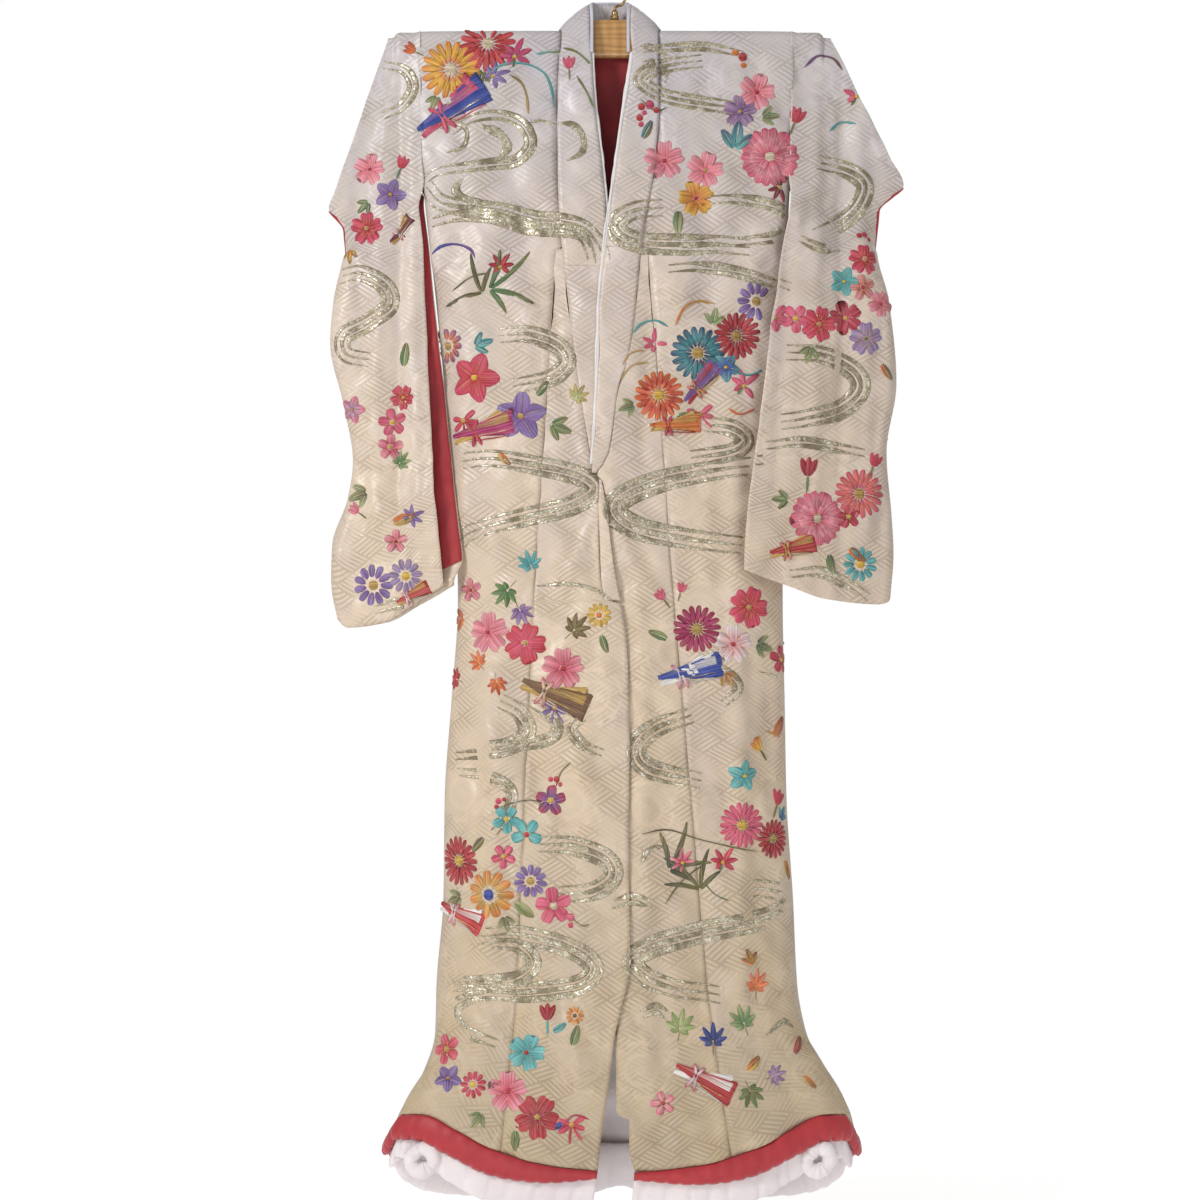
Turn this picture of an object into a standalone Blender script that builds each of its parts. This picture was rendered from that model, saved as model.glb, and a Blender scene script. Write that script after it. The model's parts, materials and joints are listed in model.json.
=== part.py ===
"""Silk kimono on a straight wooden hanger.

The origin is the hook's inner top, where a rail holds it.  +Z is up, the front faces -Y, and
"left" and "right" are as the camera sees them.  Every cloth piece is a thin closed wall whose
middle surface comes from the tables of sections below.
"""

import bpy
import numpy as np

# Driving sizes, in metres
SEAM_GAP = 0.0003
SILK = 0.0016
COLLAR = 0.0028
LINING = 0.0012
BAR_RADIUS = 0.009
FOLD_RADIUS = 0.0111
SHOULDER_Z = -0.0832
HEM_Z = -1.872
LAP_LIFT = 0.0062
SECTION_POWER = 2.5
FLARE_START = 0.74
FOLD_ANGLES = (88, 62, 31)
LEVEL_COUNT = 19
LEVELS_KEPT = (-0.118, -0.425, -0.432, -1.866, -1.872)
LEVELS_AT_PINCH = (-0.748, -0.772, -0.786, -0.800, -0.812, -0.832, -0.865, -0.985, -0.990)
COLLAR_TOP = -0.118
LAP_REACH = 0.130
OVERLAP_TOP = -0.432
LINING_GAP = 0.0004
HEM_SEAM = 0.0016
SIDE_COLUMNS = 12
NECK_X = -0.003
NECK_HALF = 0.080
NECK_RIM = 0.0015
NECK_BLEND = 0.012
LEAST_FOLD = 0.0016
WHITE_FACING = 0.0030
COLLAR_PROUD = 0.0006
COLLAR_STAND = 0.0022
COLLAR_ROLL = 0.0040
COLLAR_BULGE = (0.004, 0.0030)
EDGING_THICKNESS = 0.0020
NECK_EDGING_WIDTH = 0.0045
EDGING_FOOT = {"left": -0.60, "right": -0.772}
COLLAR_FOOT = {"left": -0.985, "right": -0.786}
FOOT_CLOSING = 0.50
CUFF_RADIUS = 0.0016
CUFF_SEAM = 0.0018
TIP_Z = {"left": -0.363, "right": -0.326}
END_GAP = 0.0019
SLEEVE_LEVEL_COUNT = 14
WHITE_INSET = 0.0104
WHITE_HIDDEN = 0.030


class Table:
    """Named columns against the first one, read with a smooth curve that never overshoots."""

    def __init__(self, names, rows):
        self.names = names.split()
        self.rows = np.array(sorted(rows), float)

    def at(self, name, where):
        key, value = self.rows[:, 0], self.rows[:, self.names.index(name)]
        step = np.diff(key)
        slope = np.diff(value) / step
        same = slope[:-1] * slope[1:] > 0
        total = np.where(same, slope[:-1] + slope[1:], 1.0)
        tangent = np.zeros(len(key))
        tangent[1:-1] = np.where(same, 2 * slope[:-1] * slope[1:] / total, 0.0)
        tangent[0], tangent[-1] = slope[0], slope[-1]
        where = np.clip(where, key[0], key[-1])
        i = np.clip(np.searchsorted(key, where, side="right") - 1, 0, len(step) - 1)
        t = (where - key[i]) / step[i]
        a, b = value[i], value[i + 1]
        m, n = tangent[i] * step[i], tangent[i + 1] * step[i]
        return a + m * t + (3 * (b - a) - 2 * m - n) * t**2 + (2 * (a - b) + m + n) * t**3


# One row for each level of the body: its side edges, how far the front and back stand out, and
# half the opening that is left at the sides, where the sleeves join and the armholes gape
BODY = Table("z left right front back side", [
    (-0.083, -0.3060, 0.2870, 0.0111, 0.0111, 0.0111),
    (-0.120, -0.3060, 0.2870, 0.0200, 0.0190, 0.0140),
    (-0.200, -0.3050, 0.2860, 0.0300, 0.0270, 0.0160),
    (-0.280, -0.3030, 0.2840, 0.0370, 0.0330, 0.0150),
    (-0.340, -0.2975, 0.2810, 0.0420, 0.0370, 0.0130),
    (-0.430, -0.2880, 0.2780, 0.0490, 0.0420, 0.0070),
    (-0.500, -0.2800, 0.2760, 0.0540, 0.0460, 0.0006),
    (-0.670, -0.2640, 0.2740, 0.0640, 0.0550, 0.0006),
    (-0.985, -0.2440, 0.2710, 0.0780, 0.0690, 0.0006),
    (-1.142, -0.2540, 0.2740, 0.0880, 0.0770, 0.0006),
    (-1.299, -0.2650, 0.2770, 0.0960, 0.0840, 0.0006),
    (-1.456, -0.2670, 0.2870, 0.1030, 0.0910, 0.0006),
    (-1.613, -0.2780, 0.2940, 0.1120, 0.0990, 0.0006),
    (-1.700, -0.2800, 0.3080, 0.1180, 0.1050, 0.0006),
    (-1.780, -0.3020, 0.3450, 0.1240, 0.1110, 0.0006),
    (-1.840, -0.3360, 0.3780, 0.1290, 0.1150, 0.0006),
    (-1.872, -0.3500, 0.3860, 0.1310, 0.1170, 0.0006),
])

# How far the silk's lower edge is lifted, from the middle (0) to the side seam (1)
HEM_LIFT = Table("reach front back", [
    (0.00, 0.002, -0.022),
    (0.30, 0.012, -0.022),
    (0.55, 0.036, -0.021),
    (0.72, 0.066, -0.020),
    (0.84, 0.084, -0.014),
    (0.94, 0.080, 0.006),
    (1.00, 0.042, 0.042),
])

# The lines that run down the two fronts, as x at each height
LEFT_LINES = Table("z okumi collar edge", [
    (-0.083, -0.0816, -0.0816, -0.0290),
    (-0.123, -0.0830, -0.0830, -0.0314),
    (-0.200, -0.0864, -0.0864, -0.0270),
    (-0.300, -0.0860, -0.0860, -0.0155),
    (-0.396, -0.0820, -0.0820, -0.0063),
    (-0.430, -0.0870, -0.0785, -0.0040),
    (-0.514, -0.0930, -0.0691, -0.0010),
    (-0.620, -0.1000, -0.0560, 0.0000),
    (-0.720, -0.1060, -0.0400, -0.0030),
    (-0.750, -0.1080, -0.0345, -0.0070),
    (-0.775, -0.1100, -0.0255, -0.0130),
    (-0.790, -0.1110, -0.0215, -0.0165),
    (-0.812, -0.1120, -0.0200, -0.0140),
    (-0.860, -0.1150, -0.0200, -0.0065),
    (-0.922, -0.1190, -0.0190, 0.0016),
    (-0.985, -0.1230, -0.0110, 0.0138),
    (-0.990, -0.1232, 0.0148, 0.0151),
    (-1.111, -0.1290, 0.0259, 0.0259),
    (-1.221, -0.1340, 0.0275, 0.0275),
    (-1.346, -0.1390, 0.0259, 0.0259),
    (-1.550, -0.1470, 0.0280, 0.0280),
    (-1.621, -0.1500, 0.0141, 0.0141),
    (-1.668, -0.1530, 0.0031, 0.0031),
    (-1.731, -0.1580, -0.0031, -0.0031),
    (-1.802, -0.1650, -0.0141, -0.0141),
    (-1.883, -0.1740, -0.0236, -0.0236),
])
RIGHT_LINES = Table("z okumi collar edge", [
    (-0.083, 0.0754, 0.0754, 0.0400),
    (-0.123, 0.0735, 0.0735, 0.0345),
    (-0.200, 0.0745, 0.0745, 0.0215),
    (-0.300, 0.0675, 0.0675, 0.0070),
    (-0.396, 0.0500, 0.0500, -0.0063),
    (-0.430, 0.0560, 0.0455, -0.0105),
    (-0.514, 0.0620, 0.0377, -0.0188),
    (-0.600, 0.0700, 0.0260, -0.0215),
    (-0.660, 0.0740, 0.0079, -0.0235),
    (-0.748, 0.0800, -0.0047, -0.0285),
    (-0.772, 0.0820, -0.0150, -0.0305),
    (-0.787, 0.0830, -0.0250, -0.0310),
    (-0.800, 0.0840, -0.0143, -0.0143),
    (-0.812, 0.0850, -0.0122, -0.0122),
    (-0.832, 0.0860, -0.0095, -0.0095),
    (-0.865, 0.0880, -0.0200, -0.0200),
    (-0.920, 0.0920, -0.0330, -0.0330),
    (-1.111, 0.1080, -0.0350, -0.0350),
    (-1.346, 0.1280, -0.0290, -0.0290),
    (-1.550, 0.1450, -0.0080, -0.0080),
    (-1.640, 0.1530, 0.0055, 0.0055),
    (-1.784, 0.1720, 0.0063, 0.0063),
    (-1.788, 0.1725, 0.0262, 0.0262),
    (-1.834, 0.1790, 0.0262, 0.0262),
    (-1.886, 0.1880, 0.0385, 0.0385),
])

# How far each front stands out beside its edge, which sets the one that lies on top
LAP = Table("z left right", [
    (-0.083, 0.0, 0.0),
    (-0.280, 0.0, 0.0),
    (-0.390, 0.0, 1.0),
    (-0.787, 0.0, 1.0),
    (-0.812, 0.3, 0.3),
    (-0.845, 1.0, 0.0),
    (-1.650, 1.0, 0.0),
    (-1.730, 0.0, 0.0),
    (-1.900, 0.0, 0.0),
])

# One row for each level of a sleeve: the inner edges of its front and back layers, its outer
# contour, and how far the cloth beyond that contour has turned to the back
SLEEVE_COLUMNS = "z front_x front_y back_x back_y contour turned"
LEFT_SLEEVE = Table(SLEEVE_COLUMNS, [
    (-0.083, -0.3072, -0.0111, -0.3072, 0.0111, -0.3520, 0.000),
    (-0.123, -0.3072, -0.0140, -0.3072, 0.0140, -0.3660, 0.000),
    (-0.200, -0.3062, -0.0160, -0.3062, 0.0160, -0.3930, 0.000),
    (-0.280, -0.3048, -0.0170, -0.3044, 0.0130, -0.4210, 0.000),
    (-0.340, -0.3046, -0.0190, -0.3000, 0.0000, -0.4420, 0.000),
    (-0.363, -0.3040, -0.0200, -0.2980, -0.0040, -0.4506, 0.000),
    (-0.380, -0.3025, -0.0210, -0.2960, -0.0060, -0.4350, 0.000),
    (-0.396, -0.3010, -0.0220, -0.2940, -0.0080, -0.4240, 0.100),
    (-0.430, -0.2990, -0.0250, -0.2900, -0.0110, -0.4270, 0.450),
    (-0.514, -0.2950, -0.0300, -0.2810, -0.0160, -0.4427, 1.000),
    (-0.577, -0.2920, -0.0340, -0.2740, -0.0190, -0.4474, 1.000),
    (-0.671, -0.2870, -0.0400, -0.2630, -0.0230, -0.4270, 1.000),
    (-0.765, -0.2820, -0.0450, -0.2530, -0.0270, -0.4113, 1.000),
    (-0.828, -0.2780, -0.0530, -0.2470, -0.0340, -0.4192, 1.000),
    (-0.922, -0.2730, -0.0580, -0.2390, -0.0390, -0.4440, 1.000),
    (-0.985, -0.2680, -0.0570, -0.2340, -0.0410, -0.4459, 1.000),
    (-1.030, -0.2640, -0.0560, -0.2320, -0.0430, -0.4380, 1.000),
])
RIGHT_SLEEVE = Table(SLEEVE_COLUMNS, [
    (-0.083, 0.2882, -0.0111, 0.2882, 0.0111, 0.3420, 0.000),
    (-0.123, 0.2882, -0.0140, 0.2882, 0.0140, 0.3640, 0.000),
    (-0.200, 0.2874, -0.0170, 0.2874, 0.0160, 0.4010, 0.000),
    (-0.280, 0.2860, -0.0230, 0.2870, 0.0130, 0.4420, 0.000),
    (-0.326, 0.2845, -0.0320, 0.2920, 0.0090, 0.4647, 0.000),
    (-0.345, 0.2830, -0.0340, 0.2930, 0.0080, 0.4430, 0.000),
    (-0.365, 0.2800, -0.0370, 0.2930, 0.0070, 0.4230, 0.100),
    (-0.430, 0.2700, -0.0470, 0.2930, 0.0040, 0.4235, 0.500),
    (-0.514, 0.2560, -0.0570, 0.2930, 0.0020, 0.4412, 1.000),
    (-0.640, 0.2390, -0.0690, 0.2920, 0.0000, 0.4522, 1.000),
    (-0.750, 0.2250, -0.0780, 0.2920, -0.0010, 0.4365, 1.000),
    (-0.860, 0.2130, -0.0860, 0.2920, -0.0020, 0.4443, 1.000),
    (-0.930, 0.2080, -0.0880, 0.2920, -0.0060, 0.4475, 1.000),
    (-0.993, 0.2060, -0.0860, 0.2920, -0.0160, 0.4430, 1.000),
])
# The sleeves' lower edges, from the inner edge (0) to the outer contour (1)
SLEEVE_FOOT = Table("reach left right", [
    (0.00, -0.962, -0.938),
    (0.25, -0.992, -0.962),
    (0.50, -1.020, -0.984),
    (0.80, -1.029, -0.992),
    (0.93, -1.016, -0.988),
    (1.00, -0.990, -0.970),
])
RETURN_LENGTH = 0.105
TURN_RADIUS = 0.016
LAYER_GAP = 0.0072
CUFF_HEIGHT = 0.23
SLEEVE_FOOT_START = 0.72

# The padded rolls along the hem: how far each reaches below the silk, round the front's reach
ROLLS = Table("reach red white", [
    (0.00, 0.012, 0.040),
    (0.12, 0.024, 0.054),
    (0.30, 0.034, 0.064),
    (0.60, 0.036, 0.058),
    (0.85, 0.034, 0.050),
    (1.00, 0.030, 0.046),
])
WHITE_THICKNESS = 0.026

# Across the red roll: how far along its reach, and how far out of the silk's middle
RED_SECTION = (
    (0.00, 0.0012), (0.30, 0.0030), (0.75, 0.0028), (0.95, 0.0004),
    (1.00, -0.0040), (0.94, -0.0082), (0.70, -0.0100), (0.25, -0.0100), (0.00, -0.0088),
)

# The white edging's width beside each front's collar
EDGING = Table("z left right", [
    (-0.090, 0.0036, 0.0082),
    (-0.150, 0.0036, 0.0058),
    (-0.300, 0.0036, 0.0045),
    (-0.800, 0.0036, 0.0038),
])

# The collar round the neck, from the middle of the back (0) to the front (1)
NECK = Table("along seam_x seam_y seam_z free_x free_y free_z", [
    (0.00, 0.0000, 0.0140, -0.0915, 0.0000, 0.0250, -0.0330),
    (0.30, 0.0600, 0.0135, -0.0915, 0.0290, 0.0210, -0.0340),
    (0.50, 0.0772, 0.0110, -0.0845, 0.0340, 0.0060, -0.0370),
    (0.68, 0.0768, 0.0000, -0.0798, 0.0330, -0.0110, -0.0480),
    (0.85, 0.0765, -0.0135, -0.0850, 0.0320, -0.0190, -0.0700),
    (1.00, 0.0765, -0.0240, -0.1170, 0.0320, -0.0290, -0.1170),
])

# Hanger
BAR_HALF = 0.336
BAR_SHIFT = -0.005
BAR_END_ROOM = 0.0055
BAR = Table("reach top bottom", [
    (0.000, -0.0620, -0.1235),
    (0.030, -0.0625, -0.1235),
    (0.055, -0.0760, -0.1225),
    (0.072, -0.0860, -0.1215),
    (0.200, -0.0860, -0.1180),
    (0.336, -0.0860, -0.1110),
])
HOOK_X = 0.0047
HOOK_WIRE = 0.0022
HOOK_RADIUS = 0.021
FERRULE_RADIUS = 0.0065
FERRULE_FOOT_Z = -0.0612
FERRULE_TOP_Z = -0.0470


def soft_step(value):
    value = np.clip(value, 0, 1)
    return value * value * (3 - 2 * value)


def material(name, colour, roughness=0.6, metallic=0.0):
    found = bpy.data.materials.new(name)
    found.use_nodes = True
    shader = found.node_tree.nodes["Principled BSDF"]
    shader.inputs["Base Color"].default_value = (*colour, 1)
    shader.inputs["Roughness"].default_value = roughness
    shader.inputs["Metallic"].default_value = metallic
    return found


def add_object(name, points, faces, finish):
    mesh = bpy.data.meshes.new(name)
    mesh.from_pydata([tuple(point) for point in points], [], faces)
    mesh.materials.append(finish)
    mesh.shade_smooth()
    mesh.set_sharp_from_angle(angle=0.7)
    piece = bpy.data.objects.new(name, mesh)
    bpy.context.scene.collection.objects.link(piece)
    return piece


def normals_of(grid):
    down = np.gradient(grid, axis=0)
    across = np.gradient(grid, axis=1)
    normal = np.cross(across, down)
    return normal / np.maximum(np.linalg.norm(normal, axis=2, keepdims=True), 1e-12)


def wall(name, grid, thickness, finish):
    """A closed wall with its middle on a grid of points (rows down, columns across)."""
    rows, columns = grid.shape[:2]
    normal = normals_of(grid) * thickness / 2
    points = np.concatenate([(grid + normal).reshape(-1, 3), (grid - normal).reshape(-1, 3)])
    one, faces = rows * columns, []

    def at(row, column, layer):
        return layer * one + row * columns + column

    for r in range(rows - 1):
        for c in range(columns - 1):
            faces.append((at(r, c, 0), at(r, c + 1, 0), at(r + 1, c + 1, 0), at(r + 1, c, 0)))
            faces.append((at(r, c, 1), at(r + 1, c, 1), at(r + 1, c + 1, 1), at(r, c + 1, 1)))
    rim = [(0, c) for c in range(columns)] + [(r, columns - 1) for r in range(1, rows)]
    rim += [(rows - 1, c) for c in range(columns - 2, -1, -1)]
    rim += [(r, 0) for r in range(rows - 2, 0, -1)]
    for (r0, c0), (r1, c1) in zip(rim, rim[1:] + rim[:1]):
        faces.append((at(r0, c0, 0), at(r0, c0, 1), at(r1, c1, 1), at(r1, c1, 0)))
    return add_object(name, points, outward(points, faces), finish)


def tube(name, rings, finish):
    """A closed solid through rings of points, with a flat cap at each end."""
    count, around = rings.shape[:2]
    points = rings.reshape(-1, 3)
    faces = [tuple(range(around)), tuple((count - 1) * around + i for i in reversed(range(around)))]
    for r in range(count - 1):
        for i in range(around):
            j = (i + 1) % around
            a, b = r * around, (r + 1) * around
            faces.append((a + i, b + i, b + j, a + j))
    return add_object(name, points, outward(points, faces), finish)


def outward(points, faces):
    """The same faces, all turned round if they enclose a negative volume."""
    volume = 0.0
    for face in faces:
        a = points[face[0]]
        for i in range(1, len(face) - 1):
            volume += np.dot(a, np.cross(points[face[i]], points[face[i + 1]]))
    return faces if volume > 0 else [tuple(reversed(face)) for face in faces]


def body_levels(top, foot, lap=True):
    """Levels of a piece's rows. Neighbours share them, so that their edges run together."""
    even = np.linspace(SHOULDER_Z - FOLD_RADIUS, HEM_Z, LEVEL_COUNT)
    fixed = LEVELS_KEPT + (LEVELS_AT_PINCH if lap else ())
    kept = [z for z in even if all(abs(z - e) > 0.02 for e in fixed)]
    levels = sorted(kept + list(fixed), reverse=True)
    return np.array([z for z in levels if foot - 1e-6 <= z <= top + 1e-6])


def turn_of(x, level):
    """The angle round the body's section at which a point lies over x: 0 in the middle."""
    left, right = BODY.at("left", level), BODY.at("right", level)
    share = np.clip((2 * x - left - right) / (right - left), -1, 1)
    return np.arcsin(np.sign(share) * abs(share) ** (SECTION_POWER / 2))


def body_point(turn, level, face):
    """A point of the body's front (face -1) or back (face 1) at an angle and a level."""
    left, right = BODY.at("left", level), BODY.at("right", level)
    depth, side = BODY.at("front" if face < 0 else "back", level), BODY.at("side", level)
    reach = abs(np.sin(turn)) ** (2 / SECTION_POWER)
    x = (left + right) / 2 + (right - left) / 2 * np.sign(turn) * reach
    y = face * (side + (depth - side) * abs(np.cos(turn)) ** (2 / SECTION_POWER))
    low = soft_step(((level - SHOULDER_Z) / (HEM_Z - SHOULDER_Z) - FLARE_START) / (1 - FLARE_START))
    z = level + HEM_LIFT.at("front" if face < 0 else "back", reach) * low
    return np.array([x, y, z])


def front_point(x, level, side, out=0.0):
    """A point of one of the fronts, moved out where that front lies on the other one."""
    edge = (LEFT_LINES if side == "left" else RIGHT_LINES).at("edge", level)
    return lifted(body_point(turn_of(x, level), level, -1), level, side, edge, out)


def lifted(point, level, side, edge, out=0.0):
    near = soft_step(1 - abs(point[0] - edge) / LAP_REACH)
    return point - np.array([0, LAP_LIFT * LAP.at(side, level) * near + out, 0])


def fold_rows(row, face, least=0.0006):
    """The rows that curve over the bar's top, from the top of the fold down to a first row."""
    rows = []
    over = soft_step((abs(row[:, 0] - NECK_X) - NECK_HALF) / NECK_BLEND) if face > 0 else 1.0
    radius = np.maximum(abs(row[:, 1]), LEAST_FOLD)
    for angle in FOLD_ANGLES:
        turn = np.radians(angle) * over
        rise = radius * np.sin(turn) + (1 - over) * angle / FOLD_ANGLES[0] * NECK_RIM
        y = np.sign(row[:, 1]) * np.maximum(abs(row[:, 1]) * np.cos(turn), least)
        rows.append(np.stack([row[:, 0], y, row[:, 2] + rise], axis=1))
    return rows


def build_fronts(finish):
    top = SHOULDER_Z - FOLD_RADIUS
    for side, lines, sign in (("left", LEFT_LINES, 1), ("right", RIGHT_LINES, -1)):
        rows = []
        for level in body_levels(top, HEM_Z):
            line = lines.at("collar" if level > OVERLAP_TOP + 0.001 else "okumi", level)
            inner = turn_of(line - sign * SEAM_GAP, level)
            edge = lines.at("edge", level)
            turns = np.linspace(-sign * np.pi / 2, inner, SIDE_COLUMNS)
            row = [lifted(body_point(turn, level, -1), level, side, edge) for turn in turns]
            rows.append(np.array(row))
        wall(f"front_{side}", np.array(fold_rows(rows[0], -1) + rows), SILK, finish)

        rows = []
        for level in body_levels(OVERLAP_TOP, HEM_Z):
            outer = lines.at("okumi", level) + sign * SEAM_GAP
            inner = lines.at("collar", level) - sign * SEAM_GAP
            rows.append([front_point(x, level, side) for x in np.linspace(outer, inner, 6)])
        wall(f"overlap_panel_{side}", np.array(rows), SILK, finish)


def back_row(level, side):
    """The back's points at a level, from the side seam to the middle."""
    sign = -1 if side == "left" else 1
    inner = turn_of(sign * SEAM_GAP, level)
    turns = np.linspace(sign * np.pi / 2, inner, SIDE_COLUMNS)
    return np.array([body_point(turn, level, 1) for turn in turns])


def build_backs(finish):
    for side in ("left", "right"):
        rows = [
            back_row(level, side)
            for level in body_levels(SHOULDER_Z - FOLD_RADIUS, HEM_Z, False)
        ]
        wall(f"back_{side}", np.array(fold_rows(rows[0], 1) + rows), SILK, finish)


def build_inner_wall(name, top, foot, columns, thickness, finish):
    """A wall that lies inside the back: the back's own points, moved in along their normals."""
    rows = []
    for level in body_levels(top, foot, False):
        left, right = back_row(level, "left"), back_row(level, "right")
        rows.append(np.concatenate([left, right[::-1]]))
    grid = np.array(rows)
    normal = normals_of(grid)
    normal *= np.sign(-normal[..., 1:2])
    moved = grid + normal * ((SILK + thickness) / 2 + LINING_GAP)
    wall(name, moved[:, SIDE_COLUMNS - columns:SIDE_COLUMNS + columns], thickness, finish)


def collar_out(level, share):
    """How far the collar stands off the front near the neck, more towards its free edge."""
    return COLLAR_PROUD + soft_step((level + 0.22) / 0.12) * (COLLAR_STAND + COLLAR_ROLL * share)


def build_collar(silk, white):
    for side, lines, sign in (("left", LEFT_LINES, 1), ("right", RIGHT_LINES, -1)):
        levels = body_levels(COLLAR_TOP, COLLAR_FOOT[side])
        rows, strip = [], []
        for level in levels:
            seam = lines.at("collar", level) + sign * SEAM_GAP
            edge = lines.at("edge", level)
            shares = np.linspace(0, 1, 5)
            rows.append([
                front_point(seam + (edge - seam) * share, level, side, collar_out(level, share))
                for share in shares
            ])
            width = EDGING.at(side, level)
            strip.append([
                front_point(edge + sign * (SEAM_GAP + width * share), level, side,
                            collar_out(level, 1) - 0.0004)
                for share in (0, 0.5, 1)
            ])
        wall(f"collar_{side}", np.array(rows), COLLAR, silk)
        kept = [row for row, level in zip(strip, levels) if level >= EDGING_FOOT[side]]
        wall(f"white_edging_{side}", np.array(kept), EDGING_THICKNESS, white)
    rows, strip = [], []
    for along in np.linspace(-1, 1, 25):
        sign = 1 if along > 0 else -1
        seam, free = [
            np.array([
                sign * NECK.at(f"{part}_x", abs(along)) + NECK_X,
                NECK.at(f"{part}_y", abs(along)),
                NECK.at(f"{part}_z", abs(along)),
            ])
            for part in ("seam", "free")
        ]
        bulge = np.array([sign * COLLAR_BULGE[0], 0.0, COLLAR_BULGE[1]])
        row = [seam + (free - seam) * s + bulge * 4 * s * (1 - s) for s in np.linspace(0, 1, 5)]
        rows.append(row)
        inward = (free - seam) / np.linalg.norm(free - seam)
        strip.append([free + inward * (0.0010 + NECK_EDGING_WIDTH * s) for s in (0, 0.5, 1)])
    wall("collar_back", np.array(rows), COLLAR, silk)
    wall("white_edging_back", np.array(strip), EDGING_THICKNESS, white)


def sleeve_levels(table, top, foot):
    even = np.linspace(SHOULDER_Z - FOLD_RADIUS, table.rows[0, 0], SLEEVE_LEVEL_COUNT)
    tips = [z for z in table.rows[:, 0] if -0.45 < z < -0.32]
    kept = [z for z in even if all(abs(z - t) > 0.016 for t in tips)]
    return [z for z in sorted(kept + tips, reverse=True) if foot <= z <= top]


def bar_clearance(x, level):
    """Half the depth that a sleeve needs beside the bar's end, where it hangs over the bar."""
    inside = np.clip(BAR_HALF + BAR_END_ROOM - abs(x - BAR_SHIFT), 0, FOLD_RADIUS)
    round_end = np.sqrt(FOLD_RADIUS**2 - (FOLD_RADIUS - inside) ** 2)
    return round_end * (1 - soft_step((COLLAR_TOP - level) / 0.03))


def sleeve_point(table, side, layer, level, share):
    """A point of a sleeve's layer: share runs from 0 at the inner edge to 1 at the outer one.

    The section is a straight stretch, a bend and a tail.  As the cloth turns to the back, the
    bend closes to half a turn and the tail grows to its full length.
    """
    sign = -1 if side == "left" else 1
    contour, turned = table.at("contour", level), table.at("turned", level)
    front, back = [
        np.array([table.at(f"{name}_x", level), table.at(f"{name}_y", level)])
        for name in ("front", "back")
    ]
    width = abs(contour - front[0])
    bend = (1 - turned) * 0.25 * width + turned * np.pi * TURN_RADIUS
    tail = (1 - turned) * 0.15 * width + turned**2 * RETURN_LENGTH
    angle = max(np.pi * turned, 1e-4)
    radius = bend / angle
    past = radius * np.sin(min(angle, np.pi / 2)) + tail * max(np.cos(angle), 0)
    half_gap = LAYER_GAP / 2
    at_end = END_GAP + (half_gap - END_GAP) * soft_step((TIP_Z[side] + 0.004 - level) / 0.03)
    past += half_gap * np.sin(min(angle, np.pi / 2))
    corner = np.array([contour - sign * past, -TURN_RADIUS * turned])
    middle = (front + back) / 2
    if share < 0.5:
        part = share / 0.5
        point = middle + (corner - middle) * part
        heading = 0.0
        half = (back[1] - front[1]) / 2 * (1 - part) + half_gap * part
        shift = (front[0] - middle[0]) * (1 - part) * (1 if layer == "front" else -1)
        point = point + [shift, 0]
    else:
        heading = angle * min((share - 0.5) / 0.25, 1)
        arc = radius * np.array([sign * np.sin(heading), 1 - np.cos(heading)])
        along = tail * max(share - 0.75, 0) / 0.25
        point = corner + arc + along * np.array([sign * np.cos(heading), np.sin(heading)])
        half = half_gap + (at_end - half_gap) * (share - 0.5) / 0.5
    half = max(half, bar_clearance(point[0], level))
    out = np.array([sign * np.sin(heading), -np.cos(heading)])
    x, y = point + out * half * (1 if layer == "front" else -1)
    foot = table.rows[0, 0]
    low = soft_step(((level - SHOULDER_Z) / (foot - SHOULDER_Z) - SLEEVE_FOOT_START) / (1 - SLEEVE_FOOT_START))
    z = level + (SLEEVE_FOOT.at(side, min(share / 0.62, 1)) - foot) * low
    return np.array([x, y, z])


def sleeve_row(table, side, layer, level, shares):
    """A row of a layer; near the sewn lower edge the back layer closes on the front one."""
    row = np.array([sleeve_point(table, side, layer, level, share) for share in shares])
    if layer == "front":
        return row
    near = soft_step(1 - (level - table.rows[0, 0]) / 0.05)
    front = np.array([sleeve_point(table, side, "front", level, share) for share in shares])
    return row + (front - row) * FOOT_CLOSING * near


def build_sleeves(silk, red):
    top = SHOULDER_Z - FOLD_RADIUS
    shares = np.array([0, 0.1, 0.2, 0.3, 0.4, 0.5, 0.55, 0.6, 0.65, 0.7, 0.75, 0.87, 1])
    for side, table in (("left", LEFT_SLEEVE), ("right", RIGHT_SLEEVE)):
        for layer in ("front", "back"):
            levels = sleeve_levels(table, top, table.rows[0, 0])
            rows = [sleeve_row(table, side, layer, level, shares) for level in levels]
            grid = np.array(fold_rows(rows[0], -1, 0.0012) + rows)
            wall(f"sleeve_{side}_{layer}", grid, SILK, silk)
            tip = TIP_Z[side]
            ends = []
            for level in sleeve_levels(table, tip - 0.014, tip - CUFF_HEIGHT):
                last, before = sleeve_row(table, side, layer, level, [1, 0.87])
                step = (last - before) / np.linalg.norm(last - before)
                ends.append(last + step * (CUFF_RADIUS + CUFF_SEAM))
            bead(f"cuff_{side}_{layer}", np.array(ends), CUFF_RADIUS, red)
    levels = sleeve_levels(LEFT_SLEEVE, -0.35, -0.97)
    grid = np.array([sleeve_row(LEFT_SLEEVE, "left", "back", z, shares[:4]) for z in levels])
    moved = grid - normals_of(grid) * ((SILK + LINING) / 2 + LINING_GAP)
    if moved[0, 0, 1] > grid[0, 0, 1]:
        moved = 2 * grid - moved
    wall("sleeve_left_lining", moved, LINING, red)


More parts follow.
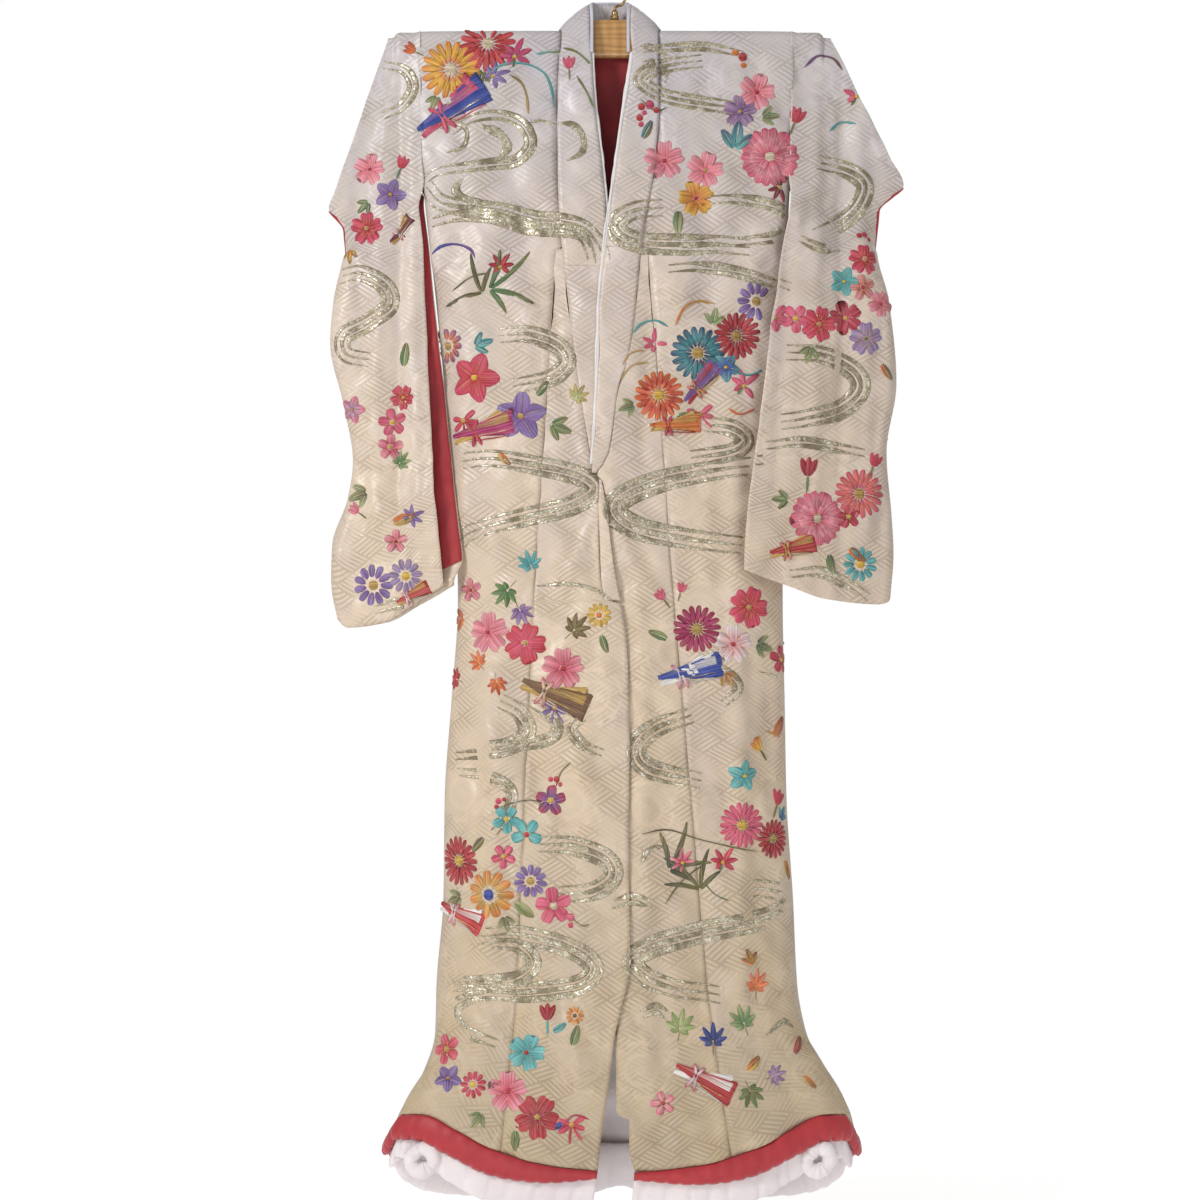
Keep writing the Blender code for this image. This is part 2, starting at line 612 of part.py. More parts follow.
def bead(name, path, radius, finish, around=6):
    """A round bead along a path."""
    along = np.gradient(path, axis=0)
    along /= np.linalg.norm(along, axis=1, keepdims=True)
    side = np.cross(along, [0, 1, 0])
    side /= np.linalg.norm(side, axis=1, keepdims=True)
    up = np.cross(side, along)
    angles = np.linspace(0, 2 * np.pi, around, endpoint=False)
    rings = np.array([
        [p + radius * (np.cos(a) * s + np.sin(a) * u) for a in angles]
        for p, s, u in zip(path, side, up)
    ])
    return tube(name, rings, finish)


def hem_frame(turn, face):
    """The silk edge's point at an angle, with the ways on down the cloth and out of it."""
    low, high = [body_point(turn, HEM_Z + step, face) for step in (0.0, 0.03)]
    down = low - high
    beside = body_point(turn + 0.01, HEM_Z, face) - body_point(turn - 0.01, HEM_Z, face)
    if abs(turn) > np.pi / 2 - 0.011:
        down[1] = 0
        beside = np.array([0, 1.0, 0])
    down /= np.linalg.norm(down)
    out = np.cross(down, beside)
    out /= np.linalg.norm(out)
    if np.dot(out, [low[0], low[1], 0]) < 0:
        out = -out
    if abs(turn) > np.pi / 2 - 0.011:
        low[1] = face * SEAM_GAP
    return low, down, out


def build_rolls(red, white):
    pieces = (
        ("front_left", -1, -np.pi / 2, turn_of(LEFT_LINES.at("edge", HEM_Z), HEM_Z)),
        ("front_right", -1, np.pi / 2, turn_of(RIGHT_LINES.at("edge", HEM_Z), HEM_Z)),
        ("back", 1, -np.pi / 2, np.pi / 2),
    )
    for where, face, start, end in pieces:
        count = 20 if face < 0 else 30
        red_rings, white_rings = [], []
        for turn in np.linspace(start, end, count):
            point, down, out = hem_frame(turn, face)
            reach = 1 - abs(np.sin(turn)) ** (2 / SECTION_POWER)
            if face < 0:
                reach = abs(turn - end) / abs(start - end)
            red_reach = ROLLS.at("red", reach if face < 0 else 1 - reach)
            white_reach = ROLLS.at("white", reach if face < 0 else 1 - reach)
            red_rings.append([
                point + down * (HEM_SEAM + (red_reach - HEM_SEAM) * along) + out * level
                for along, level in RED_SECTION
            ])
            thick = WHITE_THICKNESS * (1 - 0.35 * abs(np.sin(turn)) ** 12)
            middle = (white_reach - WHITE_HIDDEN) / 2
            white_rings.append([
                point + down * (middle + (white_reach + WHITE_HIDDEN) / 2 * np.cos(a))
                - out * (WHITE_INSET + thick / 2 * (1 - np.sin(a)))
                for a in np.linspace(0, 2 * np.pi, 10, endpoint=False)
            ])
        tube(f"red_hem_roll_{where}", np.array(red_rings), red)
        tube(f"white_hem_roll_{where}", np.array(white_rings), white)


def build_hanger(wood, brass):
    rings = []
    ends = BAR_HALF - BAR_RADIUS * np.array([0, 0.06, 0.3, 0.65, 1])
    half = -np.concatenate([ends, [0.2, 0.072, 0.0635, 0.055, 0.045, 0.030, 0.015, 0]])
    for x in np.concatenate([half, -half[-2::-1]]):
        top, bottom = BAR.at("top", abs(x)), BAR.at("bottom", abs(x))
        inset = BAR_HALF - abs(x)
        radius = BAR_RADIUS
        if inset < BAR_RADIUS:
            radius = np.sqrt(max(BAR_RADIUS**2 - (BAR_RADIUS - inset) ** 2, 0.002**2))
        corner = min(radius * 0.8, BAR_RADIUS * 0.8)
        ring = []
        for sx, sz, start in ((1, 1, 0), (-1, 1, 90), (-1, -1, 180), (1, -1, 270)):
            for angle in np.radians([start, start + 45, start + 90]):
                y = sx * (radius - corner) + corner * np.cos(angle)
                z = (top - corner if sz > 0 else bottom + corner) + corner * np.sin(angle)
                ring.append((x + BAR_SHIFT, y, z))
        rings.append(ring)
    tube("hanger_bar", np.array(rings), wood)

    rings = []
    for z, radius in ((FERRULE_FOOT_Z, 1.0), (FERRULE_FOOT_Z + 0.003, 1.0), (FERRULE_FOOT_Z + 0.004, 0.8),
                      (FERRULE_TOP_Z - 0.002, 0.7), (FERRULE_TOP_Z, 0.5)):
        angles = np.linspace(0, 2 * np.pi, 16, endpoint=False)
        rings.append([
            (HOOK_X + FERRULE_RADIUS * radius * np.cos(a), FERRULE_RADIUS * radius * np.sin(a), z)
            for a in angles
        ])
    tube("hanger_ferrule", np.array(rings), brass)


def build_hook(brass):
    """A round hook: a stem, then a bend of three quarters of a turn whose inner top is the origin."""
    middle_radius = HOOK_RADIUS + HOOK_WIRE
    angles = np.radians(np.linspace(-52, 200, 22))
    bend = [
        (middle_radius * np.cos(a), 0, -HOOK_RADIUS + middle_radius * np.sin(a))
        for a in angles
    ]
    stem_x = bend[0][0]
    stem = [
        (HOOK_X, 0, FERRULE_TOP_Z + SEAM_GAP),
        (HOOK_X, 0, FERRULE_TOP_Z + 0.004),
        (HOOK_X + (stem_x - HOOK_X) * 0.45, 0, FERRULE_TOP_Z + 0.0070),
    ]
    bead("hanger_hook", np.array(stem + bend), HOOK_WIRE, brass, 8)


def remove_startup_objects():
    for found in list(bpy.data.objects):
        bpy.data.objects.remove(found, do_unlink=True)


def main():
    remove_startup_objects()
    silk = material("damask_silk", (0.66, 0.55, 0.42), 0.4)
    red = material("red_silk", (0.45, 0.03, 0.04), 0.55)
    white = material("white_silk", (0.68, 0.62, 0.62), 0.6)
    wood = material("varnished_wood", (0.36, 0.17, 0.05), 0.25)
    brass = material("brass", (0.62, 0.45, 0.20), 0.25, 1.0)
    build_hanger(wood, brass)
    build_hook(brass)
    build_fronts(silk)
    build_backs(silk)
    build_inner_wall("back_lining", -0.118, -0.62, 9, LINING, red)
    build_inner_wall("inner_layer_back", -1.46, -1.866, 8, WHITE_FACING, white)
    build_collar(silk, white)
    build_sleeves(silk, red)
    build_rolls(red, white)


main()
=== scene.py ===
"""Looks of an embroidered silk kimono on a straight wooden hanger.

Metres, +Z up, the garment's front faces -Y.  "left" and "right" are as the camera sees them.
Each cloth piece is a thin shell on the same tables of sections as its solid, with its creases
placed one by one, and the needlework lies on those shells.
"""

import json
import logging
import math
from dataclasses import dataclass, field, replace
from enum import Enum
from typing import Callable, Iterable, Sequence

import bpy
import numpy as np
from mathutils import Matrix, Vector
from mathutils.bvhtree import BVHTree

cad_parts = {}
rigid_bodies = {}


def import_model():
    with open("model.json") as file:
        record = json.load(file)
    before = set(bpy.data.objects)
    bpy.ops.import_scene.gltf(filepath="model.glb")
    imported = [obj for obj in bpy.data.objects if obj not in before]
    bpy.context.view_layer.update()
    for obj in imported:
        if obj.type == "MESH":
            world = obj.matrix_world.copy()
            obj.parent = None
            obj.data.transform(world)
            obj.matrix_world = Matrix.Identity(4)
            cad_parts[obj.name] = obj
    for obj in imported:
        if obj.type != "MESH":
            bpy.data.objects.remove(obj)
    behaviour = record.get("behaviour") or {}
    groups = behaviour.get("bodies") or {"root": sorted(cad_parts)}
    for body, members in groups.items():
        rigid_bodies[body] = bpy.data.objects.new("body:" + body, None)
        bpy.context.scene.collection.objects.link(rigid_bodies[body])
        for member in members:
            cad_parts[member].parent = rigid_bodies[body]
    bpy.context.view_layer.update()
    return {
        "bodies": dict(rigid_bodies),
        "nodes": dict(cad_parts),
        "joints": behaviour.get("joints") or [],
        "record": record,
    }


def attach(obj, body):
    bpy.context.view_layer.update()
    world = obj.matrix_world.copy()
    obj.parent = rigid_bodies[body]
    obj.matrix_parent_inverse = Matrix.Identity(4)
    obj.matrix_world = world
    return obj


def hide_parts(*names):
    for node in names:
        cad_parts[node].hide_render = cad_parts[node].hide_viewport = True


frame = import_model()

log = logging.getLogger("kimono")

PIXEL = 0.00157
SEAM_GAP = 0.0001
SILK = 0.0014
COLLAR = 0.0026
LINING = 0.001
BAR_RADIUS = 0.009
FOLD_RADIUS = 0.0111
SHOULDER_Z = -0.0832
HEM_Z = -1.872
LAP_LIFT = 0.0062
SECTION_POWER = 2.5
FLARE_START = 0.74
COLLAR_TOP = -0.118
LAP_REACH = 0.13
OVERLAP_TOP = -0.432
LINING_GAP = 0.0004
HEM_SEAM = 0.0012
NECK_X = -0.003
NECK_HALF = 0.08
NECK_RIM = 0.0015
NECK_BLEND = 0.012
COLLAR_PROUD = 0.0006
COLLAR_STAND = 0.0022
COLLAR_ROLL = 0.004
EDGING_FOOT = {"left": -0.6, "right": -0.772}
COLLAR_FOOT = {"left": -0.985, "right": -0.786}
OVER_COLLAR_FOOT = {"left": -0.459, "right": -0.43}
FOOT_CLOSING = 0.5
TIP_Z = {"left": -0.363, "right": -0.326}
END_GAP = 0.0019
RETURN_LENGTH = 0.105
TURN_RADIUS = 0.016
LAYER_GAP = 0.0072
CUFF_HEIGHT = 0.23
SLEEVE_FOOT_START = 0.72
WHITE_THICKNESS = 0.026
WHITE_INSET = 0.0104
WHITE_HIDDEN = 0.03
ROW_STEP = 0.0062
BAR_HALF = 0.336
BAR_SHIFT = -0.005
BAR_END_ROOM = 0.0055
HOOK_X = 0.0047
HOOK_WIRE = 0.0022
HOOK_RADIUS = 0.021
FERRULE_FOOT_Z = -0.0612
FERRULE_TOP_Z = -0.047


class Table:
    """Named columns against the first one, read with a smooth curve that never overshoots."""

    def __init__(self, names: str, rows: Sequence[Sequence[float]]) -> None:
        """Sorts the rows and works out each column's slopes.

        Args:
            names: the columns' names, the first one being the key.
            rows: one row of numbers for each key.
        """
        self.names = names.split()
        self.rows = np.array(sorted(rows), float)
        key = self.rows[:, 0]
        self.step = np.diff(key)
        slope = np.diff(self.rows, axis=0) / self.step[:, None]
        same = slope[:-1] * slope[1:] > 0
        total = np.where(same, slope[:-1] + slope[1:], 1.0)
        self.tangent = np.zeros_like(self.rows)
        self.tangent[1:-1] = np.where(same, 2 * slope[:-1] * slope[1:] / total, 0.0)
        self.tangent[0], self.tangent[-1] = slope[0], slope[-1]

    def at(self, name: str, where: "float | np.ndarray") -> np.ndarray:
        """Reads a column.

        Args:
            name: the column.
            where: keys, as a number or an array.

        Returns:
            The column's values there, in the same shape.
        """
        column = self.names.index(name)
        key, value, tangent = self.rows[:, 0], self.rows[:, column], self.tangent[:, column]
        where = np.clip(where, key[0], key[-1])
        i = np.clip(np.searchsorted(key, where, side="right") - 1, 0, len(self.step) - 1)
        step = self.step[i]
        t = (where - key[i]) / step
        a, b = value[i], value[i + 1]
        m, n = tangent[i] * step, tangent[i + 1] * step
        return a + m * t + (3 * (b - a) - 2 * m - n) * t**2 + (2 * (a - b) + m + n) * t**3


BODY = Table("z left right front back side", [
    (-0.083, -0.306, 0.287, 0.0111, 0.0111, 0.0111), (-0.12, -0.306, 0.287, 0.02, 0.019, 0.014),
    (-0.2, -0.305, 0.286, 0.03, 0.027, 0.016), (-0.28, -0.303, 0.284, 0.037, 0.033, 0.015),
    (-0.34, -0.2975, 0.281, 0.042, 0.037, 0.013), (-0.43, -0.288, 0.278, 0.049, 0.042, 0.007),
    (-0.5, -0.28, 0.276, 0.054, 0.046, 0.0006), (-0.67, -0.264, 0.274, 0.064, 0.055, 0.0006),
    (-0.985, -0.244, 0.271, 0.078, 0.069, 0.0006), (-1.142, -0.254, 0.274, 0.088, 0.077, 0.0006),
    (-1.299, -0.265, 0.277, 0.096, 0.084, 0.0006), (-1.456, -0.267, 0.287, 0.103, 0.091, 0.0006),
    (-1.613, -0.278, 0.294, 0.112, 0.099, 0.0006), (-1.7, -0.28, 0.308, 0.118, 0.105, 0.0006),
    (-1.78, -0.302, 0.345, 0.124, 0.111, 0.0006), (-1.84, -0.336, 0.378, 0.129, 0.115, 0.0006),
    (-1.872, -0.35, 0.386, 0.131, 0.117, 0.0006),
])
HEM_LIFT = Table("reach front back", [
    (0.0, 0.002, -0.022), (0.3, 0.012, -0.022), (0.55, 0.036, -0.021),
    (0.72, 0.066, -0.02), (0.84, 0.084, -0.014), (0.94, 0.08, 0.006), (1.0, 0.042, 0.042),
])
LINES = {
    "left": Table("z okumi collar edge", [
        (-0.083, -0.0816, -0.0816, -0.029), (-0.123, -0.083, -0.083, -0.0314),
        (-0.2, -0.0864, -0.0864, -0.027), (-0.3, -0.086, -0.086, -0.0155),
        (-0.396, -0.082, -0.082, -0.0063), (-0.43, -0.087, -0.0785, -0.004),
        (-0.514, -0.093, -0.0691, -0.001), (-0.62, -0.1, -0.056, 0.0), (-0.72, -0.106, -0.04, -0.003),
        (-0.75, -0.108, -0.0345, -0.007), (-0.775, -0.11, -0.0255, -0.013),
        (-0.79, -0.111, -0.0215, -0.0165), (-0.812, -0.112, -0.02, -0.014),
        (-0.86, -0.115, -0.02, -0.0065), (-0.922, -0.119, -0.019, 0.0016),
        (-0.985, -0.123, -0.011, 0.0138), (-0.99, -0.1232, 0.0148, 0.0151),
        (-1.111, -0.129, 0.0259, 0.0259), (-1.221, -0.134, 0.0275, 0.0275),
        (-1.346, -0.139, 0.0259, 0.0259), (-1.55, -0.147, 0.028, 0.028), (-1.621, -0.15, 0.0141, 0.0141),
        (-1.668, -0.153, 0.0031, 0.0031), (-1.731, -0.158, -0.0031, -0.0031),
        (-1.802, -0.165, -0.0141, -0.0141), (-1.883, -0.174, -0.0236, -0.0236),
    ]),
    "right": Table("z okumi collar edge", [
        (-0.083, 0.0754, 0.0754, 0.04), (-0.123, 0.0735, 0.0735, 0.0345), (-0.2, 0.0745, 0.0745, 0.0215),
        (-0.3, 0.0675, 0.0675, 0.007), (-0.396, 0.05, 0.05, -0.0063), (-0.43, 0.056, 0.0455, -0.0105),
        (-0.514, 0.062, 0.0377, -0.0188), (-0.6, 0.07, 0.026, -0.0215), (-0.66, 0.074, 0.0079, -0.0235),
        (-0.748, 0.08, -0.0047, -0.0285), (-0.772, 0.082, -0.015, -0.0305),
        (-0.787, 0.083, -0.025, -0.031), (-0.8, 0.084, -0.0143, -0.0143),
        (-0.812, 0.085, -0.0122, -0.0122), (-0.832, 0.086, -0.0095, -0.0095),
        (-0.865, 0.088, -0.02, -0.02), (-0.92, 0.092, -0.033, -0.033), (-1.111, 0.108, -0.035, -0.035),
        (-1.346, 0.128, -0.029, -0.029), (-1.55, 0.145, -0.008, -0.008), (-1.64, 0.153, 0.0055, 0.0055),
        (-1.784, 0.172, 0.0063, 0.0063), (-1.788, 0.1725, 0.0262, 0.0262),
        (-1.834, 0.179, 0.0262, 0.0262), (-1.886, 0.188, 0.0385, 0.0385),
    ]),
}
LAP = Table("z left right", [
    (-0.083, 0.0, 0.0), (-0.28, 0.0, 0.0), (-0.39, 0.0, 1.0), (-0.787, 0.0, 1.0),
    (-0.812, 0.3, 0.3), (-0.845, 1.0, 0.0), (-1.65, 1.0, 0.0), (-1.73, 0.0, 0.0),
    (-1.9, 0.0, 0.0),
])
SLEEVE_COLUMNS = "z front_x front_y back_x back_y contour turned"
SLEEVES = {
    "left": Table(SLEEVE_COLUMNS, [
        (-0.083, -0.3072, -0.0111, -0.3072, 0.0111, -0.352, 0.0),
        (-0.123, -0.3072, -0.014, -0.3072, 0.014, -0.366, 0.0),
        (-0.2, -0.3062, -0.016, -0.3062, 0.016, -0.393, 0.0),
        (-0.28, -0.3048, -0.017, -0.3044, 0.013, -0.421, 0.0),
        (-0.34, -0.3046, -0.019, -0.3, 0.0, -0.442, 0.0),
        (-0.363, -0.304, -0.02, -0.298, -0.004, -0.4506, 0.0),
        (-0.38, -0.3025, -0.021, -0.296, -0.006, -0.435, 0.0),
        (-0.396, -0.301, -0.022, -0.294, -0.008, -0.424, 0.1),
        (-0.43, -0.299, -0.025, -0.29, -0.011, -0.427, 0.45),
        (-0.514, -0.295, -0.03, -0.281, -0.016, -0.4427, 1.0),
        (-0.577, -0.292, -0.034, -0.274, -0.019, -0.4474, 1.0),
        (-0.671, -0.287, -0.04, -0.263, -0.023, -0.427, 1.0),
        (-0.765, -0.282, -0.045, -0.253, -0.027, -0.4113, 1.0),
        (-0.828, -0.278, -0.053, -0.247, -0.034, -0.4192, 1.0),
        (-0.922, -0.273, -0.058, -0.239, -0.039, -0.444, 1.0),
        (-0.985, -0.268, -0.057, -0.234, -0.041, -0.4459, 1.0),
        (-1.03, -0.264, -0.056, -0.232, -0.043, -0.438, 1.0),
    ]),
    "right": Table(SLEEVE_COLUMNS, [
        (-0.083, 0.2882, -0.0111, 0.2882, 0.0111, 0.342, 0.0),
        (-0.123, 0.2882, -0.014, 0.2882, 0.014, 0.364, 0.0),
        (-0.2, 0.2874, -0.017, 0.2874, 0.016, 0.401, 0.0),
        (-0.28, 0.286, -0.023, 0.287, 0.013, 0.442, 0.0),
        (-0.326, 0.2845, -0.032, 0.292, 0.009, 0.4647, 0.0),
        (-0.345, 0.283, -0.034, 0.293, 0.008, 0.443, 0.0),
        (-0.365, 0.28, -0.037, 0.293, 0.007, 0.423, 0.1),
        (-0.43, 0.27, -0.047, 0.293, 0.004, 0.4235, 0.5),
        (-0.514, 0.256, -0.057, 0.293, 0.002, 0.4412, 1.0),
        (-0.64, 0.239, -0.069, 0.292, 0.0, 0.4522, 1.0),
        (-0.75, 0.225, -0.078, 0.292, -0.001, 0.4365, 1.0),
        (-0.86, 0.213, -0.086, 0.292, -0.002, 0.4443, 1.0),
        (-0.93, 0.208, -0.088, 0.292, -0.006, 0.4475, 1.0),
        (-0.993, 0.206, -0.086, 0.292, -0.016, 0.443, 1.0),
    ]),
}
SLEEVE_FOOT = Table("reach left right", [
    (0.0, -0.962, -0.938), (0.25, -0.992, -0.962), (0.5, -1.02, -0.984),
    (0.8, -1.029, -0.992), (0.93, -1.016, -0.988), (1.0, -0.99, -0.97),
])
ROLLS = Table("reach red white", [
    (0.0, 0.012, 0.04), (0.12, 0.024, 0.054), (0.3, 0.034, 0.064),
    (0.6, 0.036, 0.058), (0.85, 0.034, 0.05), (1.0, 0.03, 0.046),
])
RED_SECTION = Table("along outer inner", [
    (0.0, 0.0012, -0.0088), (0.3, 0.003, -0.0102), (0.75, 0.0028, -0.01),
    (0.9, 0.0014, -0.009), (1.0, -0.003, -0.005),
])
EDGING = Table("z left right", [
    (-0.09, 0.0036, 0.0082), (-0.15, 0.0036, 0.0058), (-0.3, 0.0036, 0.0045),
    (-0.8, 0.0036, 0.0038),
])
NECK = Table("along seam_x seam_y seam_z free_x free_y free_z", [
    (0.0, 0.0, 0.014, -0.0915, 0.0, 0.025, -0.033), (0.3, 0.06, 0.0135, -0.0915, 0.029, 0.021, -0.034),
    (0.5, 0.0815, 0.011, -0.0835, 0.034, 0.006, -0.037),
    (0.68, 0.0805, 0.0, -0.0785, 0.033, -0.011, -0.048),
    (0.85, 0.0765, -0.0135, -0.085, 0.032, -0.019, -0.07),
    (1.0, 0.0765, -0.0246, -0.1175, 0.032, -0.0292, -0.1175),
])
BAR = Table("reach top bottom", [
    (0.0, -0.062, -0.1235), (0.03, -0.0625, -0.1235), (0.055, -0.076, -0.1225),
    (0.072, -0.086, -0.1215), (0.2, -0.086, -0.118), (0.336, -0.086, -0.111),
])


def soft_step(value: "float | np.ndarray") -> np.ndarray:
    """A smooth rise from 0 to 1."""
    value = np.clip(value, 0, 1)
    return value * value * (3 - 2 * value)


def place(column: float, row: float) -> "tuple[float, float]":
    """Where a spot of the front view lies on the garment, as x and z in metres."""
    return (column - 612) * PIXEL, -0.062 - (row - 12) * PIXEL


def turn_of(x: np.ndarray, level: np.ndarray) -> np.ndarray:
    """The angle round the body's section at which a point lies over x: 0 in the middle."""
    left, right = BODY.at("left", level), BODY.at("right", level)
    share = np.clip((2 * x - left - right) / (right - left), -1, 1)
    return np.arcsin(np.sign(share) * abs(share) ** (SECTION_POWER / 2))


def body_points(turn: np.ndarray, level: np.ndarray, face: int) -> np.ndarray:
    """Points of the body's front or back.

    Args:
        turn: angles round the section.
        level: heights before the hem's lift.
        face: -1 for the front, 1 for the back.

    Returns:
        Points, in an array with one more axis.
    """
    turn, level = np.broadcast_arrays(turn, level)
    left, right = BODY.at("left", level), BODY.at("right", level)
    depth, side = BODY.at("front" if face < 0 else "back", level), BODY.at("side", level)
    reach = abs(np.sin(turn)) ** (2 / SECTION_POWER)
    x = (left + right) / 2 + (right - left) / 2 * np.sign(turn) * reach
    y = face * (side + (depth - side) * abs(np.cos(turn)) ** (2 / SECTION_POWER))
    share = (level - SHOULDER_Z) / (HEM_Z - SHOULDER_Z)
    low = soft_step((share - FLARE_START) / (1 - FLARE_START))
    z = level + HEM_LIFT.at("front" if face < 0 else "back", reach) * low
    return np.stack([x, y, z], axis=-1)


def lifted(points: np.ndarray, level: np.ndarray, side: str, out: "float | np.ndarray" = 0.0) -> np.ndarray:
    """Points of a front, moved out beside its edge where it lies on the other front."""
    edge = LINES[side].at("edge", level)
    near = soft_step(1 - abs(points[..., 0] - edge) / LAP_REACH)
    moved = points.copy()
    moved[..., 1] -= LAP_LIFT * LAP.at(side, level) * near + out
    return moved


def fold_rows(row: np.ndarray, face: int, count: int = 9) -> "list[np.ndarray]":
    """The rows that curve over the bar's top, from the top of the fold down to a first row."""
    over = np.ones(len(row))
    if face > 0:
        over = soft_step((abs(row[:, 0] - NECK_X) - NECK_HALF) / NECK_BLEND)
    rows = []
    radius = abs(row[:, 1])
    for share in np.linspace(1, 0, count)[:-1]:
        turn = math.pi / 2 * share * over
        rise = radius * np.sin(turn) + (1 - over) * share * NECK_RIM
        y = face * radius * np.cos(turn)
        rows.append(np.stack([row[:, 0], y, row[:, 2] + rise], axis=1))
    return rows


def bar_clearance(x: np.ndarray, level: np.ndarray) -> np.ndarray:
    """Half the depth that a sleeve needs beside the bar's end, where it hangs over the bar."""
    inside = np.clip(BAR_HALF + BAR_END_ROOM - abs(x - BAR_SHIFT), 0, FOLD_RADIUS)
    round_end = np.sqrt(FOLD_RADIUS**2 - (FOLD_RADIUS - inside) ** 2)
    return round_end * (1 - soft_step((COLLAR_TOP - level) / 0.03))


def sleeve_points(side: str, layer: str, level: np.ndarray, share: np.ndarray) -> np.ndarray:
    """Points of a sleeve's layer.

    Args:
        side: left or right.
        layer: front or back.
        level: heights before the foot's curve.
        share: from 0 at the inner edge to 1 at the outer one.

    Returns:
        Points, in an array with one more axis.
    """
    level, share = np.broadcast_arrays(np.asarray(level, float), np.asarray(share, float))
    table, sign = SLEEVES[side], -1 if side == "left" else 1
    contour, turned = table.at("contour", level), table.at("turned", level)
    front_x, front_y = table.at("front_x", level), table.at("front_y", level)
    back_x, back_y = table.at("back_x", level), table.at("back_y", level)
    width = abs(contour - front_x)
    bend = (1 - turned) * 0.25 * width + turned * np.pi * TURN_RADIUS
    tail = (1 - turned) * 0.15 * width + turned**2 * RETURN_LENGTH
    angle = np.maximum(np.pi * turned, 1e-4)
    radius = bend / angle
    quarter = np.minimum(angle, np.pi / 2)
    half_gap = LAYER_GAP / 2
    past = radius * np.sin(quarter) + tail * np.maximum(np.cos(angle), 0) + half_gap * np.sin(quarter)
    at_end = END_GAP + (half_gap - END_GAP) * soft_step((TIP_Z[side] + 0.004 - level) / 0.03)
    corner_x, corner_y = contour - sign * past, -TURN_RADIUS * turned
    middle_x, middle_y = (front_x + back_x) / 2, (front_y + back_y) / 2
    outwards = 1 if layer == "front" else -1
    part = np.clip(share / 0.5, 0, 1)
    straight_x = middle_x + (corner_x - middle_x) * part + (front_x - middle_x) * (1 - part) * outwards
    straight_y = middle_y + (corner_y - middle_y) * part
    straight_half = (back_y - front_y) / 2 * (1 - part) + half_gap * part
    heading = angle * np.clip((share - 0.5) / 0.25, 0, 1)
    along = tail * np.clip((share - 0.75) / 0.25, 0, 1)
    bent_x = corner_x + sign * (radius * np.sin(heading) + along * np.cos(heading))
    bent_y = corner_y + radius * (1 - np.cos(heading)) + along * np.sin(heading)
    bent_half = half_gap + (at_end - half_gap) * np.clip((share - 0.5) / 0.5, 0, 1)
    inner = share < 0.5
    x, y = np.where(inner, straight_x, bent_x), np.where(inner, straight_y, bent_y)
    half = np.maximum(np.where(inner, straight_half, bent_half), bar_clearance(x, level))
    x = x + sign * np.sin(heading) * half * outwards
    y = y - np.cos(heading) * half * outwards
    foot = table.rows[0, 0]
    low = soft_step(((level - SHOULDER_Z) / (foot - SHOULDER_Z) - SLEEVE_FOOT_START)
                    / (1 - SLEEVE_FOOT_START))
    z = level + (SLEEVE_FOOT.at(side, np.minimum(share / 0.62, 1)) - foot) * low
    return np.stack([x, y, z], axis=-1)


def sleeve_grid(side: str, layer: str, levels: np.ndarray, shares: np.ndarray) -> np.ndarray:
    """A grid of a sleeve's layer, whose back layer closes on the front one near the foot."""
    level, share = np.meshgrid(levels, shares, indexing="ij")
    grid = sleeve_points(side, layer, level, share)
    if layer == "front":
        return grid
    near = soft_step(1 - (level - SLEEVES[side].rows[0, 0]) / 0.05)[..., None]
    return grid + (sleeve_points(side, "front", level, share) - grid) * FOOT_CLOSING * near


def levels_between(top: float, foot: float, step: float = ROW_STEP) -> np.ndarray:
    """Evenly spaced heights, both ends included."""
    return np.linspace(top, foot, max(int(round((top - foot) / step)), 2) + 1)


def normals_of(grid: np.ndarray) -> np.ndarray:
    """Unit normals of a grid of points."""
    normal = np.cross(np.gradient(grid, axis=1), np.gradient(grid, axis=0))
    return normal / np.maximum(np.linalg.norm(normal, axis=2, keepdims=True), 1e-12)


def arc_lengths(grid: np.ndarray, axis: int) -> np.ndarray:
    """How far each point of a grid lies along its row (axis 1) or column (axis 0), in metres."""
    steps = np.linalg.norm(np.diff(grid, axis=axis), axis=2)
    start = np.zeros((grid.shape[0], 1)) if axis == 1 else np.zeros((1, grid.shape[1]))
    return np.concatenate([start, np.cumsum(steps, axis=axis)], axis=axis)


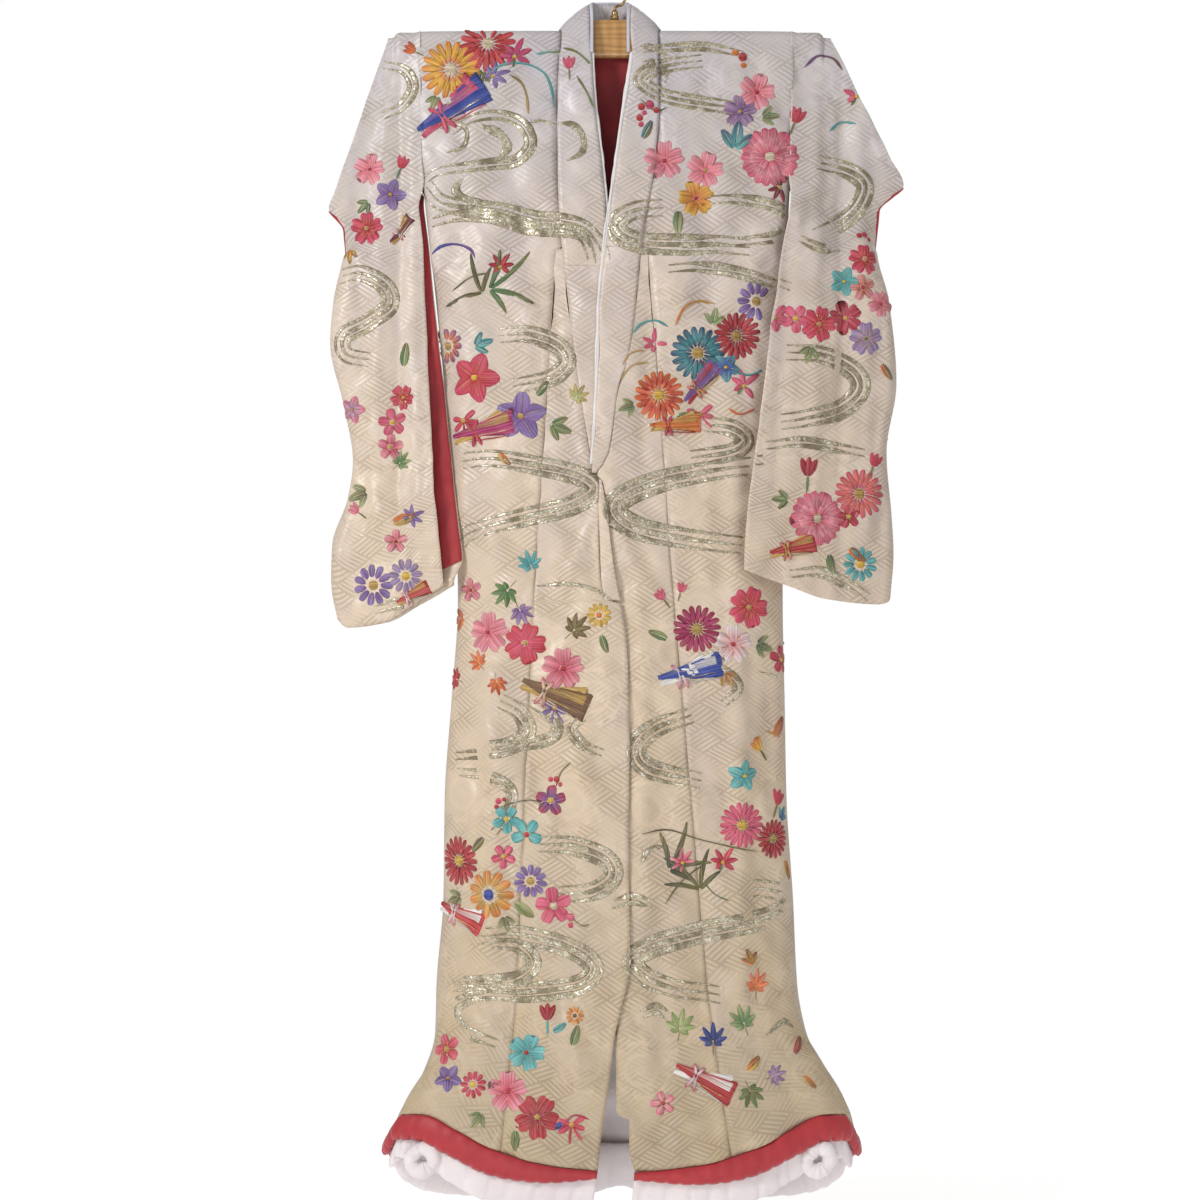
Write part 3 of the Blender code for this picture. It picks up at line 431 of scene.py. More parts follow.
def make_mesh(name: str, points: np.ndarray, faces: np.ndarray, uv: "np.ndarray | None" = None,
              colours: "np.ndarray | None" = None) -> bpy.types.Object:
    """Makes a mesh object from arrays.

    Args:
        name: the object's name.
        points: the vertices, in metres.
        faces: four vertex numbers a row; a triangle repeats its last one.
        uv: a place on the cloth for each vertex.
        colours: a thread colour for each vertex.

    Returns:
        The new object, shaded smooth.
    """
    mesh = bpy.data.meshes.new(name)
    mesh.vertices.add(len(points))
    mesh.vertices.foreach_set("co", np.asarray(points, np.float32).ravel())
    triangle = faces[:, 2] == faces[:, 3]
    sizes = np.where(triangle, 3, 4)
    keep = np.ones_like(faces, bool)
    keep[:, 3] = ~triangle
    corners = faces[keep]
    mesh.loops.add(len(corners))
    mesh.loops.foreach_set("vertex_index", corners.astype(np.int32))
    mesh.polygons.add(len(faces))
    mesh.polygons.foreach_set("loop_start", np.concatenate([[0], np.cumsum(sizes)[:-1]]).astype(np.int32))
    mesh.update(calc_edges=True)
    if uv is not None:
        layer = mesh.uv_layers.new(name="cloth")
        layer.data.foreach_set("uv", np.asarray(uv, np.float32)[corners].ravel())
    if colours is not None:
        paint = mesh.color_attributes.new("thread", "FLOAT_COLOR", "POINT")
        rgba = np.concatenate([colours, np.ones((len(colours), 1))], axis=1)
        paint.data.foreach_set("color", rgba.astype(np.float32).ravel())
    mesh.shade_smooth()
    piece = bpy.data.objects.new(name, mesh)
    bpy.context.scene.collection.objects.link(piece)
    return piece


def enclosed(points: np.ndarray, faces: np.ndarray) -> float:
    """Six times the volume inside closed faces, negative where they face inwards."""
    a, b, c, d = [points[faces[:, i]] for i in range(4)]
    return np.einsum("ij,ij->i", a, np.cross(b, c)).sum() + np.einsum("ij,ij->i", a, np.cross(c, d)).sum()


def outward(points: np.ndarray, faces: np.ndarray) -> np.ndarray:
    """The same faces, all turned round if they enclose a negative volume."""
    if enclosed(points, faces) > 0:
        return faces
    triangles = (faces[:, 2] == faces[:, 3]).any()
    return faces[:, [2, 1, 0, 0] if triangles else [1, 0, 3, 2]]


def grid_faces(rows: int, columns: int, start: int = 0, wrap: bool = False) -> np.ndarray:
    """Quads over a grid of vertices, closed round its columns if wrap is set."""
    number = start + np.arange(rows * columns).reshape(rows, columns)
    if wrap:
        number = np.concatenate([number, number[:, :1]], axis=1)
    return np.stack([number[:-1, :-1], number[:-1, 1:], number[1:, 1:], number[1:, :-1]],
                    axis=-1).reshape(-1, 4)


def shell(name: str, grid: np.ndarray, thickness: "float | np.ndarray",
          shift: "tuple[float, float]" = (0.0, 0.0)) -> bpy.types.Object:
    """A closed thin shell with its middle on a grid, and its place on the cloth as UV in metres.

    Args:
        name: the object's name.
        grid: points, rows down and columns across.
        thickness: of the cloth, or one value for each point.
        shift: moves the weave's start, so that pieces don't match at a seam.

    Returns:
        The shell.
    """
    rows, columns = grid.shape[:2]
    thick = np.asarray(thickness)[..., None] if np.ndim(thickness) else thickness
    half = normals_of(grid) * thick / 2
    points = np.concatenate([(grid + half).reshape(-1, 3), (grid - half).reshape(-1, 3)])
    one = rows * columns
    top = grid_faces(rows, columns)
    under = grid_faces(rows, columns, one)[:, ::-1]
    number = np.arange(one).reshape(rows, columns)
    rim = np.concatenate([number[0, :-1], number[:-1, -1], number[-1, :0:-1], number[:0:-1, 0]])
    after = np.roll(rim, -1)
    sides = np.stack([rim, rim + one, after + one, after], axis=1)
    faces = outward(points, np.concatenate([top, under, sides]))
    across, down = arc_lengths(grid, 1), arc_lengths(grid, 0)
    middle = columns // 2
    uv = np.stack([across + shift[0], np.repeat(down[:, middle:middle + 1], columns, axis=1) + shift[1]],
                  axis=-1)
    uv = np.concatenate([uv.reshape(-1, 2)] * 2)
    return make_mesh(name, points, faces, uv)


def tube(name: str, rings: np.ndarray, colours: "np.ndarray | None" = None) -> bpy.types.Object:
    """A closed solid through rings of points, each end closed on its middle, with UV in metres."""
    count, around = rings.shape[:2]
    points = np.concatenate([rings.reshape(-1, 3), [rings[0].mean(0)], [rings[-1].mean(0)]])
    sides = grid_faces(count, around, wrap=True)
    i = np.arange(around)
    j = (i + 1) % around
    first, last = count * around, count * around + 1
    caps = [np.stack([j, i, np.full(around, first), np.full(around, first)], axis=1)]
    base = (count - 1) * around
    caps.append(np.stack([base + i, base + j, np.full(around, last), np.full(around, last)], axis=1))
    faces = np.concatenate([sides, *caps])
    if enclosed(points, sides) < 0:
        turned = faces[:, [1, 0, 3, 2]].copy()
        triangle = faces[:, 2] == faces[:, 3]
        turned[triangle] = faces[triangle][:, [1, 0, 2, 2]]
        faces = turned
    along = arc_lengths(rings, 0)[:, :1].repeat(around, axis=1)
    round_it = arc_lengths(np.concatenate([rings, rings[:, :1]], axis=1), 1)[:, :-1]
    uv = np.stack([along, round_it], axis=-1).reshape(-1, 2)
    uv = np.concatenate([uv, uv[:1], uv[-1:]])
    return make_mesh(name, points, faces, uv, colours)


Socket = bpy.types.NodeSocket


class Pen:
    """Places nodes in a shader tree and links them."""

    def __init__(self, tree: bpy.types.NodeTree) -> None:
        """Takes the tree to draw in."""
        self.tree = tree

    def feed(self, socket: Socket, value: "Socket | float | Sequence[float]") -> None:
        """Links a socket to another one, or sets its value."""
        if isinstance(value, bpy.types.NodeSocket):
            self.tree.links.new(value, socket)
        else:
            socket.default_value = value

    def add(self, kind: str, inputs: "dict | None" = None, **settings: object) -> bpy.types.Node:
        """Adds a node.

        Args:
            kind: its type, without the leading ShaderNode.
            inputs: a value or another node's socket for each of its sockets.
            settings: its properties.

        Returns:
            The node.
        """
        made = self.tree.nodes.new("ShaderNode" + kind)
        for key, value in settings.items():
            setattr(made, key, value)
        for key, value in (inputs or {}).items():
            self.feed(made.inputs[key], value)
        return made

    def calc(self, operation: str, *values: "Socket | float", clamp: bool = False) -> Socket:
        """The result of a sum."""
        made = self.add("Math", operation=operation, use_clamp=clamp)
        for socket, value in zip(made.inputs, values):
            self.feed(socket, value)
        return made.outputs[0]

    def blend(self, share: "Socket | float", first: "Socket | tuple", second: "Socket | tuple",
              mode: str = "MIX") -> Socket:
        """Two colours mixed by a share."""
        made = self.add("Mix", data_type="RGBA", blend_type=mode)
        for index, value in ((0, share), (6, first), (7, second)):
            self.feed(made.inputs[index], value)
        return made.outputs[2]

    def noise(self, where: Socket, scale: float, detail: float = 2.0) -> Socket:
        """Smooth noise from 0 to 1."""
        return self.add("TexNoise", {"Vector": where, "Scale": scale, "Detail": detail}).outputs[0]

    def stretched(self, where: Socket, scale: "tuple[float, float, float]", turn: float = 0.0) -> Socket:
        """Coordinates scaled and turned about Z."""
        return self.add("Mapping", {"Vector": where, "Scale": scale, "Rotation": (0, 0, turn)}).outputs[0]

    def ramp(self, share: Socket, stops: "Sequence[tuple[float, tuple]]") -> Socket:
        """A colour for each value."""
        made = self.add("ValToRGB", {"Fac": share})
        band = made.color_ramp
        while len(band.elements) < len(stops):
            band.elements.new(0.5)
        for element, (position, colour) in zip(band.elements, stops):
            element.position = position
            element.color = (*colour, 1)
        return made.outputs[0]

    def spread(self, value: Socket, low: float, high: float) -> Socket:
        """A value's stretch from low to high, made 0 to 1 with soft ends."""
        made = self.add("MapRange", {"Value": value, "From Min": low, "From Max": high},
                        interpolation_type="SMOOTHSTEP")
        return made.outputs[0]

    def cloth_place(self) -> Socket:
        """The place on the cloth, in metres."""
        return self.add("UVMap", uv_map="cloth").outputs[0]

    def object_place(self) -> Socket:
        """The place in the garment's own frame."""
        return self.add("TexCoord").outputs["Object"]

    def group(self, tree: bpy.types.NodeTree, inputs: dict) -> "dict[str, Socket]":
        """Places a group and returns its outputs by name."""
        made = self.tree.nodes.new("ShaderNodeGroup")
        made.node_tree = tree
        for key, value in inputs.items():
            self.feed(made.inputs[key], value)
        return {socket.name: socket for socket in made.outputs}


def effect(name: str, inputs: "dict[str, float | None]", outputs: Sequence[str],
           draw: "Callable[[Pen, dict[str, Socket]], dict[str, Socket]]") -> bpy.types.NodeTree:
    """A shader node group, built once.

    Args:
        name: the group's name.
        inputs: each input's default number, or None for a vector.
        outputs: the names of its values; one that starts with Colour is a colour.
        draw: fills it in, and returns a socket for each output.

    Returns:
        The group.
    """
    found = bpy.data.node_groups.get(name)
    if found:
        return found
    tree = bpy.data.node_groups.new(name, "ShaderNodeTree")
    for key, default in inputs.items():
        kind = "NodeSocketVector" if default is None else "NodeSocketFloat"
        kind = "NodeSocketColor" if key.startswith("Colour") else kind
        made = tree.interface.new_socket(name=key, in_out="INPUT", socket_type=kind)
        if kind == "NodeSocketFloat":
            made.default_value = default
    for key in outputs:
        kind = "NodeSocketColor" if key.startswith("Colour") else "NodeSocketFloat"
        tree.interface.new_socket(name=key, in_out="OUTPUT", socket_type=kind)
    start, end = tree.nodes.new("NodeGroupInput"), tree.nodes.new("NodeGroupOutput")
    for key, socket in draw(Pen(tree), {s.name: s for s in start.outputs if s.name}).items():
        tree.links.new(socket, end.inputs[key])
    return tree


def fret_group() -> bpy.types.NodeTree:
    """An oblique key fret woven into the silk: patches of lines that turn from one slope to the other."""

    def draw(pen: Pen, given: "dict[str, Socket]") -> "dict[str, Socket]":
        u, v = pen.add("SeparateXYZ", {"Vector": given["Vector"]}).outputs[:2]
        slope, patch = math.radians(32), 5.0
        rise = pen.calc("MULTIPLY", v, math.cos(slope))
        run = pen.calc("MULTIPLY", u, math.sin(slope))
        lines, cells = [], []
        for operation in ("SUBTRACT", "ADD"):
            across = pen.calc("DIVIDE", pen.calc(operation, rise, run), given["Pitch"])
            cells.append(pen.calc("DIVIDE", across, patch))
            lines.append(across)
        parity = pen.calc("FLOORED_MODULO",
                          pen.calc("ADD", pen.calc("FLOOR", cells[0]), pen.calc("FLOOR", cells[1])), 2.0)
        marks = []
        for here, other in ((0, 1), (1, 0)):
            wave = pen.calc("SINE", pen.calc("MULTIPLY", lines[here], 2 * math.pi))
            stripe = pen.spread(wave, -0.25, 0.55)
            cap = pen.spread(pen.calc("FRACT", cells[other]), 0.13, 0.08)
            marks.append(pen.calc("MAXIMUM", stripe, cap))
        chosen = pen.add("Mix", {0: parity, 2: marks[0], 3: marks[1]}, data_type="FLOAT").outputs[0]
        return {"Lines": chosen}

    return effect("key_fret", {"Vector": None, "Pitch": 0.0064}, ["Lines"], draw)


def medallion_group() -> bpy.types.NodeTree:
    """Faint round flowers scattered through the weave."""

    def draw(pen: Pen, given: "dict[str, Socket]") -> "dict[str, Socket]":
        cells = pen.add("TexVoronoi", {"Vector": given["Vector"], "Scale": given["Scale"],
                                       "Randomness": 0.8}, voronoi_dimensions="2D")
        scaled = pen.add("VectorMath", {0: given["Vector"], "Scale": given["Scale"]},
                         operation="SCALE").outputs[0]
        offset = pen.add("VectorMath",
                         {0: scaled, 1: pen.add("VectorMath",
                                                {0: cells.outputs["Position"], "Scale": given["Scale"]},
                                                operation="SCALE").outputs[0]},
                                                operation="SUBTRACT").outputs[0]
        x, y = pen.add("SeparateXYZ", {"Vector": offset}).outputs[:2]
        angle = pen.calc("ARCTAN2", y, x)
        petals = pen.calc("ABSOLUTE", pen.calc("SINE", pen.calc("MULTIPLY", angle, 3.0)))
        reach = pen.calc("MULTIPLY_ADD", petals, 0.16, 0.2)
        distance = cells.outputs["Distance"]
        inside = pen.spread(pen.calc("SUBTRACT", reach, distance), -0.01, 0.02)
        rings = pen.spread(pen.calc("SINE", pen.calc("MULTIPLY", distance, 55.0)), 0.3, 0.8)
        return {"Flower": pen.calc("MULTIPLY", inside, pen.calc("MULTIPLY_ADD", rings, 0.5, 0.5))}

    return effect("woven_medallions", {"Vector": None, "Scale": 7.0}, ["Flower"], draw)


def weave_group() -> bpy.types.NodeTree:
    """The fine threads of a plain cloth, as a height."""

    def draw(pen: Pen, given: "dict[str, Socket]") -> "dict[str, Socket]":
        u, v = pen.add("SeparateXYZ", {"Vector": given["Vector"]}).outputs[:2]
        waves = [pen.calc("SINE", pen.calc("DIVIDE", pen.calc("MULTIPLY", way, 2 * math.pi),
                                           given["Pitch"])) for way in (u, v)]
        slub = pen.noise(pen.stretched(given["Vector"], (60, 900, 1)), 1.0)
        sum_of = pen.calc("ADD", pen.calc("MULTIPLY", waves[0], 0.25), pen.calc("MULTIPLY", waves[1], 0.25))
        return {"Height": pen.calc("ADD", sum_of, slub)}

    return effect("plain_weave", {"Vector": None, "Pitch": 0.0008}, ["Height"], draw)


def drift_group() -> bpy.types.NodeTree:
    """Slow changes of tone, as on old silk."""

    def draw(pen: Pen, given: "dict[str, Socket]") -> "dict[str, Socket]":
        slow = pen.noise(given["Vector"], 4.0, 4.0)
        quick = pen.noise(given["Vector"], 38.0, 3.0)
        both = pen.calc("ADD", pen.calc("MULTIPLY", slow, 0.65), pen.calc("MULTIPLY", quick, 0.35))
        share = pen.calc("MULTIPLY", pen.spread(both, 0.35, 0.66), given["Amount"])
        return {"Colour": pen.blend(share, given["Colour first"], given["Colour second"]), "Drift": both}

    return effect("tone_drift", {"Vector": None, "Amount": 0.5, "Colour first": 0.0, "Colour second": 0.0},
                  ["Colour", "Drift"], draw)


def stitch_group() -> bpy.types.NodeTree:
    """Rows of satin stitches that run along V, as a height and a tone."""

    def draw(pen: Pen, given: "dict[str, Socket]") -> "dict[str, Socket]":
        u = pen.add("SeparateXYZ", {"Vector": given["Vector"]}).outputs[0]
        wobble = pen.noise(pen.stretched(given["Vector"], (150, 30, 1)), 1.0)
        across = pen.calc("ADD", pen.calc("DIVIDE", u, given["Pitch"]), pen.calc("MULTIPLY", wobble, 0.6))
        thread = pen.calc("ABSOLUTE", pen.calc("SINE", pen.calc("MULTIPLY", across, math.pi)))
        number = pen.add("TexWhiteNoise", {"W": pen.calc("FLOOR", across)},
                         noise_dimensions="1D").outputs[0]
        ends = pen.noise(pen.stretched(given["Vector"], (900, 60, 1)), 1.0)
        tone = pen.calc("ADD", pen.calc("MULTIPLY", number, 0.5), pen.calc("MULTIPLY", ends, 0.5))
        return {"Height": thread, "Tone": tone}

    return effect("satin_stitches", {"Vector": None, "Pitch": 0.0009}, ["Height", "Tone"], draw)


def glitter_group() -> bpy.types.NodeTree:
    """Flat metal threads that catch the light in small specks; the specks serve as painted glints in the
    colour.
    """

    def draw(pen: Pen, given: "dict[str, Socket]") -> "dict[str, Socket]":
        cells = pen.add("TexVoronoi", {"Vector": given["Vector"], "Scale": given["Scale"]})
        speck = pen.add("SeparateColor", {"Color": cells.outputs["Color"]}).outputs[0]
        patches = pen.noise(given["Vector"], 45.0, 3.0)
        glint_specks = pen.calc("MULTIPLY", pen.spread(speck, 0.35, 0.9), pen.spread(patches, 0.3, 0.58))
        return {"Speck": glint_specks, "Patch": patches}

    return effect("metal_specks", {"Vector": None, "Scale": 700.0}, ["Speck", "Patch"], draw)


@dataclass(frozen=True)
class Finish:
    """A named finish; each kind draws its own nodes."""

    name: str
    slot: str

    def material(self) -> bpy.types.Material:
        """The material, made the first time."""
        found = bpy.data.materials.get(self.name)
        if found:
            return found
        made = bpy.data.materials.new(self.name)
        made.use_nodes = True
        shader = made.node_tree.nodes["Principled BSDF"]
        self.draw(Pen(made.node_tree), shader.inputs)
        return made

    def draw(self, pen: Pen, shader: bpy.types.bpy_prop_collection) -> None:
        """Fills in the nodes."""
        raise NotImplementedError

    def bump(self, pen: Pen, shader: bpy.types.bpy_prop_collection, height: Socket, distance: float,
             strength: float = 1.0) -> None:
        """Joins a height to the shader's normal."""
        made = pen.add("Bump", {"Height": height, "Distance": distance, "Strength": strength})
        pen.feed(shader["Normal"], made.outputs[0])


@dataclass(frozen=True)
class FiguredSilk(Finish):
    """Cream silk with a woven fret, greyer at the shoulders and browner at the hem; the grey-lilac at the
    shoulders is painted cool light, and the fret's patchy darkening is painted sheen.
    """

    # colours by height: the grey-lilac at the shoulders is painted cool light, and the tones turn browner
    # and darker towards the hem
    tones: "tuple[tuple[float, tuple], ...]" = (
        (0.0, (0.6, 0.545, 0.525)), (0.1, (0.62, 0.555, 0.515)), (0.26, (0.69, 0.57, 0.455)),
        (0.55, (0.68, 0.54, 0.39)), (0.8, (0.57, 0.445, 0.295)), (1.0, (0.45, 0.345, 0.205)),
    )
    fret_pitch: float = 0.0068
    fret_depth: float = 0.52
    shade: float = 1.0

    def draw(self, pen: Pen, shader: bpy.types.bpy_prop_collection) -> None:
        """Fills in the nodes."""
        cloth, spot = pen.cloth_place(), pen.object_place()
        height = pen.add("SeparateXYZ", {"Vector": spot}).outputs[2]
        # painted cool light: the colour is ramped by height, grey-lilac at the shoulders
        tone = pen.ramp(pen.calc("DIVIDE", height, -1.9),
                        [(p, tuple(c * self.shade for c in colour)) for p, colour in self.tones])
        cool = pen.blend(1.0, tone, (0.9, 0.94, 1.12, 1), "MULTIPLY")
        drift = pen.group(drift_group(), {"Vector": pen.stretched(cloth, (1.6, 0.5, 1)), "Amount": 0.75,
                                          "Colour first": tone, "Colour second": cool})
        fret = pen.group(fret_group(), {"Vector": cloth, "Pitch": self.fret_pitch})["Lines"]
        flowers = pen.group(medallion_group(), {"Vector": cloth, "Scale": 6.0})["Flower"]
        # The key fret is woven in the silk; its darkening in the colour, stronger in some patches than
        # others by noise, is painted sheen of the woven pattern.
        lines = pen.calc("MULTIPLY", fret,
                         pen.calc("SUBTRACT", 1.0, pen.calc("MULTIPLY", flowers, 0.8), clamp=True))
        strength = pen.calc("MULTIPLY_ADD", pen.spread(pen.noise(cloth, 14.0, 1.0), 0.36, 0.62),
                            self.fret_depth, 0.08)
        dark = pen.blend(1.0, drift["Colour"], (0.62, 0.58, 0.54, 1), "MULTIPLY")
        colour = pen.blend(pen.calc("MULTIPLY", lines, strength), drift["Colour"], dark)
        bright = pen.blend(1.0, colour, (1.1, 1.1, 1.12, 1), "MULTIPLY")
        colour = pen.blend(pen.calc("MULTIPLY", flowers, 0.55), colour, bright)
        pen.feed(shader["Base Color"], colour)
        pen.feed(shader["Roughness"], pen.calc("MULTIPLY_ADD", lines, 0.14, 0.35))
        shader["Sheen Weight"].default_value = 0.12
        shader["Sheen Roughness"].default_value = 0.4
        shader["Specular IOR Level"].default_value = 0.5
        weave = pen.group(weave_group(), {"Vector": cloth, "Pitch": 0.0011})["Height"]
        relief = pen.calc("MULTIPLY_ADD", weave, 0.1,
                          pen.calc("ADD", lines, pen.calc("MULTIPLY", flowers, 0.5)))
        self.bump(pen, shader, relief, 0.00035, 0.8)


@dataclass(frozen=True)
class PlainSilk(Finish):
    """Plain woven silk of one colour."""

    colour: "tuple[float, float, float]" = (0.5, 0.5, 0.5)
    second: "tuple[float, float, float]" = (0.4, 0.4, 0.4)
    roughness: float = 0.5
    sheen: float = 0.2
    pucker: float = 0.0

    def draw(self, pen: Pen, shader: bpy.types.bpy_prop_collection) -> None:
        """Fills in the nodes."""
        cloth, spot = pen.cloth_place(), pen.object_place()
        drift = pen.group(drift_group(), {"Vector": spot, "Amount": 0.9, "Colour first": (*self.colour, 1),
                                          "Colour second": (*self.second, 1)})
        weave = pen.group(weave_group(), {"Vector": cloth, "Pitch": 0.0009})["Height"]
        pen.feed(shader["Base Color"], drift["Colour"])
        pen.feed(shader["Roughness"], pen.calc("MULTIPLY_ADD", drift["Drift"], 0.2, self.roughness - 0.1))
        shader["Sheen Weight"].default_value = self.sheen
        shader["Specular IOR Level"].default_value = 0.4
        relief = pen.calc("ADD", pen.calc("MULTIPLY", weave, 0.2),
                          pen.calc("MULTIPLY", pen.noise(spot, 130.0, 3.0), self.pucker))
        self.bump(pen, shader, relief, 0.0006, 0.6)


@dataclass(frozen=True)
class Needlework(Finish):
    """Satin-stitched silk thread in the colour that the piece carries."""

    def draw(self, pen: Pen, shader: bpy.types.bpy_prop_collection) -> None:
        """Fills in the nodes."""
        cloth = pen.cloth_place()
        stitches = pen.group(stitch_group(), {"Vector": cloth, "Pitch": 0.0011})
        thread = pen.add("Attribute", attribute_name="thread").outputs["Color"]
        dark = pen.blend(1.0, thread, (0.62, 0.6, 0.62, 1), "MULTIPLY")
        light = pen.blend(0.07, thread, (1.0, 0.97, 0.92, 1))
        colour = pen.blend(pen.spread(stitches["Tone"], 0.25, 0.75), dark, light)
        pen.feed(shader["Base Color"], colour)
        pen.feed(shader["Roughness"], pen.calc("MULTIPLY_ADD", stitches["Tone"], 0.2, 0.32))
        shader["Sheen Weight"].default_value = 0.04
        shader["Specular IOR Level"].default_value = 0.5
        self.bump(pen, shader, stitches["Height"], 0.0004, 0.7)


@dataclass(frozen=True)
class MetalThread(Finish):
    """Silver or gold thread, laid flat, that glitters in specks: each speck is a painted glint in the base
    colour, and is also more metallic, smoother and raised.
    """

    dark: "tuple[float, float, float]" = (0.205, 0.165, 0.098)
    # the colour of the painted glints at the specks
    light: "tuple[float, float, float]" = (0.76, 0.71, 0.6)
    patch: "tuple[float, float, float]" = (0.39, 0.325, 0.195)

    def draw(self, pen: Pen, shader: bpy.types.bpy_prop_collection) -> None:
        """Fills in the nodes."""
        spot = pen.object_place()
        glitter = pen.group(glitter_group(), {"Vector": spot, "Scale": 520.0})
        ground = pen.blend(pen.spread(glitter["Patch"], 0.35, 0.65), (*self.dark, 1), (*self.patch, 1))
        # painted glints: the base colour turns to the light colour at each speck
        pen.feed(shader["Base Color"], pen.blend(glitter["Speck"], ground, (*self.light, 1)))
        pen.feed(shader["Roughness"], pen.calc("MULTIPLY_ADD", glitter["Speck"], -0.25, 0.5))
        pen.feed(shader["Metallic"], pen.calc("MULTIPLY_ADD", glitter["Speck"], 0.3, 0.2))
        self.bump(pen, shader, glitter["Speck"], 0.0005, 0.8)


@dataclass(frozen=True)
class VarnishedWood(Finish):
    """Golden brown wood with a long grain under a glossy varnish."""

    light: "tuple[float, float, float]" = (0.56, 0.29, 0.085)
    dark: "tuple[float, float, float]" = (0.27, 0.115, 0.03)

    def draw(self, pen: Pen, shader: bpy.types.bpy_prop_collection) -> None:
        """Fills in the nodes."""
        spot = pen.object_place()
        bent = pen.stretched(spot, (3.0, 40.0, 40.0))
        rings = pen.add("TexWave", {"Vector": bent, "Scale": 0.9, "Distortion": 7.0, "Detail": 3.0,
                                    "Detail Scale": 1.4}, bands_direction="Z").outputs[1]
        pores = pen.noise(pen.stretched(spot, (30.0, 900.0, 900.0)), 1.0, 3.0)
        share = pen.calc("ADD", pen.calc("MULTIPLY_ADD", rings, 0.24, 0.22),
                         pen.calc("MULTIPLY", pores, 0.3))
        pen.feed(shader["Base Color"],
                 pen.ramp(share, [(0.15, self.dark), (0.55, self.light), (0.95, (0.68, 0.4, 0.15))]))
        pen.feed(shader["Roughness"], pen.calc("MULTIPLY_ADD", pores, 0.2, 0.3))
        shader["Coat Weight"].default_value = 1.0
        shader["Coat Roughness"].default_value = 0.06
        flutes = pen.add("TexWave", {"Vector": spot, "Scale": 20.0}, bands_direction="X").outputs[1]
        height = pen.calc("MULTIPLY_ADD", pores, 0.08, flutes)
        self.bump(pen, shader, height, 0.0016, 0.6)


@dataclass(frozen=True)
class Brass(Finish):
    """Turned brass, a little tarnished in its hollows."""

    def draw(self, pen: Pen, shader: bpy.types.bpy_prop_collection) -> None:
        """Fills in the nodes."""
        spot = pen.object_place()
        tarnish = pen.noise(spot, 240.0, 4.0)
        pen.feed(shader["Base Color"],
                 pen.ramp(tarnish, [(0.35, (0.3, 0.19, 0.06)), (0.62, (0.74, 0.55, 0.25))]))
        pen.feed(shader["Roughness"], pen.calc("MULTIPLY_ADD", tarnish, 0.3, 0.14))
        shader["Metallic"].default_value = 1.0
        self.bump(pen, shader, pen.noise(pen.stretched(spot, (600, 600, 2500)), 1.0), 0.0001, 0.4)


class Finishes(Enum):
    """Every finish on the garment and its hanger."""

    DAMASK = FiguredSilk("cream_figured_silk", "damask_silk")
    COLLAR_SILK = FiguredSilk("collar_figured_silk", "damask_silk", fret_pitch=0.0066, fret_depth=0.46,
                              shade=1.02)
    RED = PlainSilk("crimson_lining_silk", "red_silk", (0.42, 0.03, 0.035), (0.3, 0.02, 0.028), 0.55,
                    0.25)
    RED_HEM = PlainSilk("crimson_hem_silk", "red_silk", (0.43, 0.026, 0.032), (0.33, 0.018, 0.026), 0.42,
                        0.15, 0.5)
    WHITE = PlainSilk("white_padded_silk", "white_silk", (0.76, 0.7, 0.7), (0.66, 0.585, 0.6), 0.6, 0.3,
                      0.6)
    INNER_WHITE = PlainSilk("bluish_inner_silk", "white_silk", (0.66, 0.66, 0.72), (0.56, 0.55, 0.64), 0.55,
                            0.3, 0.3)
    EDGING = PlainSilk("white_edging_silk", "white_silk", (0.82, 0.79, 0.77), (0.7, 0.66, 0.66), 0.5, 0.3,
                       0.1)
    THREAD = Needlework("embroidery_thread", "damask_silk")
    SILVER = MetalThread("silver_gold_thread", "damask_silk")
    GOLD = MetalThread("gold_couching_thread", "damask_silk", (0.42, 0.27, 0.07), (0.95, 0.82, 0.5),
                       (0.6, 0.42, 0.14))
    WOOD = VarnishedWood("glossy_hanger_wood", "varnished_wood")
    BRASS = Brass("hook_brass", "brass")


@dataclass(frozen=True)
class Crease:
    """A ridge or a hollow that runs from one spot of the cloth to another, seen from in front or behind."""

    start: "tuple[float, float]"
    end: "tuple[float, float]"
    width: float
    height: float

    def raise_at(self, x: np.ndarray, z: np.ndarray) -> np.ndarray:
        """How far it lifts the cloth at each place."""
        (x0, z0), (x1, z1) = self.start, self.end
        run, rise = x1 - x0, z1 - z0
        length = math.hypot(run, rise)
        along = ((x - x0) * run + (z - z0) * rise) / length**2
        beyond = np.maximum(np.maximum(-along, along - 1), 0) * length
        across = abs((x - x0) * rise - (z - z0) * run) / length
        fade = soft_step(np.clip(1.15 - 2 * abs(along - 0.5), 0, 1) / 0.45)
        return CREASE_GAIN * self.height * fade * np.exp(-(across**2 + beyond**2) / self.width**2)


def photo_crease(column0: float, row0: float, column1: float, row1: float, width: float,
                 height: float) -> Crease:
    """A crease between two spots of the front view, with its width and height in millimetres."""
    return Crease(place(column0, row0), place(column1, row1), width / 1000, height / 1000)


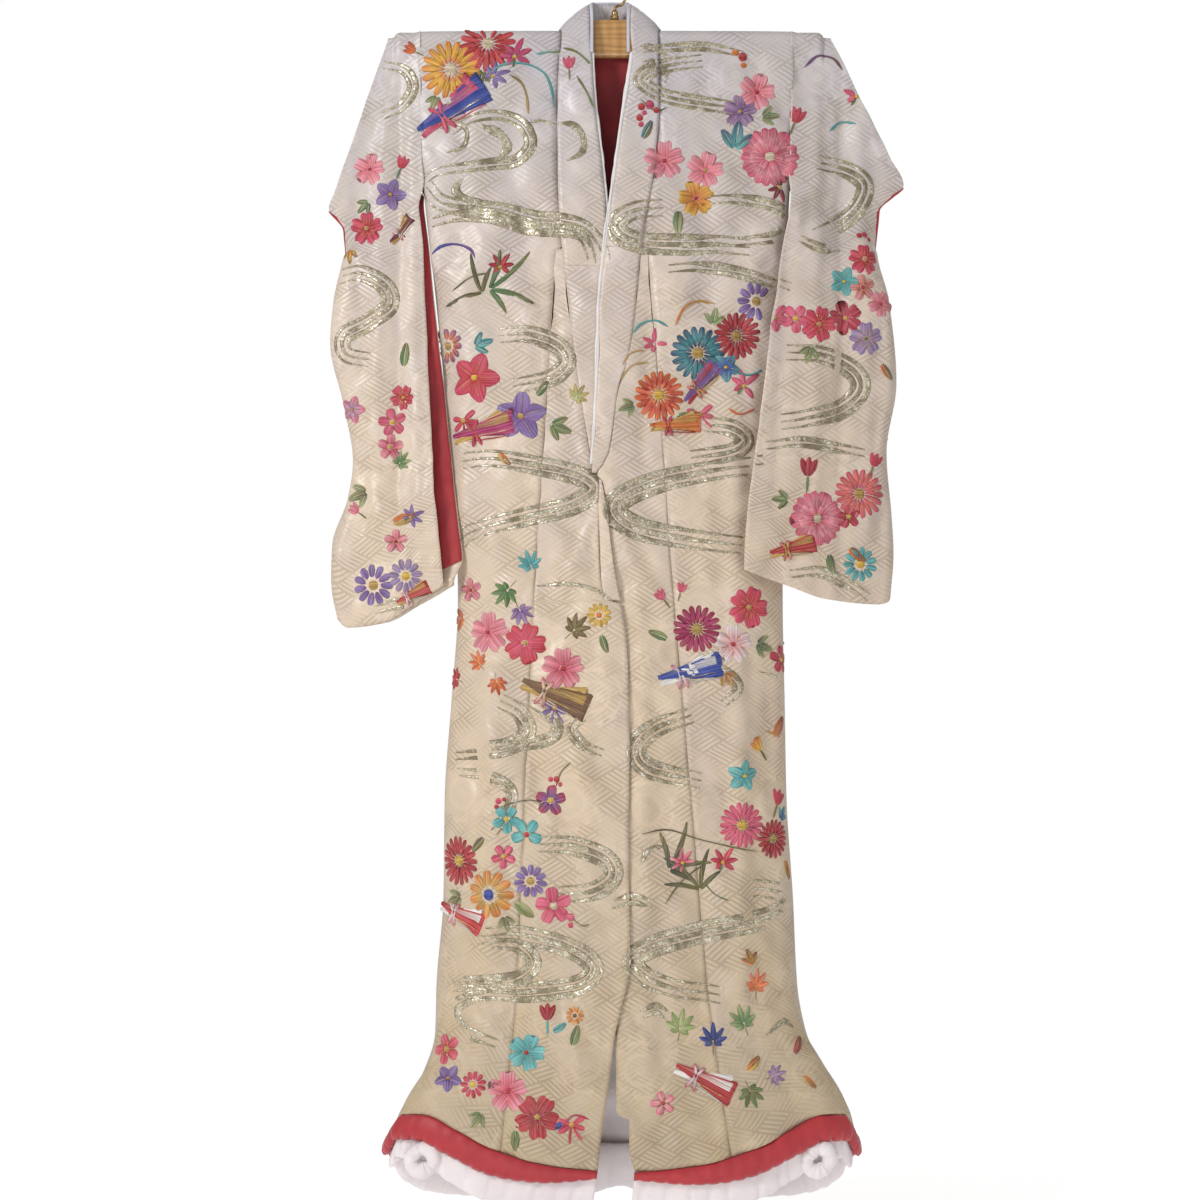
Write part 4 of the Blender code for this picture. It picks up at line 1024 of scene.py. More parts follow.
CREASE_GAIN = 1.5
FRONT_CREASES = [photo_crease(*row) for row in (
    (470, 160, 462, 560, 16, 3.0), (500, 470, 486, 1010, 20, 3.2), (545, 600, 530, 1080, 16, -2.6),
    (580, 640, 575, 1110, 14, 2.4), (460, 640, 448, 1060, 15, -2.4), (520, 190, 545, 420, 13, -2.2),
    (590, 530, 600, 900, 10, -1.6), (640, 560, 650, 1120, 16, 2.8), (690, 470, 697, 1090, 18, -2.8),
    (735, 300, 742, 1050, 17, 3.2), (768, 620, 776, 1060, 13, -2.2), (700, 170, 712, 430, 14, -2.0),
    (760, 190, 750, 420, 15, 2.4), (655, 250, 640, 470, 11, -1.8), (560, 300, 590, 480, 9, 2.0),
    (600, 500, 520, 640, 12, -1.6), (610, 495, 690, 640, 12, -1.8), (604, 488, 560, 600, 8, 1.7),
    (612, 488, 640, 620, 9, 1.8), (450, 1090, 600, 1140, 7, 1.8), (455, 1068, 560, 1098, 8, -1.6),
    (470, 1118, 590, 1158, 6, -1.5), (420, 1100, 470, 1126, 6, 1.4), (640, 1145, 760, 1108, 6, 1.7),
    (650, 1122, 790, 1078, 8, -1.6), (780, 1095, 835, 1080, 6, 1.4), (700, 1125, 800, 1092, 5, -1.3),
    (640, 1160, 700, 1142, 5, 1.3), (430, 210, 500, 172, 10, 1.6), (780, 205, 720, 172, 10, 1.6),
    (560, 60, 500, 40, 7, -1.0), (670, 60, 730, 40, 7, -1.0), (480, 60, 470, 150, 12, 1.6),
    (740, 60, 745, 160, 12, 1.6),
)]
BACK_CREASES = [Crease((x0, z0), (x1, z1), width / 1000, height / 1000) for x0, z0, x1, z1, width,
                height in (
    (-0.2, -0.25, -0.17, -1.05, 22, 3.2), (-0.12, -0.5, -0.13, -1.6, 20, -3.0),
    (-0.06, -0.18, -0.05, -0.95, 16, -2.2),
    (0.05, -0.6, 0.07, -1.65, 18, 3.0), (0.12, -0.2, 0.13, -0.9, 18, -2.6),
    (0.19, -0.45, 0.18, -1.45, 20, 3.2),
    (-0.22, -1.05, -0.24, -1.7, 16, -2.6), (-0.08, -1.1, -0.1, -1.8, 16, 2.8),
    (0.14, -1.1, 0.17, -1.75, 15, -2.8),
    (0.24, -1.15, 0.28, -1.72, 13, 2.4), (-0.25, -1.82, -0.05, -1.85, 9, 1.8),
    (0.02, -1.84, 0.24, -1.8, 9, 1.8),
    (-0.28, -1.76, -0.12, -1.8, 10, -1.7), (0.1, -1.77, 0.3, -1.74, 10, -1.7),
    (-0.08, -0.14, -0.2, -0.22, 10, 1.8), (0.08, -0.14, 0.19, -0.22, 10, 1.8),
)]
SLEEVE_CREASES = {
    "left": [photo_crease(*row) for row in (
        (398, 60, 396, 590, 9, -3.4), (382, 90, 372, 560, 12, 3.2), (410, 120, 418, 585, 10, 2.6),
        (352, 180, 358, 330, 11, -2.2), (345, 330, 372, 470, 11, 2.0), (350, 240, 385, 300, 10, 1.6),
        (360, 520, 440, 560, 10, -1.8), (345, 590, 420, 560, 9, 1.8), (372, 40, 345, 180, 9, 1.8),
        (335, 215, 390, 330, 9, 1.6), (432, 300, 445, 560, 8, 2.0), (405, 480, 350, 560, 9, 1.5),
    )],
    "right": [photo_crease(*row) for row in (
        (845, 60, 842, 590, 9, -3.4), (862, 110, 872, 560, 12, 3.0), (820, 60, 812, 570, 12, 2.8),
        (792, 200, 772, 560, 10, -2.4), (885, 200, 884, 330, 9, -2.0), (890, 400, 860, 560, 10, 1.8),
        (780, 540, 870, 580, 9, -1.8), (800, 300, 780, 480, 9, 1.8), (850, 45, 890, 170, 9, 1.8),
        (760, 500, 800, 590, 9, 1.6), (878, 210, 850, 320, 9, 1.5),
    )],
}


class Ripples:
    """Small uneven waves that keep hanging silk from being flat, the same at each run."""

    def __init__(self, seed: int, count: int = 26) -> None:
        """Draws the waves.

        Args:
            seed: fixes the drawing.
            count: how many there are.
        """
        source = np.random.default_rng(seed)
        self.length = source.uniform(0.018, 0.11, count)
        angle = source.uniform(-0.9, 0.9, count) + np.where(source.uniform(size=count) < 0.65, 0.0,
                                                            np.pi / 2)
        self.way = np.stack([np.cos(angle), np.sin(angle)], axis=1) * (2 * np.pi / self.length)[:, None]
        self.phase = source.uniform(0, 2 * np.pi, count)
        self.size = 0.0042 * self.length / 0.11 * source.uniform(0.3, 1.0, count)

    def raise_at(self, x: np.ndarray, z: np.ndarray) -> np.ndarray:
        """How far they lift the cloth at each place."""
        total = np.zeros_like(x)
        for way, phase, size in zip(self.way, self.phase, self.size):
            total += size * np.sin(way[0] * x + way[1] * z + phase)
        return total / 2.6


def creased(grid: np.ndarray, creases: Sequence[Crease], ripples: Ripples,
            edge: "np.ndarray | float" = 1.0) -> np.ndarray:
    """A grid moved along its normals by its creases and ripples.

    Args:
        grid: the smooth cloth.
        creases: those placed by hand.
        ripples: the small waves.
        edge: how much of both is left at each point.

    Returns:
        The creased grid.
    """
    x, z = grid[..., 0], grid[..., 2]
    lift = ripples.raise_at(x, z)
    for crease in creases:
        lift = lift + crease.raise_at(x, z)
    normal = normals_of(grid)
    normal *= np.sign(normal[..., 1:2] * (-1 if grid[..., 1].mean() < 0 else 1) + 1e-9)
    facing = np.clip(abs(normal[..., 1]) * 1.4 - 0.3, 0, 1)
    return grid + normal * (lift * edge * facing)[..., None]


def away_from_top(grid: np.ndarray, calm: float = 0.05) -> np.ndarray:
    """0 on the shoulder fold, 1 a little below it."""
    return soft_step((SHOULDER_Z - grid[..., 2]) / calm)


def seam_dip(count: int, width: float, left: bool = True, right: bool = True,
             depth: float = 0.0004) -> np.ndarray:
    """How far each column of a piece sinks beside its sewn edges."""
    where = np.linspace(0, width, count)
    dip = np.zeros(count)
    if left:
        dip += np.exp(-((where / 0.0035) ** 2))
    if right:
        dip += np.exp(-(((width - where) / 0.0035) ** 2))
    return -depth * dip


class Dresser:
    """Gives pieces their finish and body, and hides the solids that they stand for."""

    @staticmethod
    def dress(piece: bpy.types.Object, finish: Finishes, *nodes: str) -> bpy.types.Object:
        """Finishes a piece.

        Args:
            piece: the piece, in place.
            finish: what it is made of.
            nodes: the solids that it replaces.

        Returns:
            The piece.
        """
        if not piece.data.materials:
            piece.data.materials.append(finish.value.material())
        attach(piece, "root")
        if nodes:
            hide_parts(*nodes)
        log.info("%s: %d faces", piece.name, len(piece.data.polygons))
        return piece


@dataclass
class Body:
    """The four main body panels, the two overlap panels and what lines them."""

    main_columns: int = 38
    panel_columns: int = 24
    back_columns: int = 43
    ripples: Ripples = field(default_factory=lambda: Ripples(7))
    back_ripples: Ripples = field(default_factory=lambda: Ripples(19))
    outer: "list[bpy.types.Object]" = field(default_factory=list)

    def front_main(self, side: str) -> np.ndarray:
        """The grid of a front's main panel, from the shoulder fold to the hem."""
        sign = 1 if side == "left" else -1
        lines = LINES[side]
        levels = levels_between(SHOULDER_Z - FOLD_RADIUS, HEM_Z)
        column = np.where(levels > OVERLAP_TOP + 0.001, lines.at("collar", levels),
                          lines.at("okumi", levels))
        tucked = 0.0035 * soft_step((levels + 0.135) / 0.015)
        inner = turn_of(column + sign * (tucked - SEAM_GAP), levels)
        share = np.linspace(0, 1, self.main_columns)
        turns = -sign * np.pi / 2 * (1 - share) + inner[:, None] * share
        level = np.repeat(levels[:, None], self.main_columns, axis=1)
        grid = lifted(body_points(turns, level, -1), level, side)
        grid[..., 1] -= seam_dip(self.main_columns, 0.21, left=False)
        grid[:, 0] += (0.0012 * sign, 0.0032, 0)
        return np.array(fold_rows(grid[0], -1) + list(grid))

    def front_panel(self, side: str) -> np.ndarray:
        """The grid of an overlap panel, between its seam and the collar or the front edge."""
        sign = 1 if side == "left" else -1
        levels = levels_between(OVERLAP_TOP, HEM_Z)
        outer = LINES[side].at("okumi", levels) + sign * SEAM_GAP
        inner = LINES[side].at("collar", levels) - sign * SEAM_GAP
        share = np.linspace(0, 1, self.panel_columns)
        x = outer[:, None] * (1 - share) + inner[:, None] * share
        level = np.repeat(levels[:, None], self.panel_columns, axis=1)
        grid = lifted(body_points(turn_of(x, level), level, -1), level, side)
        grid[..., 1] -= seam_dip(self.panel_columns, 0.12)
        return grid

    def back_half(self, side: str, columns: int, levels: np.ndarray) -> np.ndarray:
        """The grid of one half of the back, from the side seam to the middle."""
        sign = -1 if side == "left" else 1
        share = np.linspace(0, 1, columns)
        inner = turn_of(np.full_like(levels, sign * SEAM_GAP), levels)
        turns = sign * np.pi / 2 * (1 - share) + inner[:, None] * share
        return body_points(turns, np.repeat(levels[:, None], columns, axis=1), 1)

    def inner_wall(self, name: str, top: float, foot: float, reach: float,
                   thickness: float) -> bpy.types.Object:
        """A wall inside the back, which follows both its halves."""
        levels = levels_between(top, foot)
        left = self.back_half("left", self.back_columns, levels)
        right = self.back_half("right", self.back_columns, levels)
        grid = np.concatenate([left[:, :-1], right[:, ::-1]], axis=1)
        grid = creased(grid, BACK_CREASES, self.back_ripples, away_from_top(grid))
        normal = normals_of(grid)
        normal *= np.sign(-normal[..., 1:2])
        grid = grid + normal * ((SILK + thickness) / 2 + LINING_GAP + 0.0006)
        skip = int(self.back_columns * (1 - reach))
        return shell(name, grid[:, skip:-skip], thickness)

    def build(self) -> None:
        """Makes every panel."""
        for side in ("left", "right"):
            grid = self.front_main(side)
            grid = creased(grid, FRONT_CREASES, self.ripples, away_from_top(grid))
            piece = shell(f"cloth_front_{side}", grid, SILK, (0.013, 0.02 if side == "left" else 0.0))
            Dresser.dress(piece, Finishes.DAMASK, f"front_{side}")
            self.outer.append(piece)
            grid = creased(self.front_panel(side), FRONT_CREASES, self.ripples)
            piece = shell(f"cloth_overlap_{side}", grid, SILK, (0.11, 0.047))
            Dresser.dress(piece, Finishes.DAMASK, f"overlap_panel_{side}")
            self.outer.append(piece)
            levels = levels_between(SHOULDER_Z - FOLD_RADIUS, HEM_Z)
            grid = self.back_half(side, self.back_columns, levels)
            grid[..., 1] += seam_dip(self.back_columns, 0.3, left=False, depth=0.0007)
            grid = np.array(fold_rows(grid[0], 1) + list(grid))
            grid = creased(grid, BACK_CREASES, self.back_ripples, away_from_top(grid))
            piece = shell(f"cloth_back_{side}", grid, SILK, (0.04, 0.09))
            Dresser.dress(piece, Finishes.DAMASK, f"back_{side}")
            self.outer.append(piece)
        lining = self.inner_wall("cloth_back_lining", -0.105, -0.66, 0.78, LINING)
        Dresser.dress(lining, Finishes.RED, "back_lining")
        facing = self.inner_wall("padded_back_facing", -1.46, -1.862, 0.72, 0.003)
        Dresser.dress(facing, Finishes.WHITE, "inner_layer_back")


@dataclass
class Collar:
    """The collar down both fronts and round the neck, its over-collar and its white edging."""

    columns: int = 12
    outer: "list[bpy.types.Object]" = field(default_factory=list)

    def stand(self, level: np.ndarray, share: np.ndarray) -> np.ndarray:
        """How far the collar stands off the front near the neck, more towards its free edge."""
        return COLLAR_PROUD + soft_step((level + 0.22) / 0.12) * (COLLAR_STAND + COLLAR_ROLL * share)

    def strip(self, side: str, levels: np.ndarray, low: float, high: float, columns: int,
              out: float = 0.0) -> np.ndarray:
        """A grid beside the front's edge.

        Args:
            side: left or right.
            levels: the heights of its rows.
            low: where it starts, as a share of the collar's width.
            high: where it ends.
            columns: how many points lie across it.
            out: how far it lies on the collar.

        Returns:
            The grid.
        """
        sign = 1 if side == "left" else -1
        seam = LINES[side].at("collar", levels)[:, None] + sign * SEAM_GAP
        edge = LINES[side].at("edge", levels)[:, None]
        share = np.linspace(low, high, columns)
        x = seam + (edge - seam) * share
        level = np.repeat(levels[:, None], columns, axis=1)
        crown = 0.0012 * np.sin(np.pi * np.clip(share, 0, 1)) ** 0.6
        return lifted(body_points(turn_of(x, level), level, -1), level, side,
                      self.stand(level, share) + crown + out)

    def neck(self, part_low: float, part_high: float, columns: int, out: float) -> np.ndarray:
        """A grid round the back of the neck, between the seam (0) and the free edge (1)."""
        rows = []
        for along in np.linspace(-1, 1, 97):
            sign = 1 if along > 0 else -1
            seam, free = [
                np.array([
                    sign * float(NECK.at(f"{part}_x", abs(along))) + NECK_X,
                    float(NECK.at(f"{part}_y", abs(along))), float(NECK.at(f"{part}_z", abs(along))),
                ])
                for part in ("seam", "free")
            ]
            side = math.copysign(min(abs(along) * 8, 1), along)
            bulge = np.array([side * 0.004, 0.0, 0.003])
            share = np.linspace(part_low, part_high, columns)[:, None]
            rows.append(seam + (free - seam) * share + bulge * 4 * share * (1 - share)
                        + np.array([0, 0, out]))
        return np.array(rows)

    def build(self, ripples: Ripples) -> None:
        """Makes the collar and its edging."""
        for side in ("left", "right"):
            levels = levels_between(COLLAR_TOP, COLLAR_FOOT[side], 0.004)
            grid = creased(self.strip(side, levels, 0, 1, self.columns), FRONT_CREASES, ripples, 0.7)
            piece = shell(f"cloth_collar_{side}", grid, COLLAR, (0.0, 0.3))
            Dresser.dress(piece, Finishes.COLLAR_SILK, f"collar_{side}")
            self.outer.append(piece)
            self.edging(side, ripples)
        piece = shell("cloth_over_collar", self.over_collar(ripples), 0.0016, (0.03, 0.11))
        Dresser.dress(piece, Finishes.COLLAR_SILK, "collar_back")
        self.outer.append(piece)
        piece = shell("white_neck_edging", self.neck(1.015, 1.09, 5, -0.0004), 0.002)
        Dresser.dress(piece, Finishes.INNER_WHITE, "white_edging_back")

    def over_collar(self, ripples: Ripples) -> np.ndarray:
        """The grid of the over-collar, which runs up one front, round the neck and down the other."""
        left, right = [
            creased(
                self.strip(side, levels_between(COLLAR_TOP - 0.004, OVER_COLLAR_FOOT[side], 0.004), 0.01,
                           0.995, self.columns, 0.0019),
                FRONT_CREASES, ripples, 0.7,
            )
            for side in ("left", "right")
        ]
        neck = self.neck(0.01, 0.995, self.columns, 0.0)[2:-2]
        grid = np.concatenate([left[::-1], neck, right])
        for _ in range(5):
            for join in (len(left), len(left) + len(neck)):
                near = slice(join - 7, join + 7)
                grid[near] = (grid[join - 8:join + 6] + 2 * grid[near] + grid[join - 6:join + 8]) / 4
        return grid

    def edging(self, side: str, ripples: Ripples) -> None:
        """The white edge that shows beside a front's collar, as a rounded roll."""
        levels = levels_between(COLLAR_TOP, EDGING_FOOT[side], 0.004)
        sign = 1 if side == "left" else -1
        edge = LINES[side].at("edge", levels)
        width = EDGING.at(side, levels)
        middle = edge + sign * (SEAM_GAP + width / 2)
        level = levels[:, None]
        centre = lifted(body_points(turn_of(middle, levels), levels, -1), levels, side,
                        self.stand(levels, 1.0))
        angle = np.linspace(0, 2 * np.pi, 14, endpoint=False)
        grid = centre[:, None, :].repeat(14, axis=1)
        grid[..., 0] += (width / 2)[:, None] * np.cos(angle)
        grid[..., 1] += 0.0015 * np.sin(angle) + 0.0002 * np.sin(level * 420)
        piece = tube(f"white_edging_roll_{side}", creased(grid, FRONT_CREASES, ripples, 0.7))
        Dresser.dress(piece, Finishes.EDGING, f"white_edging_{side}")


@dataclass
class Sleeve:
    """A long sleeve: a front and a back layer, sewn below the cuff and open at the inner edge."""

    side: str
    columns: int = 64
    outer: "list[bpy.types.Object]" = field(default_factory=list)

    def build(self) -> None:
        """Makes both layers, the cuff's facing and, where it shows, the lining."""
        side = self.side
        ripples = Ripples(31 if side == "left" else 43)
        levels = levels_between(SHOULDER_Z - FOLD_RADIUS, SLEEVES[side].rows[0, 0])
        shares = np.concatenate([np.linspace(0, 0.5, self.columns // 2),
                                 np.linspace(0.5, 1, self.columns // 2 + 1)[1:]])
        for layer, face in (("front", -1), ("back", 1)):
            grid = sleeve_grid(side, layer, levels, shares)
            grid = self.joined(grid, levels, shares, layer)
            grid = np.array(self.top_rows(grid[0], face) + list(grid))
            calm = away_from_top(grid, 0.06) * (0.8 if layer == "front" else 0.5)
            grid = self.creased_layer(grid, SLEEVE_CREASES[side], ripples, calm)
            piece = shell(f"cloth_sleeve_{side}_{layer}", grid, SILK,
                          (0.07 if layer == "front" else 0.21, 0.0))
            Dresser.dress(piece, Finishes.DAMASK, f"sleeve_{side}_{layer}")
            self.outer.append(piece)
            self.cuff(layer)
        if side == "left":
            self.lining()

    def joined(self, grid: np.ndarray, levels: np.ndarray, shares: np.ndarray, layer: str) -> np.ndarray:
        """Brings a layer's inner edge onto the body's edge, from the shoulder down to the armhole's end."""
        sign = 1 if self.side == "left" else -1
        inner = SLEEVES[self.side].at(f"{layer}_x", levels)
        open_width = sign * (BODY.at(self.side, levels) - inner) + 0.0026
        near = soft_step((levels + 0.362) / 0.05)[:, None] * (1 - soft_step(shares / 0.1))
        moved = grid.copy()
        moved[..., 0] += sign * open_width[:, None] * near
        moved[..., 1] += (-0.0016 if layer == "front" else 0.0016) * near
        return moved

    def top_rows(self, row: np.ndarray, face: int) -> "list[np.ndarray]":
        """The rows over the shoulder fold, down to the first row."""
        rows = []
        depth = abs(row[:, 1])
        for share in np.linspace(1, 0, 9)[:-1]:
            turn = math.pi / 2 * share
            rows.append(np.stack([row[:, 0], face * depth * np.cos(turn), row[:, 2] + depth * np.sin(turn)],
                                 axis=1))
        return rows

    def creased_layer(self, grid: np.ndarray, creases: Sequence[Crease], ripples: Ripples,
                      calm: np.ndarray) -> np.ndarray:
        """Both layers move the same way, so that they never cross."""
        x, z = grid[..., 0], grid[..., 2]
        lift = ripples.raise_at(x, z)
        for crease in creases:
            lift = lift + crease.raise_at(x, z)
        normal = normals_of(grid)
        flip = np.sign(-normal[len(normal) // 2, 3, 1])
        facing = np.clip(abs(normal[..., 1]) * 1.5 - 0.4, 0, 1)
        return grid + normal * flip * (lift * calm * facing)[..., None]

    def cuff(self, layer: str) -> None:
        """The red facing that edges the cuff, rolled round the layer's end."""
        tip = TIP_Z[self.side]
        levels = levels_between(tip - 0.004, tip - CUFF_HEIGHT, 0.004)
        last = sleeve_grid(self.side, layer, levels, np.array([0.985, 1.0]))
        step = last[:, 1] - last[:, 0]
        step /= np.linalg.norm(step, axis=1, keepdims=True)
        centre = last[:, 1] + step * 0.0012
        angle = np.linspace(0, 2 * np.pi, 12, endpoint=False)
        side = np.cross(step, [0, 0, 1.0])
        side /= np.linalg.norm(side, axis=1, keepdims=True)
        fade = np.minimum(1, np.minimum(np.arange(len(levels)),
                                        np.arange(len(levels))[::-1]) / 3 + 0.25)[:, None, None]
        round_it = (0.0032 * np.cos(angle)[None, :, None] * step[:, None]
                    + 0.0015 * np.sin(angle)[None, :, None] * side[:, None])
        rings = centre[:, None] + fade * round_it
        piece = tube(f"red_cuff_{self.side}_{layer}", rings)
        Dresser.dress(piece, Finishes.RED_HEM, f"cuff_{self.side}_{layer}")

    def lining(self) -> None:
        """The crimson lining that shows in the open inner edge, inside the back layer."""
        levels = levels_between(-0.26, -0.985)
        grid = sleeve_grid("left", "back", levels, np.linspace(0.004, 0.34, 20))
        grid = self.creased_layer(grid, SLEEVE_CREASES["left"], Ripples(31),
                                  away_from_top(grid, 0.06) * 0.5)
        normal = normals_of(grid)
        normal *= np.sign(-normal[..., 1:2])
        piece = shell("cloth_sleeve_lining_left", grid + normal * 0.0021, LINING)
        Dresser.dress(piece, Finishes.RED, "sleeve_left_lining")


THREADS = {
    "red": (0.54, 0.018, 0.024), "crimson": (0.34, 0.01, 0.028), "maroon": (0.17, 0.014, 0.026),
    "rose": (0.68, 0.055, 0.14), "pink": (0.8, 0.15, 0.235), "pale": (0.84, 0.38, 0.4),
    "magenta": (0.48, 0.02, 0.15), "purple": (0.19, 0.075, 0.3), "violet": (0.29, 0.215, 0.46),
    "navy": (0.018, 0.03, 0.115), "blue": (0.012, 0.05, 0.36), "teal": (0.04, 0.31, 0.32),
    "aqua": (0.17, 0.5, 0.48), "green": (0.06, 0.185, 0.05), "leaf": (0.23, 0.34, 0.09),
    "olive": (0.19, 0.165, 0.035), "lime": (0.43, 0.47, 0.19), "orange": (0.8, 0.2, 0.018),
    "yellow": (0.86, 0.54, 0.045), "gold": (0.6, 0.37, 0.075), "white": (0.86, 0.83, 0.78),
    "brown": (0.21, 0.09, 0.028), "salmon": (0.78, 0.2, 0.13), "cream": (0.8, 0.68, 0.47),
    "dark": (0.06, 0.058, 0.028), "mauve": (0.42, 0.26, 0.36),
}


ARMHOLE_FOOT = -0.33


@dataclass(frozen=True)
class Sight:
    """A side from which needlework is laid out: the front, or the back with the layout turned about."""

    face: int
    shift: "tuple[float, float]" = (0.0, 0.0)

    def spot(self, column: float, row: float) -> "tuple[float, float]":
        """Where a spot of the layout lies, as x and z."""
        x, z = place(column, row)
        return (x, z) if self.face < 0 else (self.shift[0] - x, z + self.shift[1])


@dataclass(frozen=True)
class Frame:
    """A place on the cloth with its outward way and the ways across and up."""

    spot: np.ndarray
    out: np.ndarray
    across: np.ndarray
    up: np.ndarray


# how far in front of the cloth a pad starts, how far it may drop, the least shares of its points
# that have to find cloth and lie level with the rest, and how deep a seam it bridges
DROP_START = 0.03
DROP_REACH = 0.065
LEAST_FOUND = 0.96
LEAST_LEVEL = 0.86
BRIDGE_DEPTH = 0.0035


class Ground:
    """The cloth that the needlework lies on, found by rays."""

    def __init__(self, cloth: "Iterable[bpy.types.Object]") -> None:
        """Gathers the cloth's faces."""
        points, faces, loose, start = [], [], [], 0
        for piece in cloth:
            mesh = piece.data
            flat = np.empty(len(mesh.vertices) * 3, np.float32)
            mesh.vertices.foreach_get("co", flat)
            points.append(flat.reshape(-1, 3))
            faces += [[number + start for number in face.vertices] for face in mesh.polygons]
            loose += ["sleeve" in piece.name] * len(mesh.polygons)
            start += len(mesh.vertices)
        self.loose = np.array(loose)
        self.tree = BVHTree.FromPolygons(np.concatenate(points).tolist(), faces)

    def seen(self, sight: Sight, x: float, z: float) -> "tuple[Vector | None, Vector | None]":
        """The first spot of cloth that a side shows over x and z, with its outward way."""
        spot, way, _, _ = self.tree.ray_cast(Vector((x, sight.face, z)), Vector((0, -sight.face, 0)), 2.0)
        return spot, way

    def frame(self, sight: Sight, x: float, z: float, reach: float = 0.01) -> "Frame | None":
        """The frame at a spot, with the cloth's way evened out over a small reach."""
        spot, _ = self.seen(sight, x, z)
        if spot is None:
            return None
        around = ((0, 0), (reach, 0), (-reach, 0), (0, reach), (0, -reach))
        ways = [self.seen(sight, x + a, z + b)[1] for a, b in around]
        out = np.array(sum((way for way in ways if way is not None), Vector()).normalized())
        across = np.array([-sight.face, 0.0, 0.0])
        across -= out * across.dot(out)
        across /= np.linalg.norm(across)
        return Frame(np.array(spot), out, across, np.cross(out, across))

    def lay(self, frame: Frame, flat: np.ndarray) -> "tuple[np.ndarray, np.ndarray] | None":
        """Drops a flat grid onto the cloth, and bridges seams.

        Args:
            frame: the place that the grid is drawn from.
            flat: its points, as distances across and up.

        Returns:
            The spots on the cloth and its outward ways there, or None where too few lie on it, and
            where it would bridge the gap between a sleeve and the body below the armhole.
        """
        start = frame.spot + frame.out * DROP_START + flat[..., :1] * frame.across + flat[..., 1:] * frame.up
        spots, ways, found = np.zeros_like(start), np.zeros_like(start), np.zeros(start.shape[:2], bool)
        on_sleeve = np.zeros(found.shape, bool)
        aim = Vector(-frame.out)
        for place_in_grid in np.ndindex(found.shape):
            spot, way, face, _ = self.tree.ray_cast(Vector(start[place_in_grid]), aim, DROP_REACH)
            if spot is not None:
                spots[place_in_grid], ways[place_in_grid], found[place_in_grid] = spot, way, True
                on_sleeve[place_in_grid] = self.loose[face]
        depth = (start - spots) @ frame.out
        if found.mean() < LEAST_FOUND:
            return None
        if frame.spot[2] < ARMHOLE_FOOT and 0.1 < on_sleeve.mean() < 0.9:
            return None
        good = found & (abs(depth - np.median(depth[found])) < 0.006 + 0.3
                        * np.ptp(flat, axis=(0, 1)).max())
        if good.mean() < LEAST_LEVEL:
            return None
        slope = np.concatenate([np.ones_like(flat[..., :1]), flat], axis=-1)
        plane = slope @ np.linalg.lstsq(slope[good], depth[good], rcond=None)[0]
        good &= abs(depth - plane) < BRIDGE_DEPTH
        spots = np.where(good[..., None], spots, start - plane[..., None] * frame.out)
        good &= ways @ frame.out > 0.6
        return spots, np.where(good[..., None], ways, frame.out)


# a pad's largest row and column, and how far its edge stands off the cloth or sinks into it
PAD_ROW = 0.0048
PAD_COLUMN = 0.0062
PAD_EDGE = 0.0006
# the distance between a ribbon's points, and the largest step in depth that it follows
RIBBON_STEP = 0.0042
RIBBON_JUMP = 0.005


@dataclass
class Basket:
    """Closed pads of thread, gathered to become one mesh."""

    points: "list[np.ndarray]" = field(default_factory=list)
    faces: "list[np.ndarray]" = field(default_factory=list)
    places: "list[np.ndarray]" = field(default_factory=list)
    colours: "list[np.ndarray]" = field(default_factory=list)
    count: int = 0

    def add(self, grid: np.ndarray, ways: np.ndarray, where: np.ndarray, colours: np.ndarray) -> None:
        """Adds a pad: its top is the grid, and its underside joins the grid's long edges."""
        rows, columns = grid.shape[:2]
        number = np.arange(rows * columns).reshape(rows, columns)
        top = grid_faces(rows, columns)
        under = np.stack([number[:-1, 0], number[1:, 0], number[1:, -1], number[:-1, -1]], axis=-1)
        fan = np.arange(1, columns - 1)
        first = np.stack([0 * fan + number[0, 0], number[0, fan + 1], number[0, fan], number[0, fan]],
                         axis=-1)
        last = np.stack([0 * fan + number[-1, 0], number[-1, fan], number[-1, fan + 1],
                         number[-1, fan + 1]], axis=-1)
        quads, fans = np.concatenate([top, under]), np.concatenate([first, last])
        i, j = rows // 2, columns // 2
        side = np.cross(grid[i, j] - grid[i, j - 1], grid[i, j] - grid[i - 1, j])
        if side.dot(ways[i, j]) < 0:
            quads, fans = quads[:, ::-1], fans[:, [2, 1, 0, 0]]
        self.faces.append(np.concatenate([quads, fans]) + self.count)
        self.points.append(grid.reshape(-1, 3))
        self.places.append(where.reshape(-1, 2))
        self.colours.append(np.broadcast_to(colours, grid.shape).reshape(-1, 3))
        self.count += rows * columns

    def mesh(self, name: str, finish: Finishes) -> None:
        """Makes the mesh, if there is anything in it."""
        if self.points:
            parts = [np.concatenate(part) for part in (self.points, self.faces, self.places, self.colours)]
            Dresser.dress(make_mesh(name, *parts), finish)


